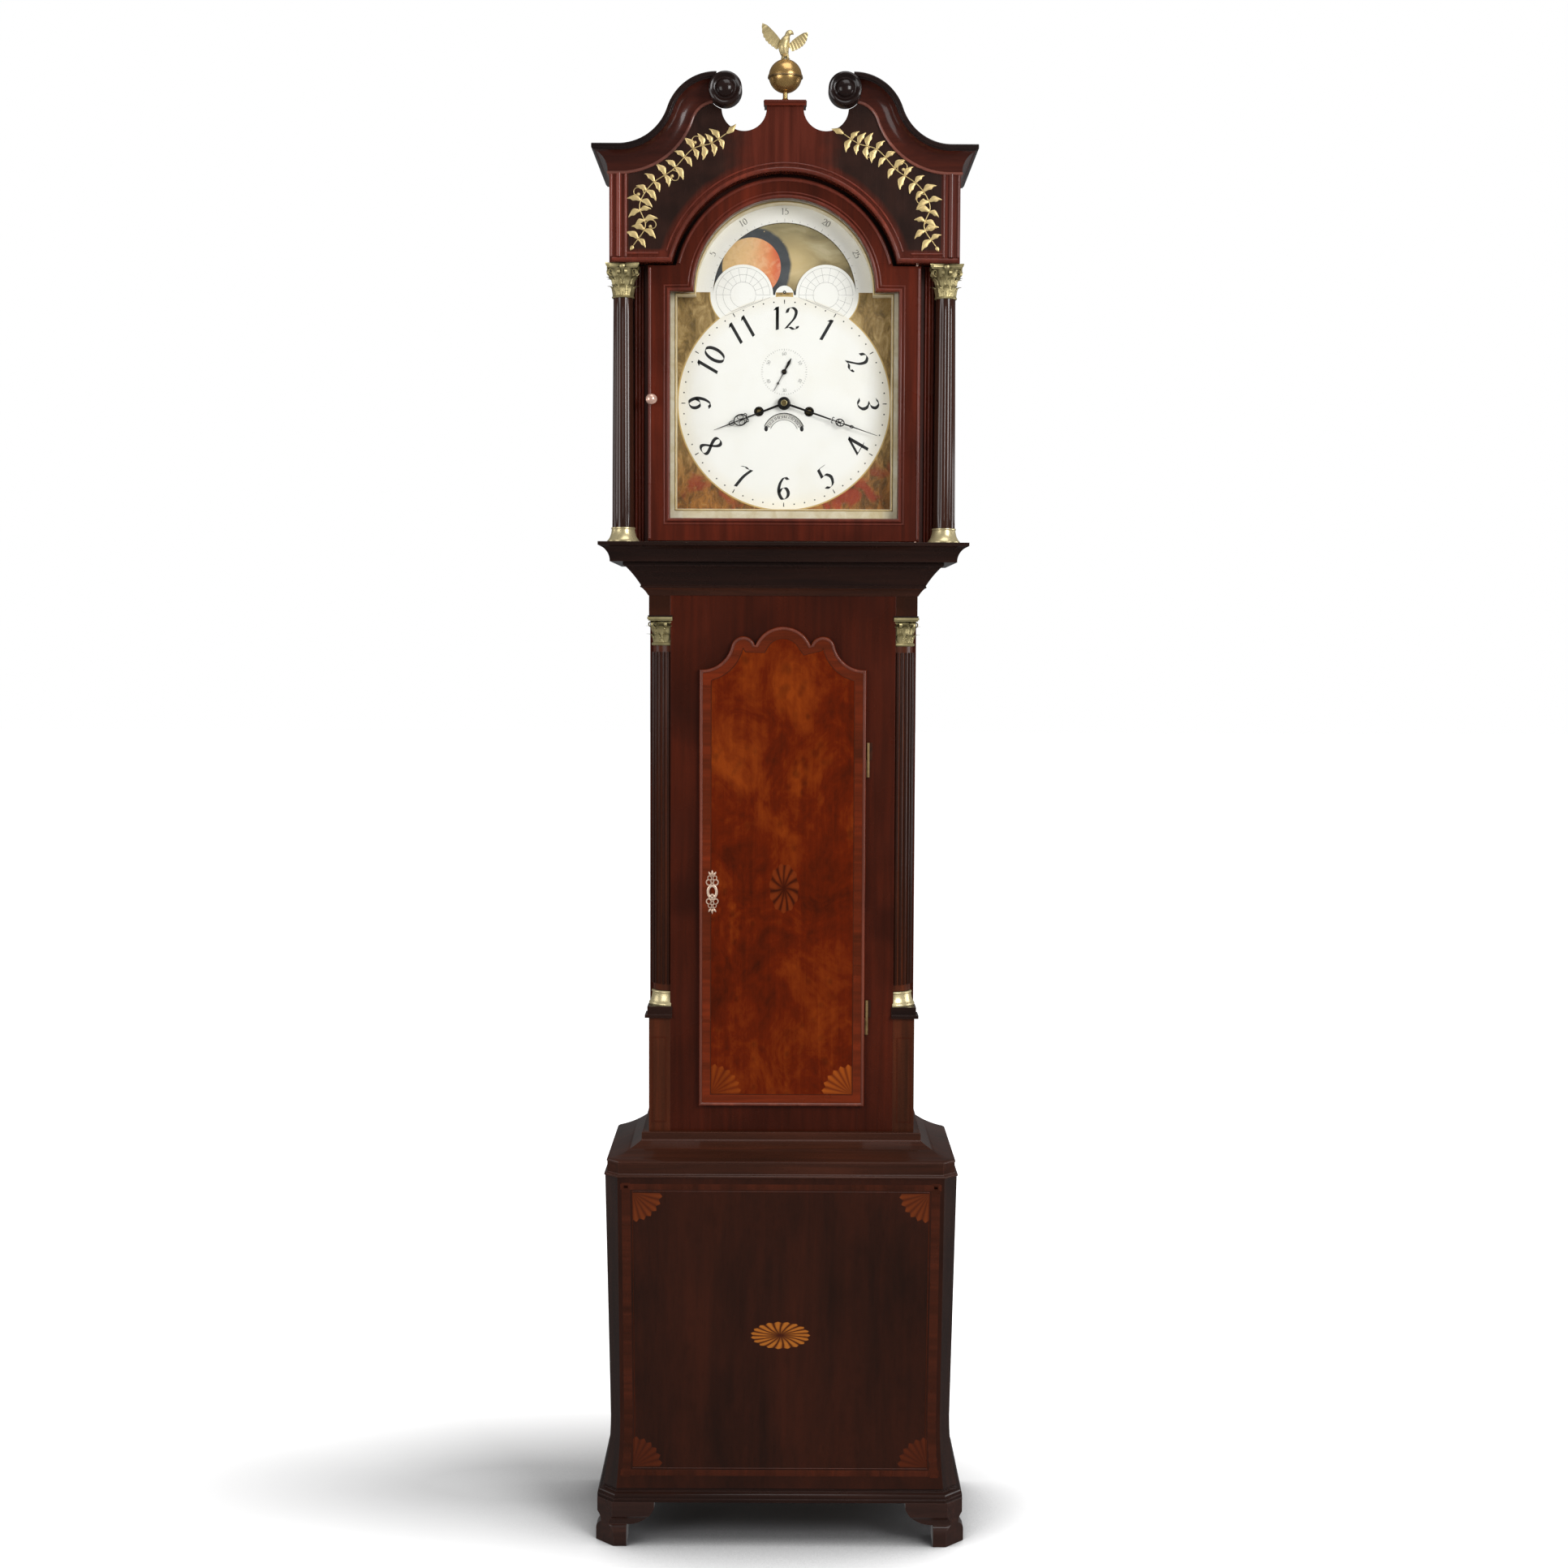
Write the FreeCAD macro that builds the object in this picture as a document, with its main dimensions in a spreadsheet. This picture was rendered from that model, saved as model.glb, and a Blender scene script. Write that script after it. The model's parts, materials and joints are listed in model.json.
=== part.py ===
import FreeCAD, Part
import math
import os
import types
import Sketcher

# Longcase clock with a moon dial. Millimetres, +Z up, the front faces -Y, origin under the middle.

sizes = {
    # heights that stack from the floor to the cornice
    "foot_height": 67, "skirt_height": 19, "base_height": 476, "waist_height": 58,
    "trunk_height": 821, "throat_height": 44, "sill_height": 29, "column_height": 409,
    "frieze_height": 127, "cornice_height": 40,
    # plan of the case, overhangs measured out from the trunk's faces
    "trunk_width": 405, "trunk_depth": 193, "base_overhang": 63.5, "base_cant": 20,
    "base_waisting": 8, "base_flare": 12, "base_flare_height": 104, "skirt_overhang": 75.5,
    "foot_overhang": 77.5, "throat_overhang": 37, "sill_foot_overhang": 55,
    "sill_lip_overhang": 71.5, "frieze_overhang": 55, "cornice_overhang": 79.5,
    # boards and general fits
    "back_thickness": 12, "base_wall": 16, "side_thickness": 12, "frame_thickness": 18,
    "floor_thickness": 12, "slide_gap": 0.3, "fit_gap": 0.5, "running_gap": 0.06, "cut_overrun": 6,
    # feet
    "foot_pad_width": 48, "foot_bracket_width": 90, "foot_pad_height": 14, "foot_neck_height": 31,
    "foot_neck_depth": 6, "foot_bracket_height": 58, "rear_foot_depth": 60,
    # mouldings
    "skirt_round": 9, "bead_course_height": 24, "bead_course_width": 24, "bead_size": 5,
    "waist_cove_width": 46, "waist_top_width": 6, "waist_top_height": 8, "throat_lip_height": 5,
    "sill_lip_height": 5, "cornice_lip_height": 6, "trunk_tail": 40,
    # trunk corners and door
    "corner_size": 32.5, "quarter_column_radius": 28, "column_foot_height": 177,
    "quarter_base_height": 38, "quarter_capital_height": 43, "corner_top_height": 37,
    "door_width": 252, "door_foot_rise": 40, "door_head_margin": 116, "door_crest_height": 65,
    "door_notch_height": 36, "crest_half_width": 42, "crest_radius": 45, "lobe_width": 36,
    "lobe_radius": 18.6, "shoulder_radius": 46, "door_lip": 10, "door_lip_thickness": 8,
    "door_tongue": 12,
    # trunk door brasswork
    "hinge_height": 52, "hinge_barrel_radius": 2.8, "hinge_leaf_width": 6.5,
    "hinge_leaf_thickness": 1.5, "hinge_pin_radius": 1.2, "hinge_bite": 1, "hinge_inset": 136,
    "plate_height": 62, "plate_width": 22, "plate_thickness": 1.5, "plate_edge_inset": 20,
    "plate_rise": 328, "keyhole_radius": 3, "keyhole_length": 11, "lock_width": 60,
    "lock_height": 80, "lock_thickness": 11, "lock_inset": 4,
    # hood
    "hood_side_overhang": 43.5, "hood_inside_gap": 3.5, "frieze_thickness": 22,
    "mask_reach": 11, "mask_head_cover": 8, "mask_gap": 0.3, "closer_thickness": 6.4,
    "roof_thickness": 10, "back_top_gap": 14,
    "mask_half_width": 160, "mask_arch_radius": 132, "mask_foot_rise": 51, "mask_shoulder_drop": 4,
    "column_spread": 239, "column_radius": 16.5, "column_top_radius": 14.5, "column_set_back": 27,
    "column_base_height": 19, "capital_height": 48, "capital_width": 52, "column_base_width": 46,
    "abacus_height": 7, "column_plinth_height": 8,
    "neck_run": 143, "neck_rise": 103, "neck_start": 243, "roundel_radius": 24,
    "roundel_spread": 87, "roundel_drop": 25, "roundel_front": 5, "saddle_radius": 33,
    "saddle_spread": 60, "saddle_level": 56, "finial_neck_half_width": 27, "finial_neck_rise": 59,
    "scroll_inner": 93, "scroll_top_rise": 95, "cap_width": 61, "cap_height": 8, "cap_lip": 5,
    "finial_stem_height": 13, "finial_stem_radius": 3.5, "ball_radius": 24.3, "ball_ridge": 1,
    "eagle_height": 52, "wing_reach": 26, "eagle_body_radius": 8,
    # hood door
    "hood_door_width": 403, "hood_door_set_back": 14, "hood_door_thickness": 22,
    "hood_door_foot_gap": 2.5, "hood_door_head_gap": 2.5, "hood_door_arch_radius": 164,
    "frieze_arch_radius": 170, "glass_half_width": 169, "glass_arch_radius": 134,
    "glass_foot_rise": 36, "glass_shoulder_drop": 2, "glass_rebate": 5, "glass_thickness": 3,
    "glass_rebate_depth": 9, "pivot_radius": 2, "pivot_inset": 5.5, "pivot_length": 9,
    "pivot_depth": 3, "edge_relief": 1.4, "edge_relief_width": 7, "knob_radius": 7, "knob_length": 13,
    "knob_inset": 7, "knob_rise": 210, # dial
    "dial_width": 330, "dial_rise": 210, "dial_arch_rise": 161, "dial_arch_radius": 140,
    "dial_set_back": 5, "dial_thickness": 2, "winding_spread": 37.7, "winding_drop": 12,
    "winding_hole_radius": 5.5, "seconds_rise": 47, "date_drop": 46, "date_slot_radius": 31,
    "date_slot_width": 9, "date_slot_drop": 10, "moon_window_radius": 107, "hump_radius": 45,
    "hump_spread": 62, "moon_lug_radius": 14, "moon_disc_radius": 109, "date_disc_radius": 37.5,
    "disc_thickness": 1.5, "disc_gap": 1, "disc_stud_radius": 4, "disc_stud_head": 7,
    "disc_tooth_height": 1.5, "dial_foot_length": 30, "dial_foot_radius": 4, "dial_foot_spread": 62,
    "dial_foot_rise": 40, "dial_foot_drop": 50, "centre_hole_radius": 6.6, "seconds_hole_radius": 2.5,
    # hands
    "hand_thickness": 1.2, "seconds_hand_gap": 1.5, "hour_hand_gap": 4, "minute_hand_gap": 8,
    "hour_hand_length": 112, "minute_hand_length": 148, "seconds_hand_length": 28,
    "seconds_tail_length": 12, "hand_boss_radius": 9, "seconds_boss_radius": 3.5,
    "hour_hand_width": 16, "minute_hand_width": 13, "seconds_hand_width": 3,
    # movement plates and seat
    "plate_half_width": 76, "plate_tall": 170, "plate_sheet": 3, "plate_space": 62, "seat_drop": 60,
    "seat_thickness": 18, "seat_front_reach": 15, "seat_back_reach": 12, "pillar_radius": 5,
    "pillar_inset": 7, "line_hole_radius": 6,
    # trains: modules and wheel planes, planes measured back from the front plate's inside
    "centre_module": 1, "third_module": 0.9, "motion_module": 0.9, "arbor_radius": 1.8,
    "pivot_end_radius": 1, "wheel_thickness": 2, "pinion_length": 6, "great_wheel_plane": 3,
    "great_wheel_thickness": 3, "drum_plane": 8, "drum_length": 38, "drum_radius": 22,
    "drum_flange": 2, "drum_flange_height": 2, "drum_arbor_radius": 4, "winding_square": 5.4,
    "centre_wheel_plane": 49, "third_wheel_plane": 55, "escape_wheel_plane": 40,
    "escape_radius": 16, "escape_tooth": 3.2, "strike_wheel_radius": 32,
    "cannon_plane": 6, "hour_wheel_plane": 17, "cannon_pipe_radius": 3.8, "hour_pipe_radius": 6,
    "minute_stud_radius": 1.6,
    # pallets, pendulum
    "pallet_rise": 71, "pallet_arm_width": 4, "pallet_clearance": 2.2, "crutch_length": 96,
    "crutch_width": 5, "crutch_gap": 4, "crutch_pin_radius": 1, "crutch_side_gap": 0.25,
    "pendulum_set_back": 28, "suspension_length": 24, "suspension_width": 10,
    "suspension_thickness": 0.5, "rod_radius": 3, "pendulum_length": 994, "bob_radius": 60,
    "bob_thickness": 30, "rod_tail": 26, "rating_nut_radius": 9, "rating_nut_height": 6,
    "cock_width": 16, "cock_height": 8, "cock_reach": 32, "cock_foot_width": 40,
    "cock_foot_height": 18, "cock_gap": 0.45,
    # bell
    "bell_radius": 36, "bell_height": 34, "bell_wall": 3, "bell_rise": 162, "bell_strap_width": 12,
    "bell_strap_thickness": 3, "bell_strap_foot": 14, "bell_screw_radius": 3, "hammer_spread": 45,
    "hammer_rise": 66, "hammer_arm": 66, "hammer_arm_width": 4, "hammer_head_radius": 5,
    "hammer_head_length": 11, "bell_stand_gap": 2,
    # weights and lines
    "weight_radius": 31, "weight_height": 200, "weight_top_drop": 560, "pulley_radius": 20,
    "pulley_width": 8, "line_radius": 0.6, "line_gap": 0.3, "line_post_radius": 3, "hanger_width": 6,
    "hanger_gap": 12,
}

doc = FreeCAD.newDocument("longcase_clock")
sheet = doc.addObject("Spreadsheet::Sheet", "Sizes")
for row, (alias, length) in enumerate(sizes.items(), start=1):
    sheet.set("A%d" % row, alias)
    sheet.set("B%d" % row, str(length))
    sheet.setAlias("B%d" % row, alias)
doc.recompute()


class Measure:
    """A length with its number and the sheet formula that gives it."""

    def __init__(self, number, formula):
        self.number = number
        self.formula = formula

    def __add__(self, other):
        return joined(self, "+", other)

    def __radd__(self, other):
        return joined(other, "+", self)

    def __sub__(self, other):
        return joined(self, "-", other)

    def __rsub__(self, other):
        return joined(other, "-", self)

    def __mul__(self, other):
        return joined(self, "*", other)

    def __rmul__(self, other):
        return joined(other, "*", self)

    def __truediv__(self, other):
        return joined(self, "/", other)

    def __neg__(self):
        return joined(0, "-", self)


def number_of(value):
    return value.number if isinstance(value, Measure) else float(value)


def formula_of(value):
    return value.formula if isinstance(value, Measure) else repr(float(value))


def joined(left, sign, right):
    """Two lengths, or a length and a plain number, under one arithmetic sign."""
    a = number_of(left)
    b = number_of(right)
    results = {"+": a + b, "-": a - b, "*": a * b, "/": a / b if b else 0.0}
    return Measure(results[sign], "(%s %s %s)" % (formula_of(left), sign, formula_of(right)))


def root_of(value):
    return Measure(math.sqrt(number_of(value)), "sqrt(%s)" % formula_of(value))


dim = types.SimpleNamespace(**{name: Measure(float(sheet.get(name)), "Sizes." + name) for name in sizes})
nodes = {}


def bind(thing, name, value):
    """Tie a property to the sheet, or set it where it is a plain zero or angle."""
    if isinstance(value, Measure):
        thing.setExpression(name, value.formula)
    else:
        setattr(thing, name, value)


def place(thing, x, y, z, rotation=None):
    thing.Placement = FreeCAD.Placement(FreeCAD.Vector(), rotation or FreeCAD.Rotation())
    for axis, value in (("x", x), ("y", y), ("z", z)):
        if isinstance(value, Measure):
            thing.setExpression("Placement.Base." + axis, value.formula)
    return thing


def turn(axis, angle):
    return FreeCAD.Rotation(FreeCAD.Vector(*axis), angle)


along_y = turn((1, 0, 0), -90)
along_x = turn((0, 1, 0), 90)


def node(name, thing):
    """Name a finished sub-part."""
    thing.Label = name
    nodes[name] = thing
    return thing


def board(name, low, high):
    """A box between two corners."""
    box = doc.addObject("Part::Box", name)
    for prop, start, end in zip(("Length", "Width", "Height"), low, high):
        bind(box, prop, end - start)
    return place(box, *low)


def rod(name, radius, start, length, axis="y", angle=360):
    """A cylinder from a start point along one axis."""
    cylinder = doc.addObject("Part::Cylinder", name)
    bind(cylinder, "Radius", radius)
    bind(cylinder, "Height", length)
    cylinder.Angle = angle
    turns = {"x": along_x, "y": along_y, "z": None}
    return place(cylinder, *start, turns[axis])


def quarter(name, low_radius, high_radius, x, y, z, height):
    """A quarter cone that fills the corner towards the right and the front."""
    cone = doc.addObject("Part::Cone", name)
    bind(cone, "Radius1", low_radius)
    bind(cone, "Radius2", high_radius)
    bind(cone, "Height", height)
    cone.Angle = 90
    return place(cone, x, y, z, turn((0, 0, 1), -90))


def fuse(name, *pieces):
    result = doc.addObject("Part::MultiFuse", name)
    result.Shapes = list(pieces)
    return result


def common(name, *pieces):
    result = doc.addObject("Part::MultiCommon", name)
    result.Shapes = list(pieces)
    return result


def cut(name, base, *tools):
    result = doc.addObject("Part::Cut", name)
    result.Base = base
    result.Tool = tools[0] if len(tools) == 1 else fuse(name + "_tools", *tools)
    return result


def group(name, *pieces):
    result = doc.addObject("Part::Compound", name)
    result.Links = list(pieces)
    return result


def mirrored(piece):
    """The same piece on the left of the clock's middle plane."""
    result = doc.addObject("Part::Mirroring", piece.Name + "_left")
    result.Source = piece
    result.Normal = (1, 0, 0)
    return result


def pair(name, piece):
    return node(name, group(name, piece, mirrored(piece)))


def new_body(name):
    return doc.addObject("PartDesign::Body", name)


def new_sketch(body, name, role):
    sketch = body.newObject("Sketcher::SketchObject", name)
    plane = next(item for item in body.Origin.OriginFeatures if item.Role == role)
    sketch.AttachmentSupport = (plane, [""])
    sketch.MapMode = "FlatFace"
    return sketch


def pin_value(sketch, kind, *targets):
    """One sketch constraint, tied to the sheet."""
    value = targets[-1]
    index = sketch.addConstraint(Sketcher.Constraint(kind, *targets[:-1], number_of(value)))
    if isinstance(value, Measure):
        sketch.setExpression("Constraints[%d]" % index, value.formula)


def arc_between(start, end, radius):
    """The shorter arc from start to end; a positive radius puts its centre on the left."""
    middle = (start + end) / 2
    run = end - start
    side = FreeCAD.Vector(-run.y, run.x, 0).normalize()
    reach = math.sqrt(max(radius * radius - run.Length * run.Length / 4, 0))
    centre = middle + side * math.copysign(reach, radius)
    first, last = (start, end) if radius > 0 else (end, start)
    angles = [math.atan2(point.y - centre.y, point.x - centre.x) for point in (first, last)]
    circle = Part.Circle(centre, FreeCAD.Vector(0, 0, 1), abs(radius))
    return Part.ArcOfCircle(circle, *angles)


def draw(sketch, corners, closed=True):
    """Lines and arcs through corners (u, v) or (u, v, radius), the radius rounding the next edge."""
    points = [FreeCAD.Vector(number_of(corner[0]), number_of(corner[1]), 0) for corner in corners]
    count = len(corners) if closed else len(corners) - 1
    starts = []
    for index in range(count):
        start = points[index]
        end = points[(index + 1) % len(points)]
        radius = number_of(corners[index][2]) if len(corners[index]) > 2 else 0
        edge = arc_between(start, end, radius) if radius else Part.LineSegment(start, end)
        sketch.addGeometry(edge, False)
        starts.append(2 if radius < 0 else 1)
    for index in range(count if closed else count - 1):
        after = (index + 1) % count
        sketch.addConstraint(Sketcher.Constraint("Coincident", index, 3 - starts[index], after,
                                                 starts[after]))
    for index, corner in enumerate(corners):
        edge = min(index, count - 1)
        end = starts[edge] if index == edge else 3 - starts[edge]
        pin_value(sketch, "DistanceX", -1, 1, edge, end, corner[0])
        pin_value(sketch, "DistanceY", -1, 1, edge, end, corner[1])
        if index < count and len(corner) > 2:
            size = corner[2] if number_of(corner[2]) > 0 else -corner[2]
            pin_value(sketch, "Radius", index, size)
    return sketch


def padded(body, corners, role, length, symmetric=False, backwards=False):
    sketch = draw(new_sketch(body, body.Name + "_outline", role), corners)
    pad = body.newObject("PartDesign::Pad", body.Name + "_pad")
    pad.Profile = sketch
    bind(pad, "Length", length)
    if symmetric:
        pad.SideType = "Symmetric"
    pad.Reversed = backwards
    return pad


def pierced(body, corners, role="XZ_Plane"):
    """Cut an outline right through a body, both ways from its sketch plane."""
    sketch = draw(new_sketch(body, body.Name + "_opening", role), corners)
    hole = body.newObject("PartDesign::Pocket", body.Name + "_hole")
    hole.Profile = sketch
    hole.SideType = "Symmetric"
    hole.Type = "ThroughAll"
    return hole


def panel(name, corners, thickness, back, opening=None):
    """A flat board drawn in front view, standing forward from its back plane."""
    body = new_body(name)
    padded(body, corners, "XZ_Plane", thickness)
    if opening:
        pierced(body, opening)
    return place(body, 0, back, 0)


def plan_block(name, corners, height, floor=0):
    """An upright block drawn in plan."""
    body = new_body(name)
    padded(body, corners, "XY_Plane", height)
    return place(body, 0, 0, floor)


def turned(name, profile, x, y, z, rotation=None):
    """A lathe-turned piece; the profile is (radius, height) from its own axis."""
    body = new_body(name)
    sketch = draw(new_sketch(body, name + "_profile", "XZ_Plane"), profile)
    spin = body.newObject("PartDesign::Revolution", name + "_turning")
    spin.Profile = sketch
    spin.ReferenceAxis = (sketch, ["V_Axis"])
    spin.Angle = 360
    return place(body, x, y, z, rotation)


# levels and planes shared by the whole clock
trunk_half = dim.trunk_width / 2
base_bottom = dim.foot_height + dim.skirt_height
base_top = base_bottom + dim.base_height
trunk_bottom = base_top + dim.waist_height
trunk_top = trunk_bottom + dim.trunk_height
throat_top = trunk_top + dim.throat_height
sill_bottom = throat_top + dim.slide_gap
sill_top = throat_top + dim.sill_height
frieze_bottom = sill_top + dim.column_height
cornice_bottom = frieze_bottom + dim.frieze_height
cornice_top = cornice_bottom + dim.cornice_height
case_back = (dim.trunk_depth + dim.cornice_overhang + dim.roundel_front) / 2
trunk_front = case_back - dim.trunk_depth
back_face = case_back - dim.back_thickness
dial_z = sill_top + dim.dial_rise
arch_z = dial_z + dim.dial_arch_rise
dial_front = trunk_front + dim.dial_set_back
dial_back = dial_front + dim.dial_thickness
front_plate_front = dial_back + dim.dial_foot_length
movement_front = front_plate_front + dim.plate_sheet
movement_back = movement_front + dim.plate_space
back_plate_back = movement_back + dim.plate_sheet
seat_top = dial_z - dim.seat_drop
seat_bottom = seat_top - dim.seat_thickness
frieze_front = trunk_front - dim.frieze_overhang
frieze_back = frieze_front + dim.frieze_thickness
hood_door_front = frieze_front + dim.hood_door_set_back
mask_front = hood_door_front + dim.hood_door_thickness
mask_back = dial_front - dim.mask_gap
half_diagonal_share = math.sqrt(0.5)
mitre_share = math.tan(math.radians(22.5))
cant_growth_share = 2 - math.sqrt(2)


def mitre_blocks():
    """Upright blocks that cut the moulding runs to their mitres at square and at canted corners."""
    reach = dim.cornice_overhang + dim.cut_overrun
    corner = (trunk_half, trunk_front)
    outer = (trunk_half + reach, trunk_front - reach)
    front = [(-corner[0], corner[1]), (-outer[0], outer[1]), outer, corner]
    side = [corner, outer, (outer[0], case_back), (corner[0], case_back)]
    half = trunk_half + dim.base_overhang
    face = trunk_front - dim.base_overhang
    inward = dim.base_waisting + dim.base_wall + dim.running_gap
    outward = dim.foot_overhang - dim.base_overhang + dim.cut_overrun
    front_out = (half - dim.base_cant + outward * mitre_share, face - outward)
    front_in = (half - dim.base_cant - inward * mitre_share, face + inward)
    side_out = (half + outward, face + dim.base_cant - outward * mitre_share)
    side_in = (half - inward, face + dim.base_cant + inward * mitre_share)
    canted_front = [(-front_in[0], front_in[1]), (-front_out[0], front_out[1]), front_out, front_in]
    canted_side = [side_in, side_out, (side_out[0], case_back), (side_in[0], case_back)]
    canted_corner = [front_out, side_out, side_in, front_in]
    plans = {"front": front, "side": side, "canted_front": canted_front, "canted_side": canted_side,
             "canted_corner": canted_corner}
    height = cornice_top + dim.neck_rise + dim.cut_overrun
    return {name: plan_block(name + "_mitre", plan, height) for name, plan in plans.items()}


mitres = mitre_blocks()


def front_run(name, profile, mitre):
    """A run along the front; the profile is (overhang, height) or has an arc radius too."""
    corners = [(trunk_front - item[0], item[1]) + tuple(-bend for bend in item[2:]) for item in profile]
    body = new_body(name + "_front")
    padded(body, corners, "YZ_Plane", dim.trunk_width + dim.cornice_overhang * 2, symmetric=True)
    return common(name + "_front_cut", body, mitres[mitre])


def side_run(name, profile, mitre):
    """The matching run along the right side, ending square at the back."""
    corners = [(trunk_half + item[0],) + tuple(item[1:]) for item in profile]
    body = new_body(name + "_side")
    padded(body, corners, "XZ_Plane", dim.trunk_depth + dim.cornice_overhang)
    place(body, 0, case_back, 0)
    return common(name + "_side_cut", body, mitres[mitre])


def cant_run(name, profile):
    """The short run across the right front cant."""
    corners = [(dim.base_overhang - item[0], item[1]) + tuple(-bend for bend in item[2:]) for item in profile]
    body = new_body(name + "_cant")
    padded(body, corners, "YZ_Plane", dim.base_cant + dim.cornice_overhang, symmetric=True)
    middle = dim.base_cant / 2
    place(body, trunk_half + dim.base_overhang - middle, trunk_front - dim.base_overhang + middle, 0,
          turn((0, 0, 1), 45))
    return common(name + "_cant_cut", body, mitres["canted_corner"])


def square_course(name, profile):
    side = side_run(name, profile, "side")
    return node(name, group(name, front_run(name, profile, "front"), side, mirrored(side)))


def canted_course(name, profile):
    side = side_run(name, profile, "canted_side")
    cant = cant_run(name, profile)
    front = front_run(name, profile, "canted_front")
    return front, cant, side


def build_base():
    """Canted base with a slight waist and a flared foot, its skirt, floor and feet."""
    waist = dim.base_overhang - dim.base_waisting
    inner = waist - dim.base_wall
    flare_radius = (dim.base_flare_height * dim.base_flare_height + dim.base_flare * dim.base_flare) \
        / (dim.base_flare * 2)
    wall = [(dim.base_overhang, base_top), (waist, base_bottom + dim.base_flare_height, flare_radius),
            (waist + dim.base_flare, base_bottom), (inner, base_bottom), (inner, base_top)]
    front, cant, side = canted_course("base_wall", wall)
    node("base_front_panel", front)
    pair("base_canted_corners", cant)
    pair("base_side_panels", side)
    skirt = [(dim.skirt_overhang, dim.foot_height),
             (dim.skirt_overhang, base_bottom - dim.skirt_round, dim.skirt_round),
             (dim.skirt_overhang - dim.skirt_round, base_bottom), (inner, base_bottom),
             (inner, dim.foot_height)]
    front, cant, side = canted_course("skirt", skirt)
    node("base_skirt_moulding", group("base_skirt_moulding", front, cant, mirrored(cant), side,
                                      mirrored(side)))
    inside = trunk_half + inner
    floor_front = trunk_front - inner
    right_half = [(inside - dim.base_cant, floor_front), (inside, floor_front + dim.base_cant),
                  (inside, back_face)]
    plan = right_half + [(-x, y) for x, y in reversed(right_half)]
    node("base_floor_board", plan_block("base_floor_board", plan, dim.floor_thickness, base_bottom))
    build_feet()


def foot_outline(edge, sense):
    """Bracket foot in elevation; edge is the trunk face it measures from, sense its outward sign."""
    outer = dim.foot_overhang
    neck = dim.skirt_overhang - dim.foot_neck_depth
    top = dim.foot_neck_height + dim.foot_pad_height
    bracket = dim.foot_bracket_height
    inner = outer - dim.foot_pad_width
    far = outer - dim.foot_bracket_width
    ogee = dim.foot_neck_height - dim.foot_pad_height
    sweep = inner - far
    curve = [(dim.skirt_overhang, dim.foot_height), (dim.skirt_overhang, top, ogee),
             (neck, dim.foot_neck_height, -ogee), (outer, dim.foot_pad_height), (outer, 0), (inner, 0),
             (inner, dim.foot_neck_height, -sweep), (far, bracket), (far, dim.foot_height)]
    return [(edge + item[0] * sense, item[1]) + tuple(bend * sense for bend in item[2:]) for item in curve]


def build_feet():
    side_view = new_body("foot_front_view")
    padded(side_view, foot_outline(trunk_half, 1), "XZ_Plane", dim.trunk_depth + dim.foot_overhang * 2)
    place(side_view, 0, case_back, 0)
    front_view = new_body("foot_side_view")
    padded(front_view, foot_outline(trunk_front, -1), "YZ_Plane", dim.trunk_width)
    half = trunk_half + dim.foot_overhang
    face = trunk_front - dim.foot_overhang
    leg = dim.base_cant + (dim.foot_overhang - dim.base_overhang) * cant_growth_share
    plan = [(0, face), (half - leg, face), (half, face + leg), (half, case_back), (0, case_back)]
    footprint = plan_block("foot_plan", plan, dim.foot_height)
    front_foot = common("front_foot", side_view, front_view, footprint)
    rear_block = board("rear_foot_block", (0, case_back - dim.rear_foot_depth, 0),
                       (half, case_back, dim.foot_height))
    rear_foot = common("rear_foot", side_view, rear_block)
    node("bracket_feet", group("bracket_feet", front_foot, mirrored(front_foot), rear_foot,
                               mirrored(rear_foot)))


def build_mouldings():
    """Waist moulding in two courses, throat moulding under the hood."""
    bead_top = base_top + dim.bead_course_height
    outer = dim.base_overhang + dim.bead_size / 4
    inner = dim.base_overhang - dim.bead_course_width
    step = dim.bead_size
    beads = [(outer, base_top), (outer, base_top + step * 2, step), (outer - step, base_top + step * 3),
             (outer - step, base_top + step * 4, -step * 2), (dim.waist_cove_width, bead_top),
             (inner, bead_top), (inner, base_top)]
    front, cant, side = canted_course("waist_beads", beads)
    low = trunk_bottom - dim.waist_top_height
    cove = [(0, bead_top), (dim.waist_cove_width, bead_top, dim.waist_cove_width),
            (dim.waist_top_width, low), (dim.waist_top_width, trunk_bottom), (0, trunk_bottom)]
    top_front = front_run("waist_cove", cove, "front")
    top_side = side_run("waist_cove", cove, "side")
    node("waist_moulding", group("waist_moulding", front, cant, mirrored(cant), side, mirrored(side),
                                 top_front, top_side, mirrored(top_side)))
    lip = throat_top - dim.throat_lip_height
    throat = [(0, trunk_top, -dim.throat_height), (dim.throat_overhang, lip),
              (dim.throat_overhang, throat_top), (0, throat_top)]
    square_course("throat_moulding", throat)


door_half = dim.door_width / 2
door_bottom = trunk_bottom + dim.door_foot_rise
door_shoulder = trunk_top - dim.door_head_margin
opening_half = door_half - dim.door_lip
opening_bottom = door_bottom + dim.door_lip
opening_top = door_shoulder - dim.door_lip
frame_foot = base_top - dim.trunk_tail


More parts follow.
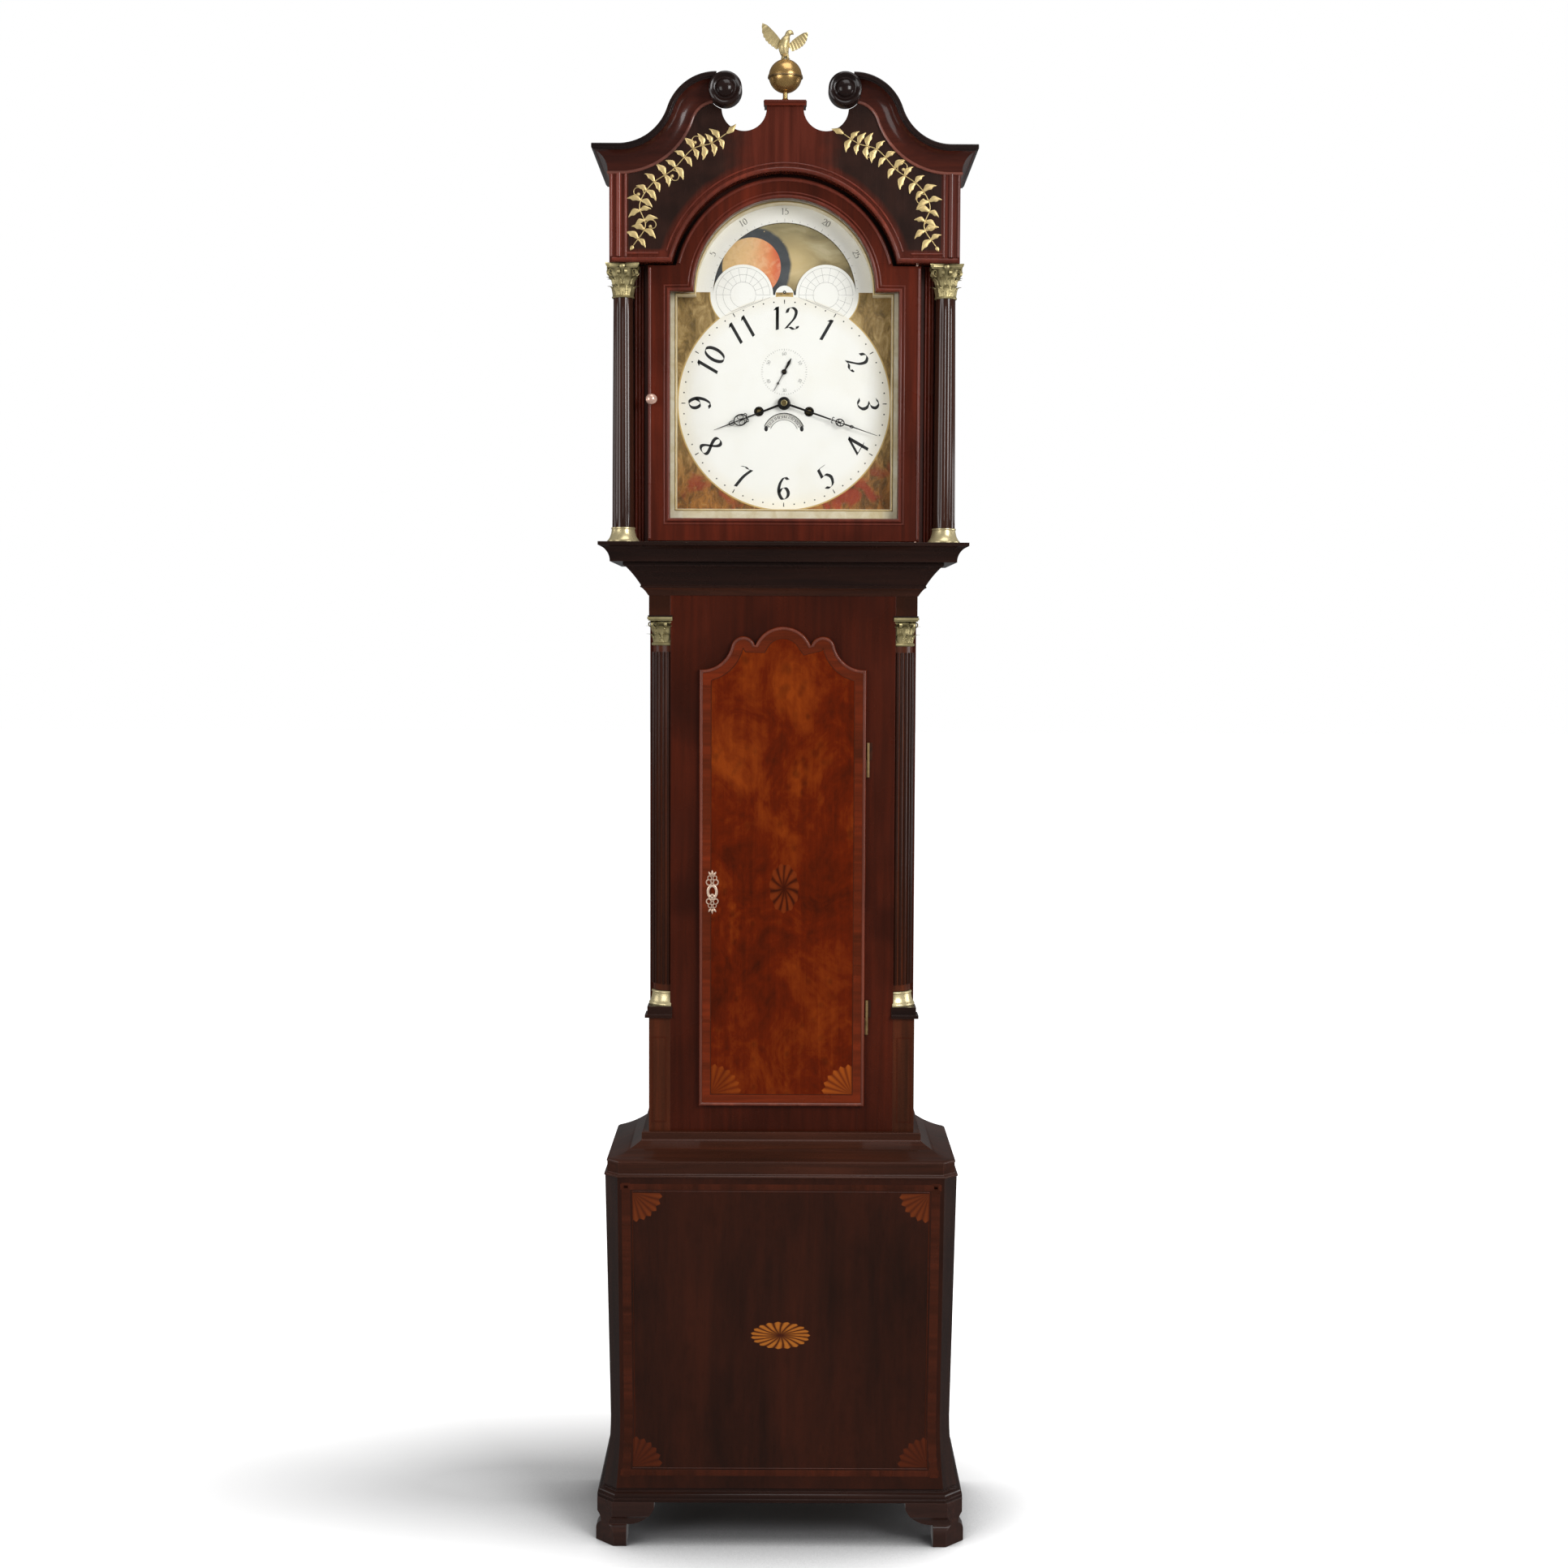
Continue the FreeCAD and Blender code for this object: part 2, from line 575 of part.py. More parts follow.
def build_trunk():
    """Backboard, trunk sides, the frame round the door, and the quarter columns."""
    inside = trunk_half + dim.base_overhang - dim.base_waisting - dim.base_wall
    top = cornice_bottom - dim.back_top_gap
    right_half = [(inside, base_bottom), (inside, base_top), (trunk_half, base_top), (trunk_half, top)]
    outline = right_half + [(-x, z) for x, z in reversed(right_half)]
    node("backboard", panel("backboard", outline, dim.back_thickness, case_back))
    corner_x = trunk_half - dim.corner_size
    corner_y = trunk_front + dim.corner_size
    side = board("trunk_side", (trunk_half - dim.side_thickness, corner_y, frame_foot),
                 (trunk_half, back_face, seat_bottom))
    pair("trunk_side_panels", side)
    frame_back = trunk_front + dim.frame_thickness
    stile = board("trunk_stile", (opening_half, trunk_front, frame_foot), (corner_x, frame_back, throat_top))
    low_rail = board("trunk_low_rail", (-opening_half, trunk_front, frame_foot),
                     (opening_half, frame_back, opening_bottom))
    high_rail = board("trunk_high_rail", (-opening_half, trunk_front, opening_top),
                      (opening_half, frame_back, throat_top))
    node("trunk_front_frame", group("trunk_front_frame", stile, mirrored(stile), low_rail, high_rail))
    foot = trunk_bottom + dim.column_foot_height
    shaft_foot = foot + dim.quarter_base_height
    capital_top = trunk_top - dim.corner_top_height
    shaft_top = capital_top - dim.quarter_capital_height
    low_block = board("corner_low", (corner_x, trunk_front, frame_foot), (trunk_half, corner_y, foot))
    high_block = board("corner_high", (corner_x, trunk_front, capital_top),
                       (trunk_half, corner_y, throat_top))
    radius = dim.quarter_column_radius
    shaft = rod("quarter_shaft", radius, (corner_x, corner_y, shaft_foot), shaft_top - shaft_foot, "z", 90)
    place(shaft, corner_x, corner_y, shaft_foot, turn((0, 0, 1), -90))
    columns = (shaft, low_block, high_block)
    node("trunk_quarter_columns", group("trunk_quarter_columns", *columns,
                                        *[mirrored(piece) for piece in columns]))
    base = quarter("quarter_base", dim.corner_size, radius, corner_x, corner_y, foot, dim.quarter_base_height)
    capital = quarter("quarter_capital", radius, dim.corner_size, corner_x, corner_y, shaft_top,
                      dim.quarter_capital_height)
    node("trunk_column_mounts", group("trunk_column_mounts", base, capital, mirrored(base),
                                      mirrored(capital)))


def build_trunk_door():
    """Lipped door with a lobed crest, its hinges, escutcheon and lock."""
    crest = door_shoulder + dim.door_notch_height
    lobe_end = dim.crest_half_width + dim.lobe_width
    outline = [(-door_half, door_bottom), (door_half, door_bottom),
               (door_half, door_shoulder, -dim.shoulder_radius), (lobe_end, crest, dim.lobe_radius),
               (dim.crest_half_width, crest, dim.crest_radius),
               (-dim.crest_half_width, crest, dim.lobe_radius), (-lobe_end, crest, -dim.shoulder_radius),
               (-door_half, door_shoulder)]
    door = panel("trunk_door_panel", outline, dim.door_lip_thickness, trunk_front)
    half = opening_half - dim.fit_gap
    low = opening_bottom + dim.fit_gap
    high = opening_top - dim.fit_gap
    padded(door, [(-half, low), (half, low), (half, high), (-half, high)], "XZ_Plane", dim.door_tongue,
           backwards=True)
    node("trunk_door_panel", door)
    build_hinges()
    middle_x = dim.plate_edge_inset - door_half
    middle_z = door_bottom + dim.plate_rise
    wide = dim.plate_width / 2
    tall = dim.plate_height / 2
    keyhole = rod("keyhole_round", dim.keyhole_radius, (middle_x, 0, middle_z), -trunk_front * 2)
    place(keyhole, middle_x, trunk_front * 2, middle_z, along_y)
    slot_half = dim.keyhole_radius / 2
    slot = board("keyhole_slot", (middle_x - slot_half, trunk_front * 2, middle_z - dim.keyhole_length),
                 (middle_x + slot_half, 0, middle_z))
    rosette = [(wide, 0), (wide / 2, tall / 2), (wide, tall * waist_share), (0, tall),
               (-wide, tall * waist_share), (-wide / 2, tall / 2), (-wide, 0), (-wide / 2, -tall / 2),
               (-wide, -tall * waist_share), (0, -tall), (wide, -tall * waist_share), (wide / 2, -tall / 2)]
    plate = new_body("escutcheon_plate")
    padded(plate, rosette, "XZ_Plane", dim.plate_thickness)
    place(plate, middle_x, trunk_front - dim.door_lip_thickness, middle_z)
    node("trunk_escutcheon", cut("trunk_escutcheon", plate, keyhole, slot))
    lock_back = trunk_front + dim.door_tongue
    lock_low = (dim.door_lip + dim.lock_inset - door_half, lock_back, middle_z - dim.lock_height / 2)
    lock_high = (lock_low[0] + dim.lock_width, lock_back + dim.lock_thickness,
                 middle_z + dim.lock_height / 2)
    node("trunk_lock", board("trunk_lock", lock_low, lock_high))


waist_share = 0.72


def build_hinges():
    """Two pin hinges on the door's right edge."""
    barrel = dim.hinge_barrel_radius
    axis_x = door_half + dim.hinge_leaf_thickness + barrel - dim.hinge_bite
    axis_y = trunk_front - barrel - dim.slide_gap
    leaf_half = dim.hinge_height / 2
    middles = (door_bottom + dim.hinge_inset, door_shoulder - dim.hinge_inset)
    fixed = []
    moving = []
    for index, middle in enumerate(middles):
        name = "hinge_%d" % index
        split = middle + dim.slide_gap / 2
        knuckle = rod(name + "_frame_knuckle", barrel, (axis_x, axis_y, split), leaf_half, "z")
        leaf = board(name + "_frame_leaf", (axis_x, trunk_front - dim.hinge_leaf_thickness, split),
                     (axis_x + dim.hinge_leaf_width, trunk_front, split + leaf_half))
        bore = rod(name + "_bore", dim.hinge_pin_radius + dim.running_gap,
                   (axis_x, axis_y, middle - leaf_half), dim.hinge_height * 2, "z")
        fixed.append(cut(name + "_fixed", fuse(name + "_frame", knuckle, leaf), bore))
        low = middle - leaf_half
        door_knuckle = rod(name + "_door_knuckle", barrel, (axis_x, axis_y, low),
                           leaf_half - dim.slide_gap / 2, "z")
        plate_front = trunk_front - dim.door_lip_thickness
        door_leaf = board(name + "_door_leaf", (door_half, plate_front, low),
                          (door_half + dim.hinge_leaf_thickness, trunk_front - dim.slide_gap,
                           middle - dim.slide_gap / 2))
        pin = rod(name + "_pin", dim.hinge_pin_radius, (axis_x, axis_y, low), dim.hinge_height, "z")
        moving.append(fuse(name + "_moving", door_knuckle, door_leaf, pin))
    node("trunk_hinge_frame_leaves", group("trunk_hinge_frame_leaves", *fixed))
    node("trunk_hinge_door_leaves", group("trunk_hinge_door_leaves", *moving))


def arched(half, foot, shoulder, radius):
    """An outline with square shoulders and a round arch on the dial's arch centre."""
    rise = shoulder - arch_z
    springing = root_of(radius * radius - rise * rise)
    return [(-half, foot), (half, foot), (half, shoulder), (springing, shoulder, radius),
            (0, arch_z + radius, radius), (-springing, shoulder), (-half, shoulder)]


pivot_x = dim.hood_door_width / 2 - dim.pivot_inset
pivot_y = hood_door_front + dim.pivot_depth
hood_door_foot = sill_top + dim.hood_door_foot_gap
hood_door_shoulder = frieze_bottom - dim.hood_door_head_gap


def build_hood():
    """The sliding hood: sill, sides, mask, roof, pediment, columns and finial."""
    side_outer = trunk_half + dim.hood_side_overhang
    side_inner = side_outer - dim.side_thickness
    lip = sill_top - dim.sill_lip_height
    rise = lip - sill_bottom
    sill = [(dim.hood_inside_gap, sill_bottom), (dim.sill_foot_overhang, sill_bottom, -rise),
            (dim.sill_lip_overhang, lip), (dim.sill_lip_overhang, sill_top),
            (dim.hood_inside_gap, sill_top)]
    bore = dim.pivot_radius + dim.running_gap
    low_bore = rod("low_pivot_bore", bore, (pivot_x, pivot_y, sill_top - dim.pivot_length),
                   dim.frieze_height, "z")
    front = cut("sill_front_bored", front_run("sill", sill, "front"), low_bore)
    side = side_run("sill", sill, "side")
    node("hood_sill_frame", group("hood_sill_frame", front, side, mirrored(side)))
    wall = board("hood_wall", (side_inner, mask_back, sill_top), (side_outer, case_back, cornice_bottom))
    frieze = board("frieze_return", (side_outer, frieze_back, frieze_bottom),
                   (trunk_half + dim.frieze_overhang, case_back, cornice_top))
    node("hood_side_panels", group("hood_side_panels", wall, frieze, mirrored(wall), mirrored(frieze)))
    node("hood_roof_board",
         board("hood_roof_board", (-side_inner, mask_back, cornice_bottom - dim.roof_thickness),
                                  (side_inner, case_back, cornice_bottom)))
    mask_half = dim.hood_door_width / 2 + dim.mask_reach
    mask_top = arch_z + dim.frieze_arch_radius + dim.mask_head_cover
    mask_outline = [(-mask_half, sill_top), (mask_half, sill_top), (mask_half, mask_top),
                    (-mask_half, mask_top)]
    mask_opening = arched(dim.mask_half_width, sill_top + dim.mask_foot_rise, arch_z - dim.mask_shoulder_drop,
                          dim.mask_arch_radius)
    mask = panel("mask_board", mask_outline, mask_back - mask_front, mask_back, mask_opening)
    closer = board("mask_closer", (mask_half, mask_back - dim.closer_thickness, sill_top),
                   (side_outer, mask_back, cornice_bottom))
    node("dial_mask", fuse("dial_mask", mask, closer, mirrored(closer)))
    build_pediment()
    build_columns()
    build_finial()


def build_pediment():
    """Pediment board with its arch, swan necks, roundels and the cornice returns."""
    half = trunk_half + dim.frieze_overhang
    neck_radius = (dim.neck_run * dim.neck_run + dim.neck_rise * dim.neck_rise) / (dim.neck_rise * 4)
    neck_middle = (dim.neck_start - dim.neck_run / 2, cornice_top + dim.neck_rise / 2)
    scroll_top = cornice_top + dim.scroll_top_rise
    arch = frieze_bottom - arch_z
    foot = root_of(dim.frieze_arch_radius * dim.frieze_arch_radius - arch * arch)
    saddle = cornice_top + dim.saddle_level
    saddle_low = saddle - dim.saddle_radius
    crown = arch_z + dim.frieze_arch_radius
    neck_end = dim.neck_start - dim.neck_run
    right = [(foot, frieze_bottom), (half, frieze_bottom), (half, cornice_top),
             (dim.neck_start, cornice_top, -neck_radius), (*neck_middle, neck_radius),
             (neck_end, cornice_top + dim.neck_rise), (dim.scroll_inner, scroll_top),
             (dim.scroll_inner, saddle, -dim.saddle_radius),
             (dim.saddle_spread, saddle_low, -dim.saddle_radius),
             (dim.finial_neck_half_width, saddle),
             (dim.finial_neck_half_width, cornice_top + dim.finial_neck_rise)]
    bends = [item[2:] for item in right]
    left = [(-item[0], item[1]) + tuple(bends[index - 1] if index else ())
            for index, item in reversed(list(enumerate(right)))]
    outline = right + left[:-1] + [(-foot, frieze_bottom, -dim.frieze_arch_radius),
                                   (0, crown, -dim.frieze_arch_radius)]
    board_body = panel("pediment_blank", outline, dim.frieze_thickness, frieze_back)
    roundel_z = cornice_top + dim.neck_rise - dim.roundel_drop
    front = trunk_front - dim.cornice_overhang - dim.roundel_front
    roundel = rod("roundel", dim.roundel_radius, (dim.roundel_spread, front, roundel_z), frieze_back - front)
    high_bore = rod("high_pivot_bore", dim.pivot_radius + dim.running_gap,
                    (pivot_x, pivot_y, frieze_bottom - dim.pivot_length),
                    dim.pivot_length * 2 + dim.fit_gap, "z")
    node("pediment_board", cut("pediment_board", board_body, roundel, mirrored(roundel), high_bore))
    projection = dim.cornice_overhang - dim.frieze_overhang
    lip = cornice_top - dim.cornice_lip_height
    cove = lip - cornice_bottom
    neck = new_body("swan_neck")
    start_x = trunk_half + dim.cornice_overhang
    path = [(start_x, cornice_top), (dim.neck_start, cornice_top, -neck_radius), (*neck_middle, neck_radius),
            (neck_end, cornice_top + dim.neck_rise)]
    spine = draw(new_sketch(neck, "neck_path", "XZ_Plane"), path, closed=False)
    profile = new_sketch(neck, "neck_profile", "YZ_Plane")
    profile.setExpression("AttachmentOffset.Base.z", start_x.formula)
    draw(profile,
         [(0, cornice_top), (-projection, cornice_top), (-projection, lip, cove), (0, cornice_bottom)])
    pipe = neck.newObject("PartDesign::AdditivePipe", "neck_sweep")
    pipe.Profile = profile
    pipe.Spine = (spine, [])
    place(neck, 0, frieze_front, 0)
    trimmed = cut("swan_neck_cut", common("swan_neck_mitred", neck, mitres["front"]), roundel)
    node("swan_necks", group("swan_necks", trimmed, mirrored(trimmed), roundel, mirrored(roundel)))
    cornice = [(dim.frieze_overhang, cornice_bottom, -cove), (dim.cornice_overhang, lip),
               (dim.cornice_overhang, cornice_top), (dim.frieze_overhang, cornice_top)]
    pair("cornice_returns", side_run("cornice", cornice, "side"))


def build_columns():
    """Free-standing hood columns with brass bases and capitals."""
    x = dim.column_spread
    y = frieze_front + dim.column_set_back
    shaft_foot = sill_top + dim.column_base_height
    shaft_top = frieze_bottom - dim.capital_height
    height = shaft_top - shaft_foot
    shaft = turned("hood_column",
                   [(0, 0), (dim.column_radius, 0), (dim.column_top_radius, height), (0, height)],
                   x, y, shaft_foot)
    pair("hood_columns", shaft)
    foot_half = dim.column_base_width / 2
    plinth = board("column_plinth", (x - foot_half, y - foot_half, sill_top),
                   (x + foot_half, y + foot_half, sill_top + dim.column_plinth_height))
    torus_height = dim.column_base_height - dim.column_plinth_height
    torus = turned("column_torus", [(0, 0), (foot_half, 0, torus_height), (dim.column_radius, torus_height),
                                    (0, torus_height)], x, y, sill_top + dim.column_plinth_height)
    base = fuse("column_base", plinth, torus)
    bell_height = dim.capital_height - dim.abacus_height
    cap_half = dim.capital_width / 2
    bell = turned("capital_bell",
                  [(0, 0), (dim.column_top_radius, 0, -bell_height * 2), (cap_half, bell_height),
                                   (0, bell_height)], x, y, shaft_top)
    abacus = board("capital_abacus", (x - cap_half, y - cap_half, frieze_bottom - dim.abacus_height),
                   (x + cap_half, y + cap_half, frieze_bottom))
    capital = fuse("column_capital", bell, abacus)
    node("hood_column_mounts", group("hood_column_mounts", base, mirrored(base), capital, mirrored(capital)))


def build_finial():
    """Cap on the pediment's neck, with the ball and the eagle."""
    cap_half = dim.cap_width / 2
    cap_low = cornice_top + dim.finial_neck_rise
    cap_top = cap_low + dim.cap_height
    node("finial_cap", board("finial_cap", (-cap_half, frieze_front - dim.cap_lip, cap_low),
                             (cap_half, frieze_back + dim.cap_lip, cap_top)))
    middle_y = (frieze_front + frieze_back) / 2
    stem = rod("finial_stem", dim.finial_stem_radius, (0, middle_y, cap_top),
               dim.finial_stem_height + dim.finial_stem_radius, "z")
    ball_z = cap_top + dim.finial_stem_height + dim.ball_radius
    ball = doc.addObject("Part::Sphere", "ball")
    bind(ball, "Radius", dim.ball_radius)
    place(ball, 0, middle_y, ball_z)
    ridge = rod("ball_ridge", dim.ball_radius + dim.ball_ridge, (0, middle_y, ball_z - dim.ball_ridge),
                dim.ball_ridge * 2, "z")
    top_cut = board("ball_flat", (-dim.ball_radius, middle_y - dim.ball_radius, ball_z + dim.ball_radius
                                  - dim.ball_ridge),
                    (dim.ball_radius, middle_y + dim.ball_radius, ball_z + dim.ball_radius * 2))
    node("finial_ball", cut("finial_ball", fuse("ball_whole", stem, ball, ridge), top_cut))
    perch = ball_z + dim.ball_radius - dim.ball_ridge
    build_eagle(middle_y, perch)


wing_rise_share = 0.62
head_rise_share = 0.78
body_height_share = 0.42


def build_eagle(y, perch):
    """Eagle with raised wings, standing on the ball."""
    tall = dim.eagle_height
    girth = dim.eagle_body_radius

    def egg(name, radii, x, z, angle):
        shape = doc.addObject("Part::Ellipsoid", name)
        for prop, radius in zip(("Radius2", "Radius3", "Radius1"), radii):
            bind(shape, prop, radius)
        shape.Angle1 = -90
        shape.Angle2 = 90
        return place(shape, x, y, perch + z, turn((0, 1, 0), angle))

    trunk = egg("eagle_trunk", (girth, girth, tall * body_height_share), 0, tall * body_height_share, 8)
    head = egg("eagle_head", (girth * wing_rise_share, girth * wing_rise_share, girth),
               girth, tall * head_rise_share, 60)
    claws = rod("eagle_claws", girth, (0, y, perch), girth / 2, "z")
    wing_height = tall * wing_rise_share
    span = dim.wing_reach / 2
    left_wing = egg("eagle_left_wing", (girth, girth / 2, span + girth), -span, wing_height, -35)
    right_wing = egg("eagle_right_wing", (girth, girth / 2, span + girth), span, wing_height, 42)
    bird = fuse("eagle_bird", trunk, head, claws, left_wing, right_wing)
    reach = dim.wing_reach * 2
    space = board("eagle_space", (-reach, y - reach, perch),
                  (reach, y + reach, perch + tall + dim.ball_ridge))
    node("finial_eagle", common("finial_eagle", bird, space))


def build_hood_door():
    """Arched glazed door on pivot pins at its right edge."""
    half = dim.hood_door_width / 2
    outline = arched(half, hood_door_foot, hood_door_shoulder, dim.hood_door_arch_radius)
    glass_foot = sill_top + dim.glass_foot_rise
    glass_shoulder = arch_z - dim.glass_shoulder_drop
    sight = arched(dim.glass_half_width, glass_foot, glass_shoulder, dim.glass_arch_radius)
    frame = panel("hood_door_blank", outline, dim.hood_door_thickness, mask_front - dim.slide_gap, sight)
    rebate = dim.glass_rebate
    pane = arched(dim.glass_half_width + rebate, glass_foot - rebate, glass_shoulder + rebate,
                  dim.glass_arch_radius + rebate)
    door_back = mask_front - dim.slide_gap
    pocket = panel("glass_pocket", pane, dim.glass_rebate_depth, door_back)
    pins = []
    for index, level in enumerate((sill_top - dim.pivot_length, hood_door_shoulder - dim.pivot_length)):
        start = (pivot_x, pivot_y, level + dim.slide_gap)
        length = dim.pivot_length * 2 + dim.hood_door_foot_gap
        pins.append(rod("pivot_pin_%d" % index, dim.pivot_radius, start, length, "z"))
    relief = board("edge_relief", (half - dim.edge_relief_width, door_back - dim.edge_relief, hood_door_foot),
                   (half, door_back, hood_door_shoulder))
    node("hood_door_frame", cut("hood_door_frame", frame, pocket, relief, *pins))
    inset = dim.running_gap
    pane_fit = arched(dim.glass_half_width + rebate - inset, glass_foot - rebate + inset,
                      glass_shoulder + rebate - inset, dim.glass_arch_radius + rebate - inset)
    node("hood_door_glass", panel("hood_door_glass", pane_fit, dim.glass_thickness,
                                  door_back - dim.glass_rebate_depth + dim.glass_thickness))
    knob_x = dim.knob_inset - half
    knob_z = sill_top + dim.knob_rise
    neck = dim.knob_radius / 2
    front = door_back - dim.hood_door_thickness
    knob = turned("knob",
                  [(0, 0), (neck, 0), (neck, dim.knob_length / 2), (dim.knob_radius, dim.knob_length / 2),
                           (dim.knob_radius, dim.knob_length), (0, dim.knob_length)], knob_x, front, knob_z,
                  turn((1, 0, 0), 90))
    node("hood_door_fittings", group("hood_door_fittings", knob, *pins))


# arbor places, measured from the dial's centre
winding = (dim.winding_spread, -dim.winding_drop)
centre_teeth = {"wheel_teeth": 60, "pinion_teeth": 8}
third_teeth = {"wheel_teeth": 56, "pinion_teeth": 8}
escape_teeth = {"wheel_teeth": 30, "pinion_teeth": 7}
great_teeth = 96
motion_teeth = {"cannon_teeth": 36, "pinion_teeth": 6, "hour_teeth": 72}
centre_to_great = root_of(winding[0] * winding[0] + winding[1] * winding[1])
great_module = centre_to_great * 2 / (great_teeth + centre_teeth["pinion_teeth"])
centre_to_third = dim.centre_module * (centre_teeth["wheel_teeth"] + third_teeth["pinion_teeth"]) / 2
third_to_escape = dim.third_module * (third_teeth["wheel_teeth"] + escape_teeth["pinion_teeth"]) / 2
third_rise = (centre_to_third * centre_to_third - third_to_escape * third_to_escape
              + dim.seconds_rise * dim.seconds_rise) / (dim.seconds_rise * 2)
third = (root_of(centre_to_third * centre_to_third - third_rise * third_rise), third_rise)
motion_distance = dim.motion_module * motion_teeth["cannon_teeth"]
hour_module = motion_distance * 2 / (motion_teeth["pinion_teeth"] + motion_teeth["hour_teeth"])
minute_stud = (-motion_distance * half_diagonal_share, motion_distance * half_diagonal_share)
tip_share = 0.62
root_share = 0.95
wheel_tooth_share = 0.4
pinion_leaf_share = 0.26
fine_leaf_share = 0.2
tip_width_share = 0.45


def facing(origin, target):
    """Angle from one arbor to another, anticlockwise in the front view from +X."""
    return math.atan2(number_of(target[1]) - number_of(origin[1]),
                      number_of(target[0]) - number_of(origin[0]))


def gear(name, spot, teeth, module, front, thickness, aim, bore=None, gap=False, leaf=wheel_tooth_share):
    """A toothed disc; a tooth, or a gap, points at the angle aim in the front view."""
    size = number_of(module)
    radius = teeth * size / 2
    pitch = math.tau / teeth
    shape_points = []
    for index in range(teeth):
        middle = aim + pitch * (index + (0.5 if gap else 0))
        half = pitch * leaf / 2
        for offset, reach in ((-half, -root_share), (-half * tip_width_share, tip_share),
                              (half * tip_width_share, tip_share), (half, -root_share)):
            distance = radius + reach * size
            shape_points.append(FreeCAD.Vector(distance * math.cos(middle + offset), 0,
                                               distance * math.sin(middle + offset)))
    face = Part.Face(Part.makePolygon(shape_points + shape_points[:1]))
    solid = face.extrude(FreeCAD.Vector(0, number_of(thickness), 0))
    if bore:
        hole = Part.makeCylinder(number_of(bore), number_of(thickness), FreeCAD.Vector(),
                                 FreeCAD.Vector(0, 1, 0))
        solid = solid.cut(hole)
    feature = doc.addObject("Part::Feature", name)
    feature.Shape = solid
    return place(feature, spot[0], front, dial_z + spot[1])


def arbor(name, spot, radius, front, back):
    return rod(name, radius, (spot[0], front, dial_z + spot[1]), back - front)


def pivoted(name, spot, front, back):
    """An arbor between the plates with a thin pivot at each end."""
    body = arbor(name + "_arbor", spot, dim.arbor_radius, front + dim.slide_gap, back - dim.slide_gap)
    ends = arbor(name + "_pivots", spot, dim.pivot_end_radius, front - dim.plate_sheet,
                 back + dim.plate_sheet)
    return [body, ends]


centre = (0, 0)
escape = (0, dim.seconds_rise)
pallet = (0, dim.pallet_rise)
strike = (-dim.winding_spread, -dim.winding_drop)
hammer = (-dim.hammer_spread, dim.hammer_rise)
moon = (0, dim.dial_arch_rise)
date = (0, -dim.date_drop)
pendulum_y = back_plate_back + dim.pendulum_set_back
pendulum_z = dial_z + dim.pallet_rise
minute_angle = 109
hour_angle = 249
seconds_angle = 208


def build_plates():
    """Seat board, the two plates with their pivot holes, and the pillars."""
    low = (-dim.plate_half_width, front_plate_front, seat_top)
    high = (dim.plate_half_width, movement_front, seat_top + dim.plate_tall)
    fine = dim.pivot_end_radius + dim.running_gap
    thick = dim.arbor_radius + dim.running_gap
    big = dim.drum_arbor_radius + dim.running_gap
    front_holes = [(centre, thick), (escape, thick), (pallet, fine), (third, fine), (winding, big),
                   (strike, big), (hammer, fine)]
    back_holes = [(centre, fine), (escape, fine), (pallet, thick), (third, fine), (winding, fine),
                  (strike, fine), (hammer, fine)]

    def drilled(name, front, back, holes):
        blank = board(name + "_blank", (low[0], front, low[2]), (high[0], back, high[2]))
        drills = [arbor("%s_hole_%d" % (name, index), spot, radius, front - dim.cut_overrun,
                        back + dim.cut_overrun)
                  for index, (spot, radius) in enumerate(holes)]
        return cut(name, blank, *drills)

    front_plate = drilled("front_plate", front_plate_front, movement_front, front_holes)
    back_plate = drilled("back_plate", movement_back, back_plate_back, back_holes)
    side = dim.plate_half_width - dim.pillar_inset
    levels = (seat_top + dim.pillar_inset, seat_top + dim.plate_tall - dim.pillar_inset)
    posts = []
    for index, (x, z) in enumerate((x, z) for x in (-side, side) for z in levels):
        posts.append(rod("pillar_%d" % index, dim.pillar_radius, (x, movement_front, z), dim.plate_space))
    heights = (dim.dial_foot_rise, -dim.dial_foot_drop)
    for index, (x,
                z) in enumerate((x, z) for x in (-dim.dial_foot_spread,
                                                 dim.dial_foot_spread) for z in heights):
        posts.append(rod("dial_foot_%d" % index, dim.dial_foot_radius, (x, dial_back, dial_z + z),
                         dim.dial_foot_length))
    post_x = line_places[1] + dim.line_radius + dim.line_gap + dim.line_post_radius
    post = rod("line_post", dim.line_post_radius, (post_x, line_y, seat_top), line_top - seat_top, "z")
    node("movement_frame", group("movement_frame", front_plate, back_plate, *posts, post, mirrored(post)))
    seat_low = (-trunk_half, front_plate_front - dim.seat_front_reach, seat_bottom)
    seat_high = (trunk_half, back_plate_back + dim.seat_back_reach, seat_top)
    holes = [rod("line_hole_%d" % index, dim.line_hole_radius, (x, line_y, seat_bottom - dim.cut_overrun),
                 dim.seat_thickness + dim.cut_overrun * 2, "z")
             for index, x in enumerate(line_places + tuple(-place_x for place_x in line_places))]
    node("seat_board", cut("seat_board", board("seat_blank", seat_low, seat_high), *holes))


weight_x = dim.winding_spread + dim.drum_radius + dim.line_radius * 2 + dim.line_gap * 2 + dim.pulley_radius
line_places = (weight_x - dim.pulley_radius - dim.line_radius - dim.line_gap,
               weight_x + dim.pulley_radius + dim.line_radius + dim.line_gap)
line_y = movement_front + dim.drum_plane + dim.drum_length / 2
line_top = dial_z - dim.winding_drop


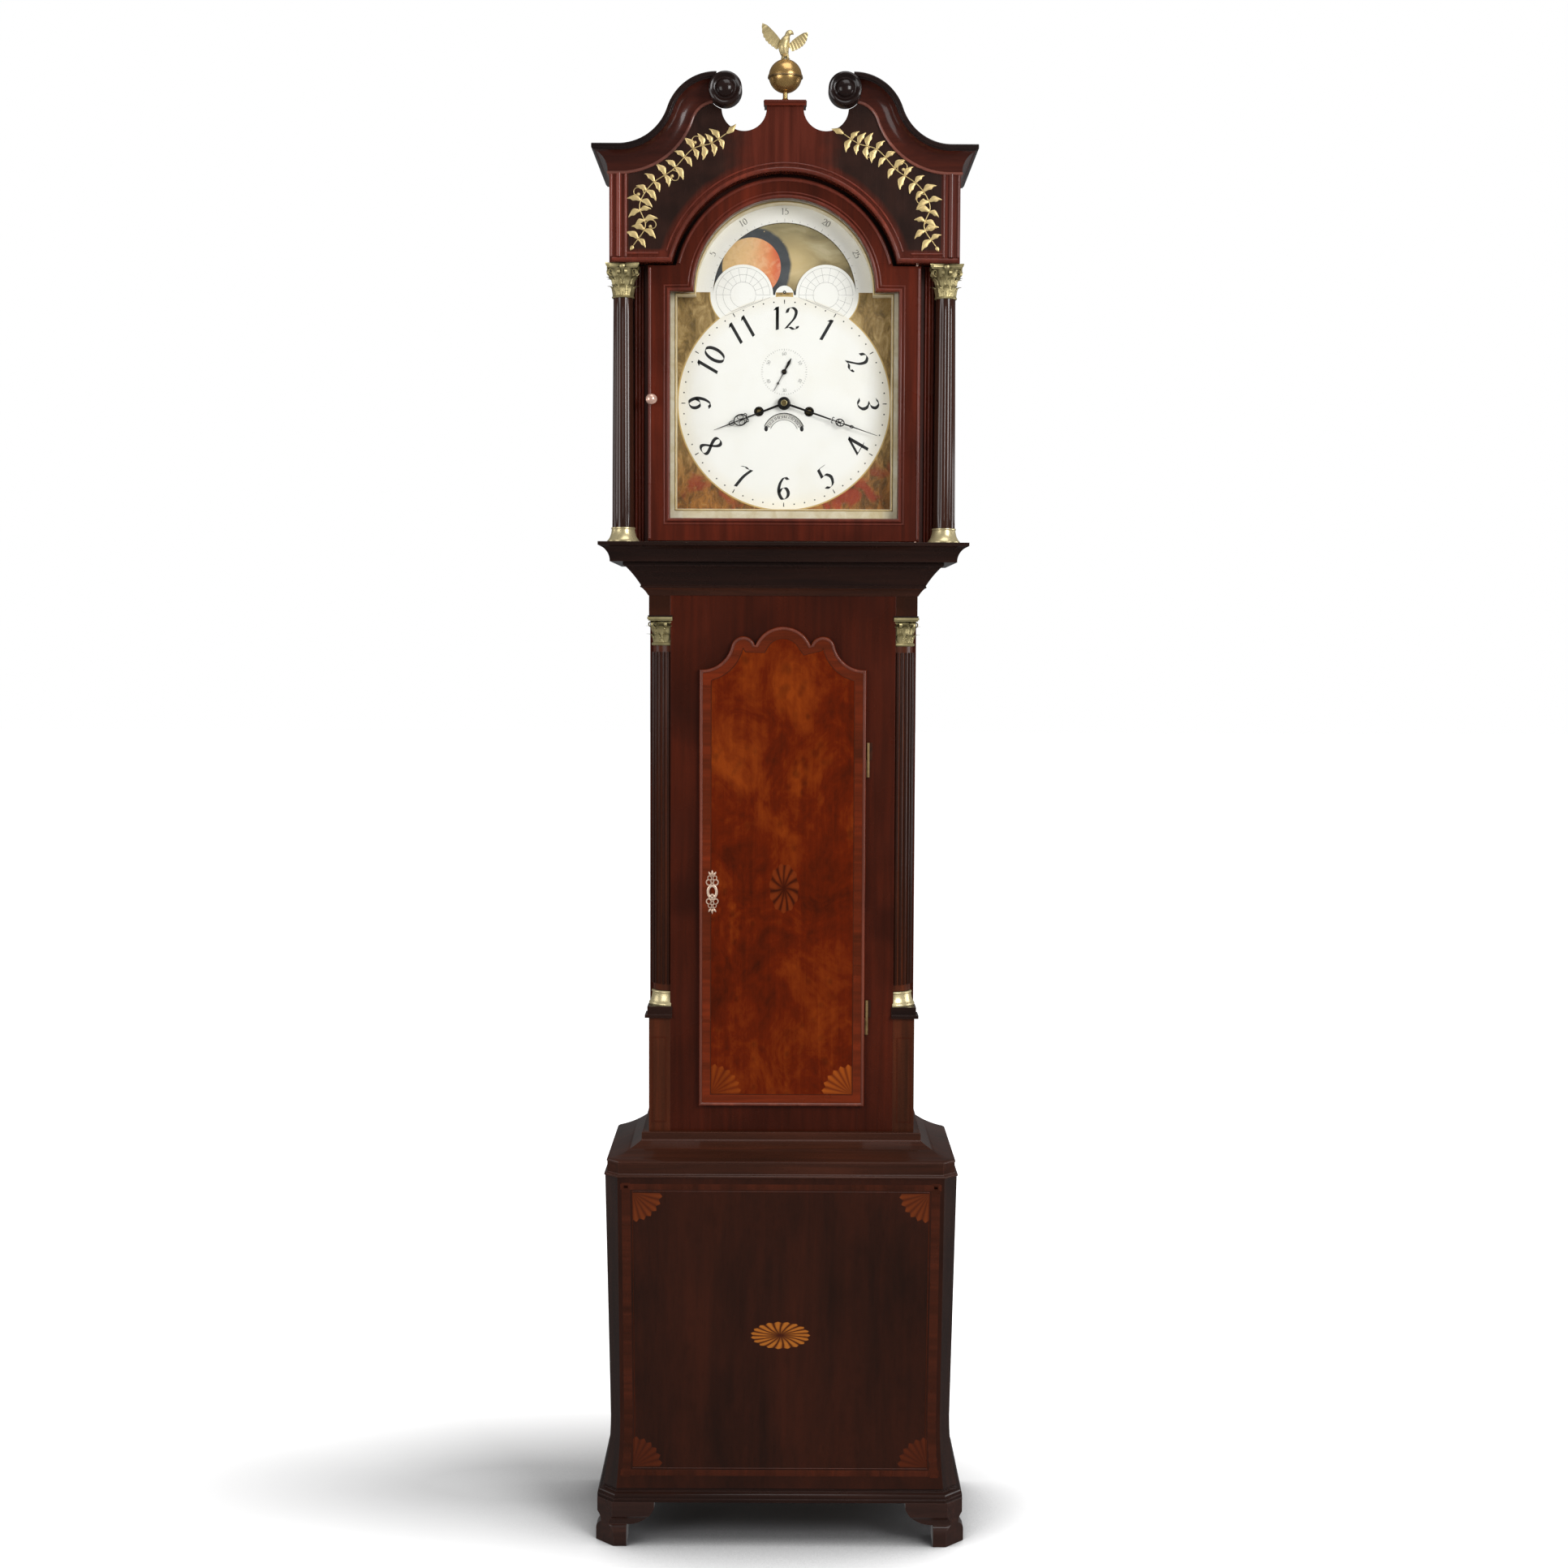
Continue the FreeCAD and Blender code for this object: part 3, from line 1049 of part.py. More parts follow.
def build_dial():
    """Arched dial plate with its apertures, and the moon and date discs behind it."""
    half = dim.dial_width / 2
    outline = arched(half, dial_z - half, dial_z + half, dim.dial_arch_radius)
    sheet_body = panel("dial_sheet", outline, dim.dial_thickness, dial_back)
    before = dial_front - dim.cut_overrun
    after = dial_back + dim.cut_overrun
    window = arbor("moon_window", moon, dim.moon_window_radius, before, after)
    below = board("moon_window_floor", (-half, before, dial_z), (half, after, arch_z))
    humps = [arbor("hump_%d" % index, (x, dim.dial_arch_rise), dim.hump_radius, before, after)
             for index, x in enumerate((-dim.hump_spread, dim.hump_spread))]
    lug = arbor("moon_lug", moon, dim.moon_lug_radius, before, after)
    moon_cut = cut("moon_opening", window, below, lug, *humps)
    slot_centre = (0, -dim.date_drop)
    slot_ring = cut("date_ring_slot", arbor("date_outer", slot_centre, dim.date_slot_radius, before, after),
                    arbor("date_inner", slot_centre, dim.date_slot_radius - dim.date_slot_width, before,
                          after))
    slot_low = dial_z - dim.date_drop + dim.date_slot_drop
    slot_window = board("date_window", (-half, before, slot_low), (half, after, dial_z))
    date_cut = common("date_opening", slot_ring, slot_window)
    holes = [arbor("dial_hole_%d" % index, spot, radius, before, after)
             for index, (spot, radius) in enumerate(((centre, dim.centre_hole_radius),
                                                     (escape, dim.seconds_hole_radius),
                                                     (winding, dim.winding_hole_radius),
                                                     (strike, dim.winding_hole_radius)))]
    plate = cut("dial_plate_cut", sheet_body, moon_cut, date_cut, *holes)
    stud_end = dial_back + dim.disc_gap * 2 + dim.disc_thickness
    studs = []
    for name, spot in (("moon", moon), ("date", date)):
        studs.append(arbor(name + "_stud", spot, dim.disc_stud_radius, dial_back, stud_end))
        studs.append(arbor(name + "_stud_head", spot, dim.disc_stud_head, stud_end,
                           stud_end + dim.disc_thickness))
    node("dial_plate", fuse("dial_plate", plate, *studs))
    disc_front = dial_back + dim.disc_gap
    bore = dim.disc_stud_radius + dim.running_gap
    for name, spot, radius, teeth in (("moon_disc", moon, dim.moon_disc_radius, 118),
                                      ("date_ring", date, dim.date_disc_radius, 62)):
        module = radius * 2 / (teeth + tip_share * 2)
        node(name, gear(name, spot, teeth, module, disc_front, dim.disc_thickness, 0, bore))


def hand(name, spot, angle, gap, length, width, boss, tail=None):
    """A flat hand, drawn upright and turned clockwise to its place."""
    half = width / 2
    slim = half * slim_share
    outline = [(slim, 0), (slim, length * belly_low_share), (half, length * belly_share),
               (slim, length * belly_high_share), (0, length), (-slim, length * belly_high_share),
               (-half, length * belly_share), (-slim, length * belly_low_share), (-slim, 0)]
    if tail:
        outline += [(-slim, -tail), (slim, -tail)]
    body = new_body(name + "_blade")
    padded(body, outline, "XZ_Plane", dim.hand_thickness)
    face = dial_front - gap
    place(body, spot[0], face, dial_z + spot[1], turn((0, 1, 0), angle))
    disc = arbor(name + "_boss", spot, boss, face - dim.hand_thickness, face)
    return fuse(name + "_whole", body, disc)


slim_share = 0.28
belly_low_share = 0.42
belly_share = 0.58
belly_high_share = 0.74


def build_hands():
    pipe = dim.cannon_pipe_radius
    minute = hand("minute_hand", centre, minute_angle, dim.minute_hand_gap, dim.minute_hand_length,
                  dim.minute_hand_width, dim.hand_boss_radius)
    hour = hand("hour_hand", centre, hour_angle, dim.hour_hand_gap, dim.hour_hand_length, dim.hour_hand_width,
                dim.hand_boss_radius)
    second = hand("seconds_hand", escape, seconds_angle, dim.seconds_hand_gap, dim.seconds_hand_length,
                  dim.seconds_hand_width, dim.seconds_boss_radius, dim.seconds_tail_length)
    front = dial_front - dim.minute_hand_gap * 2
    for name, blank, radius in (("minute_hand", minute, pipe), ("hour_hand", hour, dim.hour_pipe_radius),
                                ("seconds_hand", second, dim.pivot_end_radius)):
        spot = escape if name == "seconds_hand" else centre
        node(name, cut(name, blank, arbor(name + "_eye", spot, radius, front, dial_front)))


def build_trains():
    """Going train, motion work and the two drums."""
    def at(plane):
        return movement_front + plane

    great_front = at(dim.great_wheel_plane)
    wheel = dim.wheel_thickness
    pinion_lead = (dim.pinion_length - dim.great_wheel_thickness) / 2
    to_great = facing(centre, winding)
    great_size = great_module
    centre_pinion = gear("centre_pinion", centre, centre_teeth["pinion_teeth"], great_size,
                         great_front - pinion_lead,
                         dim.pinion_length, to_great, gap=True, leaf=pinion_leaf_share)
    centre_front = at(dim.centre_wheel_plane)
    centre_wheel = gear("centre_wheel_disc", centre, centre_teeth["wheel_teeth"], dim.centre_module,
                        centre_front, wheel, facing(centre, third))
    cannon_front = front_plate_front - dim.cannon_plane
    cannon = gear("cannon_wheel", centre, motion_teeth["cannon_teeth"], dim.motion_module, cannon_front,
                  wheel, facing(centre, minute_stud))
    hand_end = dial_front - dim.minute_hand_gap - dim.hand_thickness * 2
    pipe = arbor("cannon_pipe", centre, dim.cannon_pipe_radius, hand_end, front_plate_front - dim.slide_gap)
    stem = arbor("centre_stem", centre, dim.arbor_radius, front_plate_front - dim.cannon_plane,
                 movement_back - dim.slide_gap)
    tail = arbor("centre_tail", centre, dim.pivot_end_radius, movement_front, back_plate_back)
    node("centre_wheel", fuse("centre_wheel", centre_pinion, centre_wheel, cannon, pipe, stem, tail))
    third_lead = (dim.pinion_length - wheel) / 2
    third_pinion = gear("third_pinion", third, third_teeth["pinion_teeth"], dim.centre_module,
                        centre_front - third_lead,
                        dim.pinion_length - third_lead, facing(third, centre), gap=True,
                        leaf=pinion_leaf_share)
    third_front = at(dim.third_wheel_plane)
    third_wheel = gear("third_wheel_disc", third, third_teeth["wheel_teeth"], dim.third_module, third_front,
                       wheel, facing(third, escape))
    node("third_wheel", fuse("third_wheel", third_pinion, third_wheel,
                             *pivoted("third", third, movement_front, movement_back)))
    escape_pinion = gear("escape_pinion", escape, escape_teeth["pinion_teeth"], dim.third_module,
                         third_front - third_lead,
                         dim.pinion_length, facing(escape, third), gap=True, leaf=pinion_leaf_share)
    escape_end = dial_front - dim.seconds_hand_gap - dim.hand_thickness
    nose = arbor("escape_nose", escape, dim.pivot_end_radius, escape_end, movement_front)
    node("escape_wheel", fuse("escape_wheel", escape_pinion, escape_disc(at(dim.escape_wheel_plane)), nose,
                              *pivoted("escape", escape, movement_front, movement_back)[:1],
                              arbor("escape_tail", escape, dim.pivot_end_radius, movement_front,
                                    back_plate_back),
                              arbor("escape_stem", escape, dim.arbor_radius, front_plate_front, movement_back
                                    - dim.slide_gap)))
    loose = dim.drum_arbor_radius + dim.running_gap
    node("great_wheel",
         gear("great_wheel", winding, great_teeth, great_size, great_front, dim.great_wheel_thickness,
                             facing(winding, centre), loose))
    minute_pinion = gear("minute_pinion", minute_stud, motion_teeth["pinion_teeth"], hour_module,
                         front_plate_front - dim.hour_wheel_plane - third_lead, dim.pinion_length,
                         facing(minute_stud, centre), gap=True, leaf=fine_leaf_share)
    minute_disc = gear("minute_disc", minute_stud, motion_teeth["cannon_teeth"], dim.motion_module,
                       cannon_front, wheel, facing(minute_stud, centre), gap=True)
    minute_core = arbor("minute_core", minute_stud, dim.minute_stud_radius,
                        front_plate_front - dim.hour_wheel_plane, front_plate_front)
    node("minute_wheel", fuse("minute_wheel", minute_pinion, minute_disc, minute_core))
    hour_front = front_plate_front - dim.hour_wheel_plane
    hour_disc = gear("hour_disc", centre, motion_teeth["hour_teeth"], hour_module, hour_front, wheel,
                     facing(centre, minute_stud))
    hour_end = dial_front - dim.hour_hand_gap - dim.hand_thickness
    hour_pipe = arbor("hour_pipe", centre, dim.hour_pipe_radius, hour_end, hour_front + wheel)
    core = arbor("hour_bore", centre, dim.cannon_pipe_radius + dim.running_gap, hour_end - dim.cut_overrun,
                 hour_front + wheel + dim.cut_overrun)
    node("hour_wheel", cut("hour_wheel", fuse("hour_blank", hour_disc, hour_pipe), core))
    build_drums(great_front)


def escape_disc(front):
    """Thirty pointed teeth on a thin disc."""
    count = escape_teeth["wheel_teeth"]
    tip = number_of(dim.escape_radius)
    base = tip - number_of(dim.escape_tooth)
    pitch = math.tau / count
    points = []
    for index in range(count):
        for turn_share, radius in ((0, base), (0, tip), (tooth_back_share, base)):
            angle = pitch * (index + turn_share) + math.pi / 2
            points.append(FreeCAD.Vector(radius * math.cos(angle), 0, radius * math.sin(angle)))
    face = Part.Face(Part.makePolygon(points + points[:1]))
    feature = doc.addObject("Part::Feature", "escape_disc")
    feature.Shape = face.extrude(FreeCAD.Vector(0, number_of(dim.wheel_thickness), 0))
    return place(feature, escape[0], front, dial_z + escape[1])


tooth_back_share = 0.45


def build_drums(great_front):
    """Line drums on their winding arbors; the strike drum carries its great wheel."""
    drum_front = movement_front + dim.drum_plane
    drum_back = drum_front + dim.drum_length
    square_half = dim.winding_square / 2
    for name, spot in (("going_drum", winding), ("strike_drum", strike)):
        barrel = arbor(name + "_barrel", spot, dim.drum_radius, drum_front, drum_back)
        rim = dim.drum_radius + dim.drum_flange_height
        flange = arbor(name + "_flange", spot, rim, drum_back, drum_back + dim.drum_flange)
        stem = arbor(name + "_stem", spot, dim.drum_arbor_radius, front_plate_front,
                     movement_back - dim.slide_gap)
        tail = arbor(name + "_tail", spot, dim.pivot_end_radius, movement_front, back_plate_back)
        middle_z = dial_z + spot[1]
        key_end = board(name + "_square", (spot[0] - square_half, dial_front, middle_z - square_half),
                        (spot[0] + square_half, front_plate_front, middle_z + square_half))
        pieces = [barrel, flange, stem, tail, key_end]
        if name == "strike_drum":
            teeth = 84
            pieces.append(gear("strike_great_wheel", spot, teeth, dim.strike_wheel_radius * 2 / teeth,
                               great_front, dim.great_wheel_thickness, 0))
        node(name, fuse(name, *pieces))


def build_pallets():
    """Anchor, crutch, back cock and the pendulum."""
    front = movement_front + dim.escape_wheel_plane - dim.hand_thickness
    back = front + dim.wheel_thickness + dim.hand_thickness * 2
    span = dim.escape_radius + dim.pallet_clearance
    half = dim.pallet_arm_width / 2
    top = pendulum_z + half
    bar = board("anchor_bar", (-span - dim.pallet_arm_width, front, pendulum_z - half),
                (span + dim.pallet_arm_width, back, top))
    foot = dial_z + dim.seconds_rise
    arms = [board("anchor_arm_%d" % index, (low, front, foot), (low + dim.pallet_arm_width, back, top))
            for index, low in enumerate((-span - dim.pallet_arm_width, span))]
    crutch_front = back_plate_back + dim.crutch_gap
    crutch_back = crutch_front + dim.wheel_thickness
    stem = arbor("anchor_stem", pallet, dim.arbor_radius, movement_front + dim.slide_gap, crutch_back)
    nose = arbor("anchor_nose", pallet, dim.pivot_end_radius, front_plate_front, movement_back)
    crutch_low = pendulum_z - dim.crutch_length
    crutch = board("crutch", (-dim.crutch_width / 2, crutch_front, crutch_low),
                   (dim.crutch_width / 2, crutch_back, pendulum_z + half))
    offset = dim.rod_radius + dim.crutch_side_gap + dim.crutch_pin_radius
    foot_bar = board("crutch_bar", (-offset - dim.crutch_pin_radius, crutch_front, crutch_low),
                     (offset + dim.crutch_pin_radius, crutch_back, crutch_low + dim.crutch_width))
    pins = [rod("crutch_pin_%d" % index, dim.crutch_pin_radius,
                (x, crutch_front, crutch_low + dim.crutch_width / 2),
                pendulum_y + dim.rod_radius - crutch_front) for index, x in enumerate((-offset, offset))]
    node("pallet_anchor", fuse("pallet_anchor", bar, *arms, stem, nose, crutch, foot_bar, *pins))
    cock_low = pendulum_z + dim.cock_gap
    arm = board("cock_arm", (-dim.cock_width / 2, back_plate_back, cock_low),
                (dim.cock_width / 2, back_plate_back + dim.cock_reach, cock_low + dim.cock_height))
    cock_foot = board("cock_foot", (-dim.cock_foot_width / 2, back_plate_back, cock_low + dim.arbor_radius),
                      (dim.cock_foot_width / 2, back_plate_back + dim.plate_sheet,
                       cock_low + dim.cock_foot_height))
    relief = arbor("cock_relief", pallet, dim.arbor_radius + dim.fit_gap, movement_back,
                   crutch_back + dim.fit_gap)
    crutch_room = board("cock_crutch_room", (-dim.crutch_width, crutch_front - dim.fit_gap, pendulum_z),
                        (dim.crutch_width, crutch_back + dim.fit_gap, pendulum_z + dim.pallet_arm_width))
    node("back_cock", cut("back_cock", fuse("cock_blank", arm, cock_foot), relief, crutch_room))
    build_pendulum()


def build_pendulum():
    """Suspension strip, rod, rating nut and lens-shaped bob."""
    wide = dim.suspension_width / 2
    thin = dim.suspension_thickness / 2
    strip_foot = pendulum_z - dim.suspension_length
    strip = board("suspension_strip", (-wide, pendulum_y - thin, strip_foot),
                  (wide, pendulum_y + thin, pendulum_z))
    bob_z = pendulum_z - dim.pendulum_length
    rod_foot = bob_z - dim.bob_radius - dim.rod_tail
    shaft = rod("pendulum_shaft", dim.rod_radius, (0, pendulum_y, rod_foot), strip_foot + wide - rod_foot,
                "z")
    nut_top = bob_z - dim.bob_radius
    nut = rod("rating_nut", dim.rating_nut_radius, (0, pendulum_y, nut_top - dim.rating_nut_height),
              dim.rating_nut_height, "z")
    node("pendulum_rod", fuse("pendulum_rod", strip, shaft, nut))
    half = dim.bob_thickness / 2
    edge = half * rim_share
    bulge = half - edge
    lens_radius = (dim.bob_radius * dim.bob_radius + bulge * bulge) / (bulge * 2)
    profile = [(0, -half, lens_radius), (dim.bob_radius, -edge), (dim.bob_radius, edge, lens_radius),
               (0, half)]
    lens = turned("bob_lens", profile, 0, pendulum_y, bob_z, turn((1, 0, 0), 90))
    bore = rod("bob_bore", dim.rod_radius + dim.running_gap, (0, pendulum_y, bob_z - dim.bob_radius * 2),
               dim.bob_radius * 4, "z")
    seat = board("bob_seat",
                 (-dim.rating_nut_radius, pendulum_y - dim.rating_nut_radius, nut_top - dim.bob_radius),
                 (dim.rating_nut_radius, pendulum_y + dim.rating_nut_radius, nut_top))
    node("pendulum_bob", cut("pendulum_bob", lens, bore, seat))


rim_share = 0.1


def build_bell():
    """Bell over the movement, its strap from the back plate, and the hammer."""
    y = line_y
    top = dial_z + dim.bell_rise
    wall = dim.bell_wall
    radius = dim.bell_radius
    height = dim.bell_height
    crown = radius * crown_share
    profile = [(0, 0), (crown, 0, height * 2), (radius, -height), (radius - wall, -height, -height * 2),
               (crown - wall, -wall), (0, -wall)]
    profile = [(r, z) + tuple(-bend for bend in rest) for r, z, *rest in profile]
    node("bell", turned("bell", profile, 0, y, top))
    strap_half = dim.bell_strap_width / 2
    plate_top = seat_top + dim.plate_tall
    strap_back = back_plate_back + dim.bell_strap_thickness
    arm_low = top + dim.bell_stand_gap
    upright = board("bell_upright", (-strap_half, back_plate_back, plate_top - dim.bell_strap_foot),
                    (strap_half, strap_back, arm_low + dim.bell_strap_thickness))
    arm = board("bell_arm", (-strap_half, y - strap_half, arm_low),
                (strap_half, strap_back, arm_low + dim.bell_strap_thickness))
    screw = rod("bell_screw", dim.bell_screw_radius, (0, y, top),
                dim.bell_stand_gap + dim.bell_strap_thickness, "z")
    node("bell_stand", fuse("bell_stand", upright, arm, screw))
    half = dim.hammer_arm_width / 2
    pivot_level = dial_z + dim.hammer_rise
    x = -dim.hammer_spread
    arm_top = pivot_level + dim.hammer_arm
    lever = board("hammer_lever", (x - half, y - half, pivot_level), (x + half, y + half, arm_top))
    head = rod("hammer_head", dim.hammer_head_radius, (x - dim.hammer_head_length / 2, y, arm_top),
               dim.hammer_head_length, "x")
    node("bell_hammer",
         fuse("bell_hammer", lever, head, *pivoted("hammer", hammer, movement_front, movement_back)))


crown_share = 0.55


def build_weights():
    """Two cylinder weights on pulleys, with the lines that carry them."""
    top = seat_bottom - dim.weight_top_drop
    pulley_z = top + dim.hanger_gap + dim.pulley_radius
    half = dim.hanger_width / 2
    for name, sign in (("going", 1), ("strike", -1)):
        x = weight_x * sign
        lump = turned(name + "_lump", [(0, 0), (dim.weight_radius, 0), (dim.weight_radius, dim.weight_height),
                                       (0, dim.weight_height)], x, line_y, top - dim.weight_height)
        pulley = rod(name + "_pulley", dim.pulley_radius, (x, line_y - dim.pulley_width / 2, pulley_z),
                     dim.pulley_width)
        hanger = board(name + "_hanger", (x - half, line_y - dim.pulley_width, top - half),
                       (x + half, line_y + dim.pulley_width, pulley_z))
        node(name + "_weight", fuse(name + "_weight", lump, pulley, hanger))
        strands = [rod("%s_strand_%d" % (name, index), dim.line_radius, (place_x * sign, line_y, pulley_z),
                       line_top - pulley_z, "z")
                   for index, place_x in enumerate(line_places)]
        node(name + "_line", group(name + "_line", *strands))


def check_and_write():
    """Stop on any failed object, then write each sub-part."""
    doc.recompute()
    for thing in doc.Objects:
        if "Invalid" in thing.State or "Error" in thing.State:
            raise RuntimeError("failed: %s %s" % (thing.Label, thing.State))
    for name, thing in nodes.items():
        shape = thing.Shape
        if shape.isNull() or not shape.isValid() or not shape.Solids:
            raise RuntimeError("bad shape: %s" % name)
    os.makedirs("parts", exist_ok=True)
    for name, thing in nodes.items():
        thing.Shape.exportStep("parts/%s.step" % name)
    print(len(nodes), "nodes", sum(len(thing.Shape.Solids) for thing in nodes.values()), "solids")


build_base()
build_mouldings()
build_trunk()
build_trunk_door()
build_hood()
build_hood_door()
build_plates()
build_dial()
build_hands()
build_trains()
build_pallets()
build_bell()
build_weights()
check_and_write()
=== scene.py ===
import json
import math
import bmesh
import bpy
import numpy as np
from mathutils import Matrix, Vector

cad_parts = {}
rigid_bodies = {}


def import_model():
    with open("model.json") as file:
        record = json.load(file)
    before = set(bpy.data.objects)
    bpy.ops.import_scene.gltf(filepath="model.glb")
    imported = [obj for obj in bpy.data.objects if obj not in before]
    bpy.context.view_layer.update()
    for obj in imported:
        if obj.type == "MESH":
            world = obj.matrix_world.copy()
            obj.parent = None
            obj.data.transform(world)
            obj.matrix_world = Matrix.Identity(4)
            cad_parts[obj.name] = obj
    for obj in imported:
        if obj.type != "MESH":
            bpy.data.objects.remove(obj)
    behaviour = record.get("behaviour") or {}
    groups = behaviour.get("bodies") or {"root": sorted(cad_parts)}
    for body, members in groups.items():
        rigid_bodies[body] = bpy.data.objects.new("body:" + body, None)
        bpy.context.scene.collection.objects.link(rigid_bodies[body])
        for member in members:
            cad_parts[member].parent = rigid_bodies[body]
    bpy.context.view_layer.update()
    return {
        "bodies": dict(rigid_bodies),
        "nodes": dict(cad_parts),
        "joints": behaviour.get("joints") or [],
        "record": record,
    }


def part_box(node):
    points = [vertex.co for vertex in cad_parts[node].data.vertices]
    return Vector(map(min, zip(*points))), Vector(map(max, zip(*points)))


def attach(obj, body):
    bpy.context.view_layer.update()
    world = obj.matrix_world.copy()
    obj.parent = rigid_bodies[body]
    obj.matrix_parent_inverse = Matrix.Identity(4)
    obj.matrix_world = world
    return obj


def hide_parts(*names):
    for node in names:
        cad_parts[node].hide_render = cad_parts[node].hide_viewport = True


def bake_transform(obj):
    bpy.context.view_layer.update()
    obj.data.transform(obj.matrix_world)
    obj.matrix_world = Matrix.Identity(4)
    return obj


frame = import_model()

nodes = frame["nodes"]


def edge(nodeName, axis, end):  # one side of a node's box, end 0 is low and 1 is high
    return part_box(nodeName)[end][axis]


def middleOf(nodeName, axis):
    return (edge(nodeName, axis, 0) + edge(nodeName, axis, 1)) / 2


dialFront = edge("dial_plate", 1, 0)
dialCentre = middleOf("hour_wheel", 2)
archCentre = middleOf("moon_disc", 2)
friezeFront = edge("pediment_board", 1, 0)
friezeBottom = edge("pediment_board", 2, 0)
friezeHalf = edge("pediment_board", 0, 1)
corniceTop = edge("cornice_returns", 2, 1)
doorFront = edge("hood_door_frame", 1, 0)
sillTop = edge("hood_sill_frame", 2, 1)
trunkFront = edge("trunk_front_frame", 1, 0)
baseTop = edge("base_front_panel", 2, 1)
baseBottom = edge("base_front_panel", 2, 0)
print("frame read")


def isSocket(value):
    return hasattr(value, "is_output")


def treeOf(*values):  # the node tree of the first socket among the values
    return next(value.id_data for value in values if isSocket(value))


def join(socket, value):  # link a socket, or set a constant, with full alpha on a colour
    if isSocket(value):
        socket.id_data.links.new(value, socket)
    else:
        socket.default_value = (*value, 1) if socket.type == "RGBA" else value


def feed(made, **inputs):
    for key, value in inputs.items():
        join(made.inputs[key.replace("_", " ")], value)


def put(tree, kind, settings=None, **inputs):
    made = tree.nodes.new(kind)
    for key, value in (settings or {}).items():
        setattr(made, key, value)
    feed(made, **inputs)
    return made


def calc(operation, *values):
    made = treeOf(*values).nodes.new("ShaderNodeMath")
    made.operation = operation
    for socket, value in zip(made.inputs, values):
        join(socket, value)
    return made.outputs[0]


def plus(total, *others):
    for value in others:
        total = calc("ADD", total, value)
    return total


def times(total, *others):
    for value in others:
        total = calc("MULTIPLY", total, value)
    return total


def minus(first, second):
    return calc("SUBTRACT", first, second)


def size(value):
    return calc("ABSOLUTE", value)


def distance(run, rise):
    return calc("SQRT", plus(times(run, run), times(rise, rise)))


def blendTones(share, first, second):
    made = treeOf(share, first, second).nodes.new("ShaderNodeMix")
    made.data_type = "RGBA"
    for index, value in ((0, share), (6, first), (7, second)):
        join(made.inputs[index], value)
    return made.outputs[2]


def ramp(value, *stops):
    made = put(treeOf(value), "ShaderNodeValToRGB", Fac=value)
    elements = made.color_ramp.elements
    while len(elements) < len(stops):
        elements.new(0.5)
    for element, (spot, tone) in zip(elements, stops):
        element.position = spot
        element.color = (*tone, 1)
    return made.outputs["Color"]


def step(value, low, high):  # 0 below low, 1 above high, a straight line between
    made = put(treeOf(value), "ShaderNodeMapRange", Value=value, From_Min=low, From_Max=high)
    return made.outputs["Result"]


def place(tree, stretch=(1, 1, 1), turn=(0, 0, 0), shift=(0, 0, 0)):
    spot = tree.nodes.new("ShaderNodeTexCoord").outputs["Object"]
    return put(tree, "ShaderNodeMapping", Vector=spot, Scale=stretch, Rotation=turn, Location=shift).outputs[0]


def spotOf(tree, **mapping):  # the x, y and z of a point on the piece
    return put(tree, "ShaderNodeSeparateXYZ", Vector=place(tree, **mapping)).outputs


def cloud(tree, scale, detail=4, rough=0.5, warp=0, **mapping):
    made = put(tree, "ShaderNodeTexNoise", Vector=place(tree, **mapping), Scale=scale, Detail=detail,
               Roughness=rough, Distortion=warp)
    return made.outputs["Fac"]


def cells(tree, feature, scale, **mapping):
    made = put(tree, "ShaderNodeTexVoronoi", {"feature": feature}, Vector=place(tree, **mapping), Scale=scale)
    return made.outputs["Distance"]


def openness(tree, samples, reach):  # 1 in the open, falling to 0 in a crevice
    return put(tree, "ShaderNodeAmbientOcclusion", {"samples": samples}, Distance=reach).outputs["AO"]


def dim(tone, share):
    return tuple(part * share for part in tone)


def newFinish(name):
    finish = bpy.data.materials.new(name)
    finish.use_nodes = True
    tree = finish.node_tree
    shader = next(item for item in tree.nodes if item.type == "BSDF_PRINCIPLED")
    return finish, tree, shader


def relief(shader, height, depth, rounded=None):  # a small bump from any grey value, over a rounded edge if given
    bump = put(shader.id_data, "ShaderNodeBump", Height=height, Strength=0.6, Distance=depth)
    if rounded:
        join(bump.inputs["Normal"], rounded)
    join(shader.inputs["Normal"], bump.outputs["Normal"])


def rubbedEdge(tree, radius):  # the normal rounded over edges, and 1 on a sharp edge falling to 0 on a flat
    rounded = put(tree, "ShaderNodeBevel", {"samples": 4}, Radius=radius).outputs["Normal"]
    match = put(tree, "ShaderNodeVectorMath", {"operation": "DOT_PRODUCT"})
    join(match.inputs[0], rounded)
    join(match.inputs[1], tree.nodes.new("ShaderNodeNewGeometry").outputs["Normal"])
    return rounded, step(match.outputs["Value"], 0.985, 0.88)


def slowShade(tree):  # broad soft patches where old polish has darkened
    return times(step(cloud(tree, 6, 2, 0.5, 0.5), 0.44, 0.68), 0.6)


def upperShade(tree):  # dark above the trunk's capitals
    return times(step(spotOf(tree)[2], 1.37, 1.42), 0.85)


grainTurns = {"z": (1, 1, 0.05), "x": (0.05, 1, 1), "y": (1, 0.05, 1)}


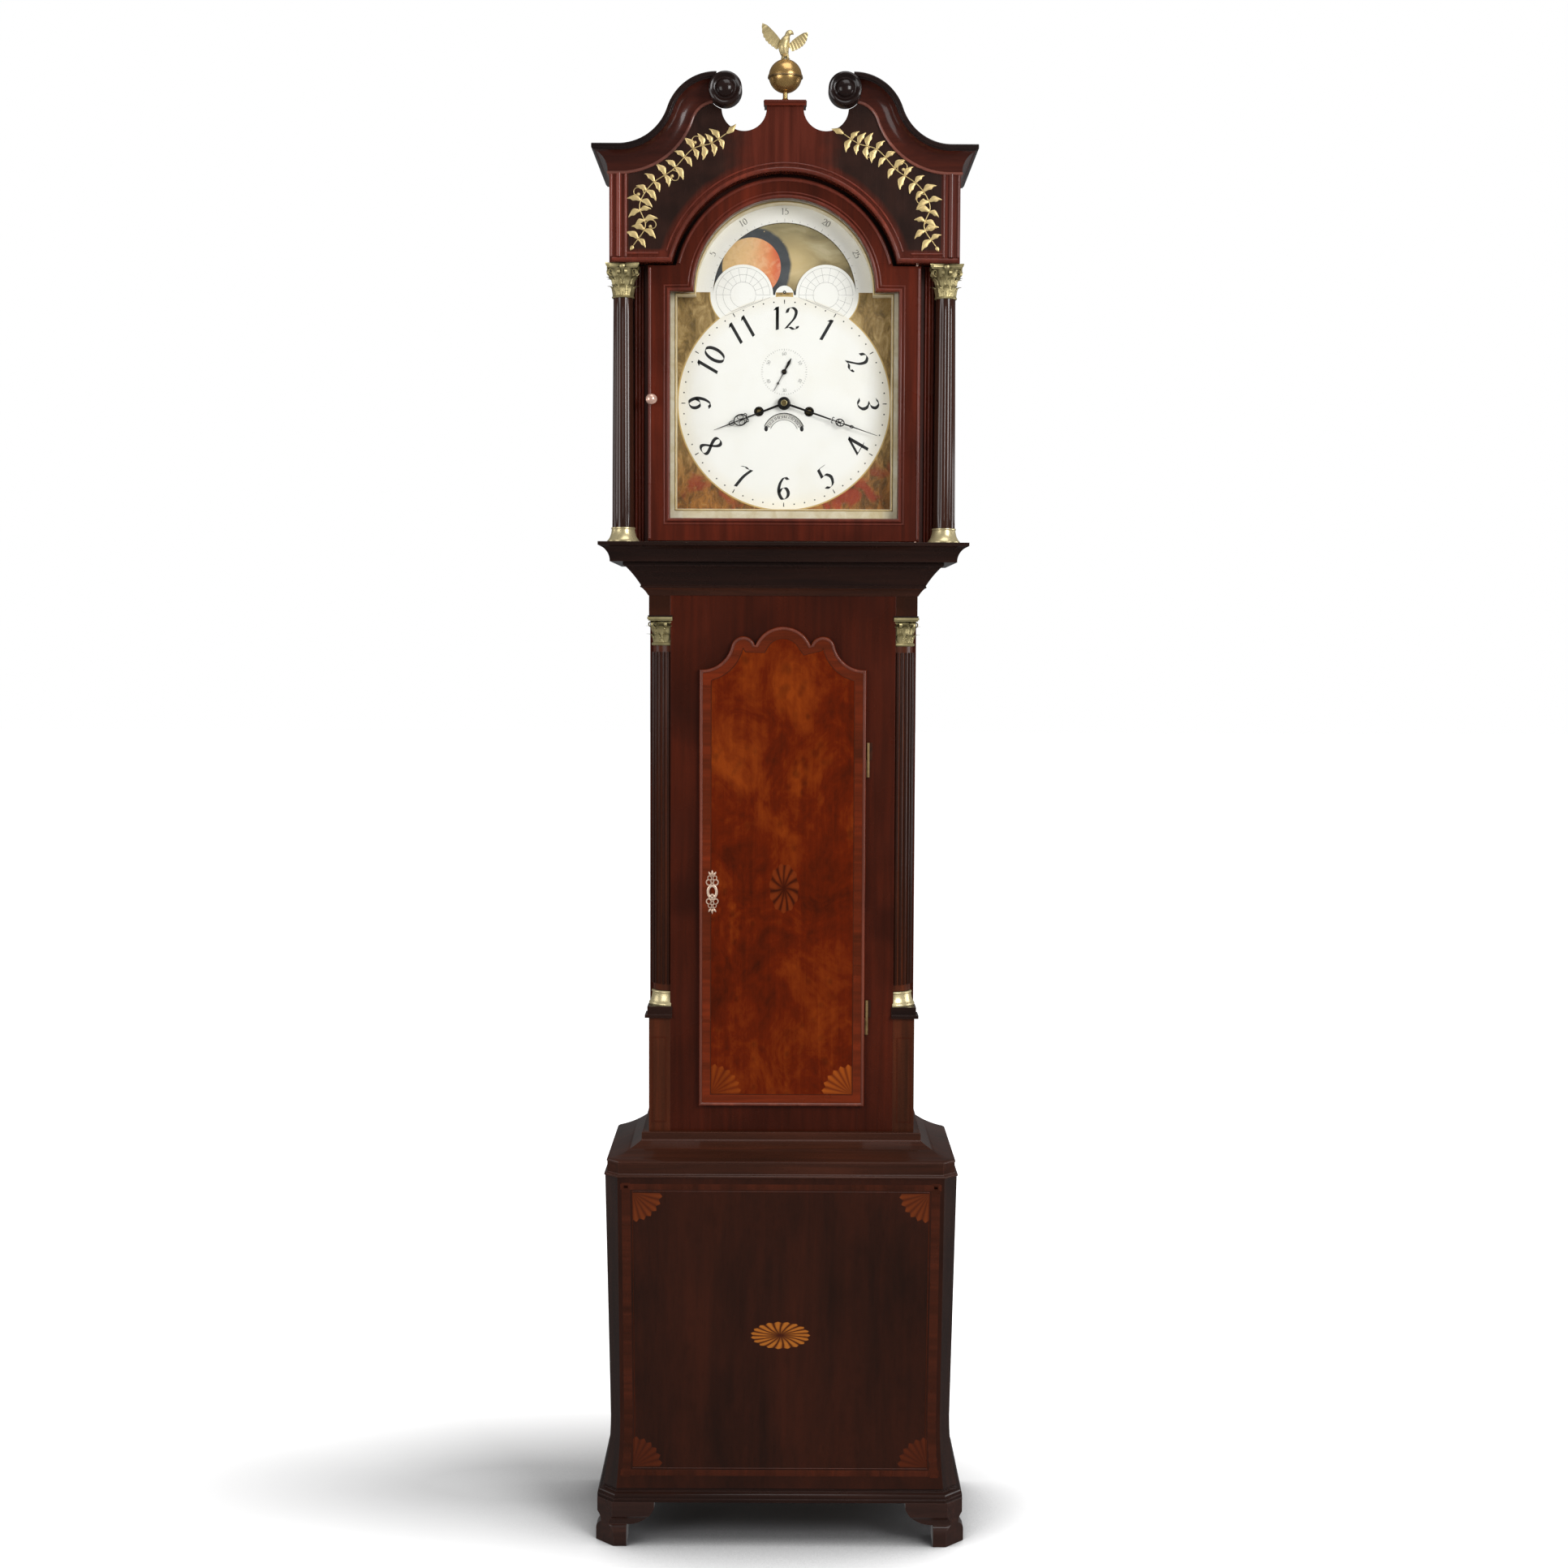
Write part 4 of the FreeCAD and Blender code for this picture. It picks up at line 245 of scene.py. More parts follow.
def woodFinish(name, tone, grain="z", polish=0.26, contrast=0.4, coat=0.10, shine=0.16, wear=0.0, shade=None):
    # long soft streaks, a slower figure across them, faint dark pores, a polish that varies, and edges made paler,
    # part rubbing wear and part painted highlight
    finish, tree, shader = newFinish(name)
    along = grainTurns[grain]
    dark = tuple(part * (1 - contrast * share) for part, share in zip(tone, (1.0, 0.75, 0.6)))
    light = tuple(part * (1 + contrast * share) for part, share in zip(tone, (1.5, 1.1, 0.8)))
    streaks = cloud(tree, 95, 6, 0.55, 0.5, stretch=along)
    slow = cloud(tree, 8, 3, 0.5, 0.7, stretch=tuple(0.3 + 0.7 * part for part in along))
    mixed = plus(times(streaks, 0.5), times(slow, 0.5))
    tones = ramp(mixed, (0.33, dark), (0.50, tone), (0.68, light))
    pores = step(cloud(tree, 900, 2, stretch=along), 0.60, 0.72)
    tones = blendTones(times(pores, 0.3), tones, dim(dark, 0.5))
    rough = plus(polish - 0.05, times(cloud(tree, 14, 3), 0.14))
    if shade:
        tones = blendTones(shade(tree), tones, dim(dark, 0.6))
    rounded = None
    if wear:
        rounded, paleEdgeWearAndHighlight = rubbedEdge(tree, 0.0016)
        # paler sharp edges: part rubbing wear, part a painted highlight along every edge
        tones = blendTones(times(paleEdgeWearAndHighlight, wear), tones, tuple(part * 2.2 + 0.012 for part in tone))
    feed(shader, Base_Color=tones, Roughness=rough, Coat_Weight=coat, Coat_Roughness=0.1,
         Specular_IOR_Level=shine)
    relief(shader, streaks, 0.00006, rounded)
    return finish


def petalWave(turns):  # 0 on the line between two petals, 1 on the middle of a petal
    return minus(1.0, size(minus(times(calc("FRACT", turns), 2.0), 1.0)))


def inlayFan(tones, run, rise, radius, light, dark, strength=1.0):
    # a quarter fan let into the veneer: petals lie side by side round the corner, scorched between
    out = distance(run, rise)
    wave = petalWave(times(calc("ARCTAN2", rise, run), 6 / (math.pi / 2)))
    scallop = times(minus(1.0, wave), -0.10 * radius)
    inside = step(minus(out, scallop), radius, radius - 0.0012)
    corner = times(step(run, 0.0, 0.0004), step(rise, 0.0, 0.0004))
    glow = times(step(wave, 0.0, 0.75), step(out, -0.3 * radius, radius))
    return blendTones(times(inside, corner, strength), tones, blendTones(glow, dark, light))


def inlayOval(tones, run, rise, radius, petals, swirl, light, dark, strength):
    # a whole oval of swirling petals round an eye, scorched between
    out = distance(run, rise)
    wave = petalWave(plus(times(calc("ARCTAN2", rise, run), petals / math.tau), times(out, swirl / radius)))
    scallop = times(minus(1.0, wave), -0.09 * radius)
    inside = step(minus(out, scallop), radius, radius * 0.96)
    glow = times(step(wave, 0.1, 0.65), step(out, radius * 0.08, radius * 0.55))
    return blendTones(times(inside, strength), tones, blendTones(glow, dark, light))


def figuredFinish(name, dark, tone, light, burr, inlay, stretch=0.62, shine=0.25):
    # a mottled veneer: cloudy blotches over fine upright grain, small burr knots, and inlay drawn on top
    finish, tree, shader = newFinish(name)
    clouds = cloud(tree, 13, 7, 0.66, 0.9, stretch=(1, 1, stretch))
    fine = cloud(tree, 62, 4, 0.6, 0.6, stretch=(1, 1, stretch))
    big = cloud(tree, 5.5, 2, 0.5, 0.3, stretch=(1, 1, 0.7), shift=(0.31, 0, 0.17))
    grainLines = cloud(tree, 110, 5, 0.55, 0.4, stretch=grainTurns["z"])
    total = plus(plus(times(clouds, 0.42), times(big, 0.34)), plus(times(grainLines, 0.12), times(fine, 0.12)))
    spot = spotOf(tree)
    middle = times(size(minus(spot[0], 0.015)), -burr["edgeFall"])
    tones = ramp(plus(total, middle), (0.37, dark), (0.48, tone), (0.60, light))
    knots = cells(tree, "SMOOTH_F1", burr["scale"], stretch=(1, 1, 0.8))
    dots = times(step(knots, 0.34, 0.12), step(clouds, 0.46, 0.58))
    tones = blendTones(times(dots, burr["share"]), tones, dim(dark, 0.55))
    pores = step(cloud(tree, 900, 2, stretch=grainTurns["z"]), 0.61, 0.72)
    tones = blendTones(times(pores, 0.25), tones, dim(dark, 0.4))
    feed(shader, Base_Color=inlay(tones, spot), Roughness=plus(0.18, times(big, 0.14)), Coat_Weight=0.08,
         Coat_Roughness=0.08, Specular_IOR_Level=shine)
    relief(shader, grainLines, 0.00005)
    return finish


def metalFinish(name, bright, tarnish, rough=0.28, wear=0.5, grain=(1, 1, 1), dents=0.00012, purity=1.0, dirt=0.0):
    # metal with tarnish in soft patches, dirt in its crevices, and fine rubbing marks in its gloss
    finish, tree, shader = newFinish(name)
    patches = cloud(tree, 55, 6, 0.6, 0.3)
    rubbed = cloud(tree, 420, 3, 0.6, stretch=grain)
    tone = blendTones(times(step(patches, 0.36, 0.68), wear), bright, tarnish)
    if dirt:
        tone = blendTones(times(step(openness(tree, 6, 0.006), 0.85, 0.35), dirt), tone, dim(tarnish, 0.16))
    feed(shader, Base_Color=tone, Roughness=plus(rough - 0.06, times(rubbed, 0.14)), Metallic=purity)
    relief(shader, plus(patches, times(rubbed, 0.3)), dents)
    return finish


def paintFinish(name, tone, second, scale=30, rough=0.45):
    # an aged paint film, clouded by a second tone and faintly crazed
    finish, tree, shader = newFinish(name)
    clouds = cloud(tree, scale, 6, 0.6, 0.4)
    cracks = step(cells(tree, "DISTANCE_TO_EDGE", 420), 0.0, 0.03)
    tones = blendTones(step(clouds, 0.35, 0.7), tone, second)
    tones = blendTones(cracks, dim(tone, 0.86), tones)
    feed(shader, Base_Color=tones, Roughness=plus(rough - 0.06, times(clouds, 0.12)), IOR=1.5)
    relief(shader, cracks, 0.00005)
    return finish


hoodTone, darkTone, bandTone = (0.078, 0.0124, 0.0056), (0.0175, 0.0066, 0.0044), (0.050, 0.0112, 0.0046)
pineTone = (0.210, 0.118, 0.054)
hoodWood = woodFinish("hoodMahogany", hoodTone, contrast=0.5, coat=0.05, shine=0.12, wear=0.5, shade=slowShade)
hoodWoodAcross = woodFinish("hoodMahoganyAcross", hoodTone, "x", wear=0.5)
trunkWood = woodFinish("trunkMahogany", (0.054, 0.0084, 0.0028), wear=0.3, shade=slowShade)
darkWood = woodFinish("darkMahogany", darkTone, coat=0.3, wear=0.5)
columnWood = woodFinish("columnMahogany", (0.0330, 0.0120, 0.0072), polish=0.13, coat=0.36, shine=0.24)
quarterWood = woodFinish("quarterMahogany", (0.0250, 0.0074, 0.0038), polish=0.2, coat=0.12, shine=0.16)
darkWoodAcross = woodFinish("darkMahoganyAcross", darkTone, "x", coat=0.25, wear=0.6)
darkWoodDeep = woodFinish("darkMahoganyDeep", darkTone, "y", coat=0.25, wear=0.6)
waistWood = woodFinish("waistMahogany", (0.0400, 0.0125, 0.0066), "x", coat=0.2, wear=0.9)
feetWood = woodFinish("feetMahogany", (0.0300, 0.0125, 0.0090), "x", coat=0.55, wear=0.7)
cantWood = woodFinish("cantMahogany", (0.0200, 0.0090, 0.0066), polish=0.2, coat=0.6, shine=0.35, wear=0.5)
neckWood = woodFinish("neckMahogany", (0.0460, 0.0110, 0.0070), "x", 0.2, coat=0.2)
blockWood = woodFinish("blockMahogany", (0.064, 0.0155, 0.0058), contrast=0.5, wear=0.3, shade=upperShade)
scrollWood = woodFinish("scrollMahogany", (0.0125, 0.0062, 0.0052), "x", 0.2, coat=0.35, wear=0.7)
# the neck's inner bead: its pale tone is partly a painted highlight, the thin pale line along the neck
scrollBeadWithPaintedHighlight = woodFinish("scrollBeadPaintedHighlight", (0.150, 0.0520, 0.0380), "x", 0.2, coat=0.5)
bandWood = woodFinish("crossBand", bandTone, "x")
bandWoodUpright = woodFinish("crossBandUpright", bandTone)
doorBandWood = woodFinish("doorCrossBand", (0.112, 0.0160, 0.0036), "x", contrast=0.5)
# hood beads: the tone paler than the hood wood is a painted highlight along the beads
beadWoodPaintedHighlight = woodFinish("hoodBeadPaintedHighlight", (0.120, 0.0240, 0.0140), coat=0.3)
edgeWood = woodFinish("doorEdge", (0.150, 0.042, 0.026), coat=0.3)
scorched = woodFinish("scorchedInlay", (0.060, 0.0115, 0.0036))
pineWood = woodFinish("agedPine", pineTone, polish=0.6, coat=0.0)
pineAcross = woodFinish("agedPineAcross", pineTone, "x", 0.6, coat=0.0)
castBrass = metalFinish("castBrass", (0.54, 0.46, 0.230), (0.24, 0.190, 0.080), 0.40, 0.7, purity=0.7, dirt=0.9)
mountBrass = metalFinish("mountBrass", (0.74, 0.63, 0.36), (0.52, 0.42, 0.21), 0.28, 0.4, dents=0.00002,
                         purity=0.6, dirt=0.5)
plateBrass = metalFinish("keyPlateBrass", (0.82, 0.62, 0.48), (0.55, 0.36, 0.25), 0.32, 0.6, purity=0.4)
dullBrass = metalFinish("dullBrass", (0.44, 0.30, 0.14), (0.13, 0.075, 0.034), 0.36, 0.8, purity=0.8)
ballBronze = metalFinish("ballBronze", (0.60, 0.37, 0.135), (0.36, 0.20, 0.070), 0.26, 0.55, dents=0.00003,
                         purity=0.8)
eagleGilt = metalFinish("eagleGilt", (0.74, 0.60, 0.31), (0.36, 0.27, 0.115), 0.4, 0.6, purity=0.7, dirt=0.6)
giltLeaf = metalFinish("giltLeaf", (0.78, 0.60, 0.28), (0.46, 0.32, 0.125), 0.42, 0.6, purity=0.65)
wheelBrass = metalFinish("wheelBrass", (0.72, 0.54, 0.24), (0.48, 0.33, 0.12), 0.22, 0.45, (1, 6, 1))
knobCopper = metalFinish("knobCopper", (0.80, 0.52, 0.42), (0.52, 0.29, 0.21), 0.24, 0.5, purity=0.5)
brightSteel = metalFinish("brightSteel", (0.52, 0.52, 0.54), (0.30, 0.29, 0.28), 0.3, 0.5)
handSteel = metalFinish("handSteel", (0.040, 0.037, 0.036), (0.016, 0.014, 0.013), 0.36, 0.5)
bellMetal = metalFinish("bellMetal", (0.66, 0.56, 0.38), (0.46, 0.37, 0.22), 0.2, 0.4)
gutFinish = paintFinish("gutLine", (0.36, 0.25, 0.12), (0.26, 0.17, 0.07), 220, 0.5)
inkPaint = paintFinish("dialInk", (0.006, 0.006, 0.006), (0.016, 0.015, 0.014), 160, 0.5)
faintInk = paintFinish("dialFaintInk", (0.24, 0.24, 0.22), (0.36, 0.35, 0.32), 160, 0.5)
datePaint = paintFinish("dateEnamel", (0.84, 0.83, 0.78), (0.76, 0.74, 0.66), 40, 0.3)
print("finishes mixed")

trunkTrim = {"front": edge("trunk_door_panel", 1, 0), "half": 0.126, "foot": edge("trunk_door_panel", 2, 0),
             "tall": 0.665, "notch": 0.036, "crestHalf": 0.042, "crest": 0.045, "lobe": 0.0186, "hollow": 0.046,
             "lobeWidth": 0.036}
doorMarks = {"fanIn": 0.0185, "fan": 0.047, "fanLight": (0.36, 0.078, 0.0085), "fanDark": (0.135, 0.0225, 0.0042),
             "ovalAcross": 0.003, "ovalUp": 0.334, "oval": 0.0235, "ovalLight": (0.180, 0.030, 0.005),
             "ovalDark": (0.022, 0.0050, 0.0018), "back": (0.052, 0.0170, 0.0062)}
baseMarks = {"fanIn": 0.2235, "fan": 0.046, "lowUp": 0.031, "lowLight": (0.112, 0.0205, 0.0056),
             "lowDark": (0.060, 0.0118, 0.0042), "highDown": 0.023, "highLight": (0.200, 0.0390, 0.0070),
             "highDark": (0.088, 0.0168, 0.0042), "ovalUp": 0.2335, "oval": 0.0216, "ovalLight": (0.42, 0.130, 0.016),
             "ovalDark": (0.060, 0.0125, 0.0042)}


def doorInlay(tones, spot):
    # fans in the lower corners, brighter on the right, and a dark oval; the back of the door is plain
    across, depth, up = spot
    marks, front = doorMarks, trunkTrim["front"]
    back = blendTones(0.62, tones, marks["back"])
    run = minus(trunkTrim["half"] - marks["fanIn"], size(across))
    rise = minus(up, trunkTrim["foot"] + marks["fanIn"])
    right = plus(0.42, times(step(across, -0.02, 0.02), 0.46))
    tones = inlayFan(tones, run, rise, marks["fan"], marks["fanLight"], marks["fanDark"], right)
    rise = times(minus(up, trunkTrim["foot"] + marks["ovalUp"]), 0.60)
    tones = inlayOval(tones, minus(across, marks["ovalAcross"]), rise, marks["oval"], 11, 0.35, marks["ovalLight"],
                      marks["ovalDark"], 0.72)
    return blendTones(step(depth, front + 0.006, front + 0.004), back, tones)


def baseInlay(tones, spot):
    # a fan in each corner of the panel, the upper two brighter, and a pale oval
    across, _, up = spot
    marks = baseMarks
    run = minus(marks["fanIn"], size(across))
    low, high = minus(up, baseBottom + marks["lowUp"]), minus(baseTop - marks["highDown"], up)
    tones = inlayFan(tones, run, low, marks["fan"], marks["lowLight"], marks["lowDark"], 0.7)
    tones = inlayFan(tones, run, high, marks["fan"], marks["highLight"], marks["highDark"], 0.7)
    rise = minus(up, baseBottom + marks["ovalUp"])
    return inlayOval(tones, times(across, 0.47), rise, marks["oval"], 19, 0.5, marks["ovalLight"],
                     marks["ovalDark"], 0.92)


doorVeneer = figuredFinish("doorVeneer", (0.040, 0.0058, 0.0014), (0.112, 0.0108, 0.0010), (0.230, 0.0370, 0.0032),
                           {"scale": 62, "share": 0.4, "edgeFall": 0.30}, doorInlay, 0.75, 0.09)
baseVeneer = figuredFinish("baseVeneer", (0.0160, 0.0066, 0.0044), (0.0290, 0.0088, 0.0050), (0.0440, 0.0110, 0.0054),
                           {"scale": 40, "share": 0.15, "edgeFall": 0.02}, baseInlay, 0.2, 0.14)


def maskFinish():
    # cream paint on the slip round the dial, polished wood everywhere the door hides or frames it
    finish, tree, shader = newFinish("maskPaint")
    across, _, up = spotOf(tree)
    side = step(size(across), 0.1755, 0.1745)
    top = step(up, archCentre + 0.004, archCentre + 0.002)
    arch = step(distance(across, minus(up, archCentre)), 0.1400, 0.1390)
    slip = calc("MAXIMUM", times(side, top), arch)
    clouds = cloud(tree, 45, 5, 0.6, 0.4)
    cream = blendTones(step(clouds, 0.35, 0.7), (0.86, 0.79, 0.60), (0.66, 0.55, 0.32))
    wood = ramp(cloud(tree, 95, 5, stretch=grainTurns["z"]), (0.35, (0.026, 0.0070, 0.0042)),
                (0.65, (0.050, 0.0110, 0.0058)))
    feed(shader, Base_Color=blendTones(slip, wood, cream), Roughness=plus(0.3, times(clouds, 0.2)),
         Specular_IOR_Level=0.25)
    relief(shader, clouds, 0.00004)
    return finish


def friezeFinish():
    # red mahogany that is ebonised where the gilt leaves lie: outside the arch bead, inside the corner beads
    finish, tree, shader = newFinish("friezeMahogany")
    across, _, up = spotOf(tree)
    side = size(across)
    out = distance(across, minus(up, archCentre))
    soft = times(minus(cloud(tree, 38, 4), 0.5), 0.05)
    arch = step(plus(out, times(soft, 0.12)), 0.1825, 0.1925)
    corner = times(step(side, 0.2320, 0.2285), step(up, friezeBottom + 0.0145, friezeBottom + 0.020))
    neck = step(plus(side, soft), 0.046, 0.086)
    ground = times(times(arch, corner), times(neck, 0.94))
    streaks = cloud(tree, 80, 5, 0.55, 0.5, stretch=(1, 1, 0.06))
    wood = ramp(streaks, (0.33, dim(hoodTone, 0.72)), (0.5, hoodTone), (0.68, dim(hoodTone, 1.4)))
    ebony = ramp(cloud(tree, 30, 4), (0.35, (0.0125, 0.0064, 0.0046)), (0.7, (0.0270, 0.0112, 0.0076)))
    feed(shader, Base_Color=blendTones(ground, wood, ebony), Roughness=plus(0.2, times(streaks, 0.14)),
         Coat_Weight=0.12, Coat_Roughness=0.1, Specular_IOR_Level=0.25)
    relief(shader, streaks, 0.00005)
    return finish


def dialFinish():
    # white where a point is near the dial's middle, in the arch or on a hump; painted leaf clouds elsewhere
    finish, tree, shader = newFinish("dialEnamel")
    across, _, up = spotOf(tree)
    fromCentre = distance(across, minus(up, dialCentre))
    fromHump = distance(minus(size(across), 0.062), minus(up, archCentre))
    disc = step(fromCentre, 0.1588, 0.1583)
    hump = step(fromHump, 0.0492, 0.0487)
    arch = step(up, archCentre + 0.0036, archCentre + 0.0040)
    white = calc("MAXIMUM", calc("MAXIMUM", disc, hump), arch)
    rim = step(size(minus(fromCentre, 0.1595)), 0.0012, 0.0009)
    humpRim = step(size(minus(fromHump, 0.0497)), 0.0010, 0.0007)
    lineRim = times(calc("MAXIMUM", rim, humpRim), minus(1.0, white))
    leaves = cells(tree, "F1", 120, stretch=(1, 1, 0.7), turn=(0, 0.6, 0))
    strokes = cloud(tree, 70, 6, 0.65, 1.2, stretch=(1, 1, 0.5), turn=(0, 0.5, 0))
    fields = cloud(tree, 26, 3, 0.5, 0.5)
    low = step(up, dialCentre - 0.04, dialCentre - 0.13)
    upper = ramp(strokes, (0.30, (0.105, 0.066, 0.020)), (0.50, (0.290, 0.185, 0.060)), (0.72, (0.56, 0.40, 0.170)))
    lower = ramp(strokes, (0.28, (0.046, 0.032, 0.012)), (0.48, (0.210, 0.090, 0.020)),
                 (0.62, (0.40, 0.165, 0.032)), (0.78, (0.42, 0.300, 0.100)))
    ground = blendTones(low, upper, lower)
    ground = blendTones(times(step(leaves, 0.20, 0.10), 0.35), ground, (0.33, 0.24, 0.075))
    ground = blendTones(times(step(fields, 0.56, 0.66), low, 0.75), ground, (0.33, 0.032, 0.016))
    ground = blendTones(lineRim, ground, (0.60, 0.42, 0.15))
    enamel = blendTones(step(cloud(tree, 16, 4, 0.6), 0.45, 0.8), (0.97, 0.97, 0.91), (0.93, 0.92, 0.83))
    enamel = blendTones(times(step(fromCentre, 0.135, 0.158), disc, 0.5), enamel, (0.88, 0.82, 0.66))
    tone = blendTones(white, ground, enamel)
    cracks = step(cells(tree, "DISTANCE_TO_EDGE", 260), 0.0, 0.02)
    feed(shader, Base_Color=blendTones(0.22, tone, blendTones(cracks, (0.62, 0.58, 0.48), tone)),
         Roughness=plus(0.26, times(strokes, 0.16)), IOR=1.5)
    relief(shader, cracks, 0.00003)
    return finish


moonSpots = {"across": -0.0495, "up": 0.0415, "radius": 0.0440, "dome": 0.0005, "stars": 46}


def skyFinish():
    # an olive sky in soft banks, darker blue-grey round each moon
    finish, tree, shader = newFinish("moonSky")
    across, _, up = spotOf(tree, shift=(0, 0, -archCentre))

    def ringAround(x, z):
        return distance(minus(across, x), minus(up, z))

    near = calc("MINIMUM", *(ringAround(side * moonSpots["across"], side * moonSpots["up"]) for side in (1, -1)))
    banks = cloud(tree, 24, 5, 0.6, 0.7, stretch=(0.7, 1, 1.2))
    dusk = ramp(banks, (0.32, (0.170, 0.120, 0.045)), (0.50, (0.420, 0.320, 0.140)), (0.70, (0.700, 0.590, 0.350)))
    dusk = blendTones(times(step(up, -0.02, 0.1), 0.55), dusk, (0.235, 0.218, 0.120))
    glow = step(plus(ringAround(0.012, 0.046), times(banks, 0.03)), 0.062, 0.022)
    dusk = blendTones(times(glow, 0.8), dusk, (0.68, 0.52, 0.245))
    ground = step(plus(up, times(banks, 0.05)), 0.062, 0.030)
    dusk = blendTones(times(ground, 0.6), dusk, (0.150, 0.105, 0.050))
    patch = step(plus(near, times(minus(banks, 0.5), 0.008)), 0.0615, 0.0575)
    night = blendTones(step(banks, 0.4, 0.7), (0.050, 0.056, 0.062), (0.085, 0.092, 0.096))
    feed(shader, Base_Color=blendTones(patch, dusk, night), Roughness=plus(0.38, times(banks, 0.15)), IOR=1.5)
    relief(shader, banks, 0.00004)
    return finish


def moonFinish():
    # warm at the middle and redder towards one edge, with pale blotches and brown freckles
    finish, tree, shader = newFinish("moonPaint")
    lean = plus(spotOf(tree)[0], times(cloud(tree, 45, 4), 0.012))
    middle = moonSpots["across"]
    glow = ramp(step(lean, middle - 0.045, middle + 0.052), (0.10, (0.72, 0.50, 0.22)), (0.52, (0.82, 0.52, 0.25)),
                (0.80, (0.80, 0.28, 0.11)), (0.97, (0.66, 0.095, 0.040)))
    freckles = cloud(tree, 140, 5, 0.7)
    blotches = cloud(tree, 60, 3, 0.6, 0.8)
    tone = blendTones(times(step(blotches, 0.48, 0.68), 0.34), glow, (0.90, 0.68, 0.42))
    tone = blendTones(times(step(freckles, 0.5, 0.75), 0.36), tone, (0.44, 0.21, 0.075))
    feed(shader, Base_Color=tone, Roughness=plus(0.32, times(freckles, 0.1)), IOR=1.5)
    relief(shader, freckles, 0.00004)
    return finish


def glassFinish():
    # old clear glass: nearly all see-through, with a faint ripple in its shine
    finish, tree, shader = newFinish("doorGlass")
    ripple = cloud(tree, 11, 2)
    feed(shader, Base_Color=(0.02, 0.024, 0.022), Roughness=times(ripple, 0.08), Alpha=0.03, IOR=1.5)
    relief(shader, ripple, 0.0006)
    return finish


def hingeFinish():
    # bright brass along the knuckles, gone brown over the leaves
    finish, tree, shader = newFinish("hingeBrass")
    knuckle = step(size(minus(spotOf(tree)[0], 0.1293)), 0.0024, 0.0008)
    patches = cloud(tree, 120, 5, 0.6, 0.3)
    aged = step(patches, 0.36, 0.68)
    brass = blendTones(aged, (0.46, 0.31, 0.14), (0.24, 0.15, 0.06))
    brown = blendTones(aged, (0.056, 0.0150, 0.0062), (0.030, 0.0085, 0.0042))
    feed(shader, Base_Color=blendTones(knuckle, brown, brass), Metallic=times(knuckle, 0.7),
         Roughness=plus(0.26, times(patches, 0.2)), Specular_IOR_Level=0.2)
    relief(shader, patches, 0.00008)
    return finish


hingeBrass = hingeFinish()
finishNodes = (
    (pineWood, "backboard"), (pineAcross, "base_floor_board seat_board hood_roof_board"),
    (baseVeneer, "base_front_panel"), (darkWood, "base_side_panels"), (cantWood, "base_canted_corners"),
    (feetWood, "bracket_feet"), (waistWood, "waist_moulding"), (trunkWood, "trunk_front_frame trunk_side_panels"),
    (darkWoodAcross, "base_skirt_moulding throat_moulding hood_sill_frame"), (blockWood, "trunk_quarter_columns"),
    (doorVeneer, "trunk_door_panel"), (hingeBrass, "trunk_hinge_frame_leaves trunk_hinge_door_leaves"),
    (hoodWood, "hood_side_panels hood_door_frame"), (hoodWoodAcross, "finial_cap"), (maskFinish(), "dial_mask"),
    (friezeFinish(), "pediment_board"), (darkWoodDeep, "cornice_returns"), (scrollWood, "swan_necks"),
    (columnWood, "hood_columns"), (castBrass, "hood_column_mounts"), (ballBronze, "finial_ball"),
    (eagleGilt, "finial_eagle"), (mountBrass, "trunk_column_mounts trunk_escutcheon"),
    (knobCopper, "hood_door_fittings"), (glassFinish(), "hood_door_glass"), (dialFinish(), "dial_plate"),
    (datePaint, "date_ring"), (skyFinish(), "moon_disc"), (handSteel, "hour_hand minute_hand seconds_hand"),
    (gutFinish, "going_line strike_line"), (bellMetal, "bell"),
    (brightSteel, "bell_stand bell_hammer trunk_lock pendulum_rod pallet_anchor"),
    (wheelBrass, "movement_frame back_cock pendulum_bob centre_wheel hour_wheel minute_wheel third_wheel "
                 "escape_wheel great_wheel going_drum strike_drum going_weight strike_weight"))
for finish, nodeNames in finishNodes:
    for nodeName in nodeNames.split():
        nodes[nodeName].data.materials.clear()
        nodes[nodeName].data.materials.append(finish)
print("CAD nodes finished:", sum(len(nodeNames.split()) for finish, nodeNames in finishNodes), "of", len(nodes))


# mesh helpers: shapes are whole arrays, then one mesh
def gridFaces(rows, cols, wrapRows=False, wrapCols=False):  # quads over a grid of points, joined round where asked
    i = np.arange(rows if wrapRows else rows - 1)[:, None]
    j = np.arange(cols if wrapCols else cols - 1)[None, :]
    after, beside = (i + 1) % rows, (j + 1) % cols
    corners = [i * cols + j, i * cols + beside, after * cols + beside, after * cols + j]
    return np.stack(corners, -1).reshape(-1, 4).tolist()


def gridShape(points, **wrap):  # a surface over rows and columns of points
    return points.reshape(-1, 3), gridFaces(*points.shape[:2], **wrap)


def tubeShape(points):  # rows of rings, closed round and capped at both ends
    rows, cols = points.shape[:2]
    caps = [list(range(cols)), list(range((rows - 1) * cols, rows * cols))[::-1]]
    return points.reshape(-1, 3), gridFaces(rows, cols, wrapCols=True) + caps


def slab(x, y, z):  # a plain block between two values on each axis
    ring = [(x[0], y[0]), (x[1], y[0]), (x[1], y[1]), (x[0], y[1])]
    return tubeShape(np.array([[(*corner, level) for corner in ring] for level in z]))


def shifted(shape, spot, flip=1):
    return np.asarray(shape[0]) * flip + spot, shape[1]


def turned(shape, angle):  # swung about the upright axis
    points = np.asarray(shape[0])
    x, y = points[..., 0], points[..., 1]
    across, depth = x * math.cos(angle) - y * math.sin(angle), x * math.sin(angle) + y * math.cos(angle)
    return np.stack([across, depth, points[..., 2]], -1), shape[1]


def unit(vectors):
    return vectors / np.linalg.norm(vectors, axis=1, keepdims=True)


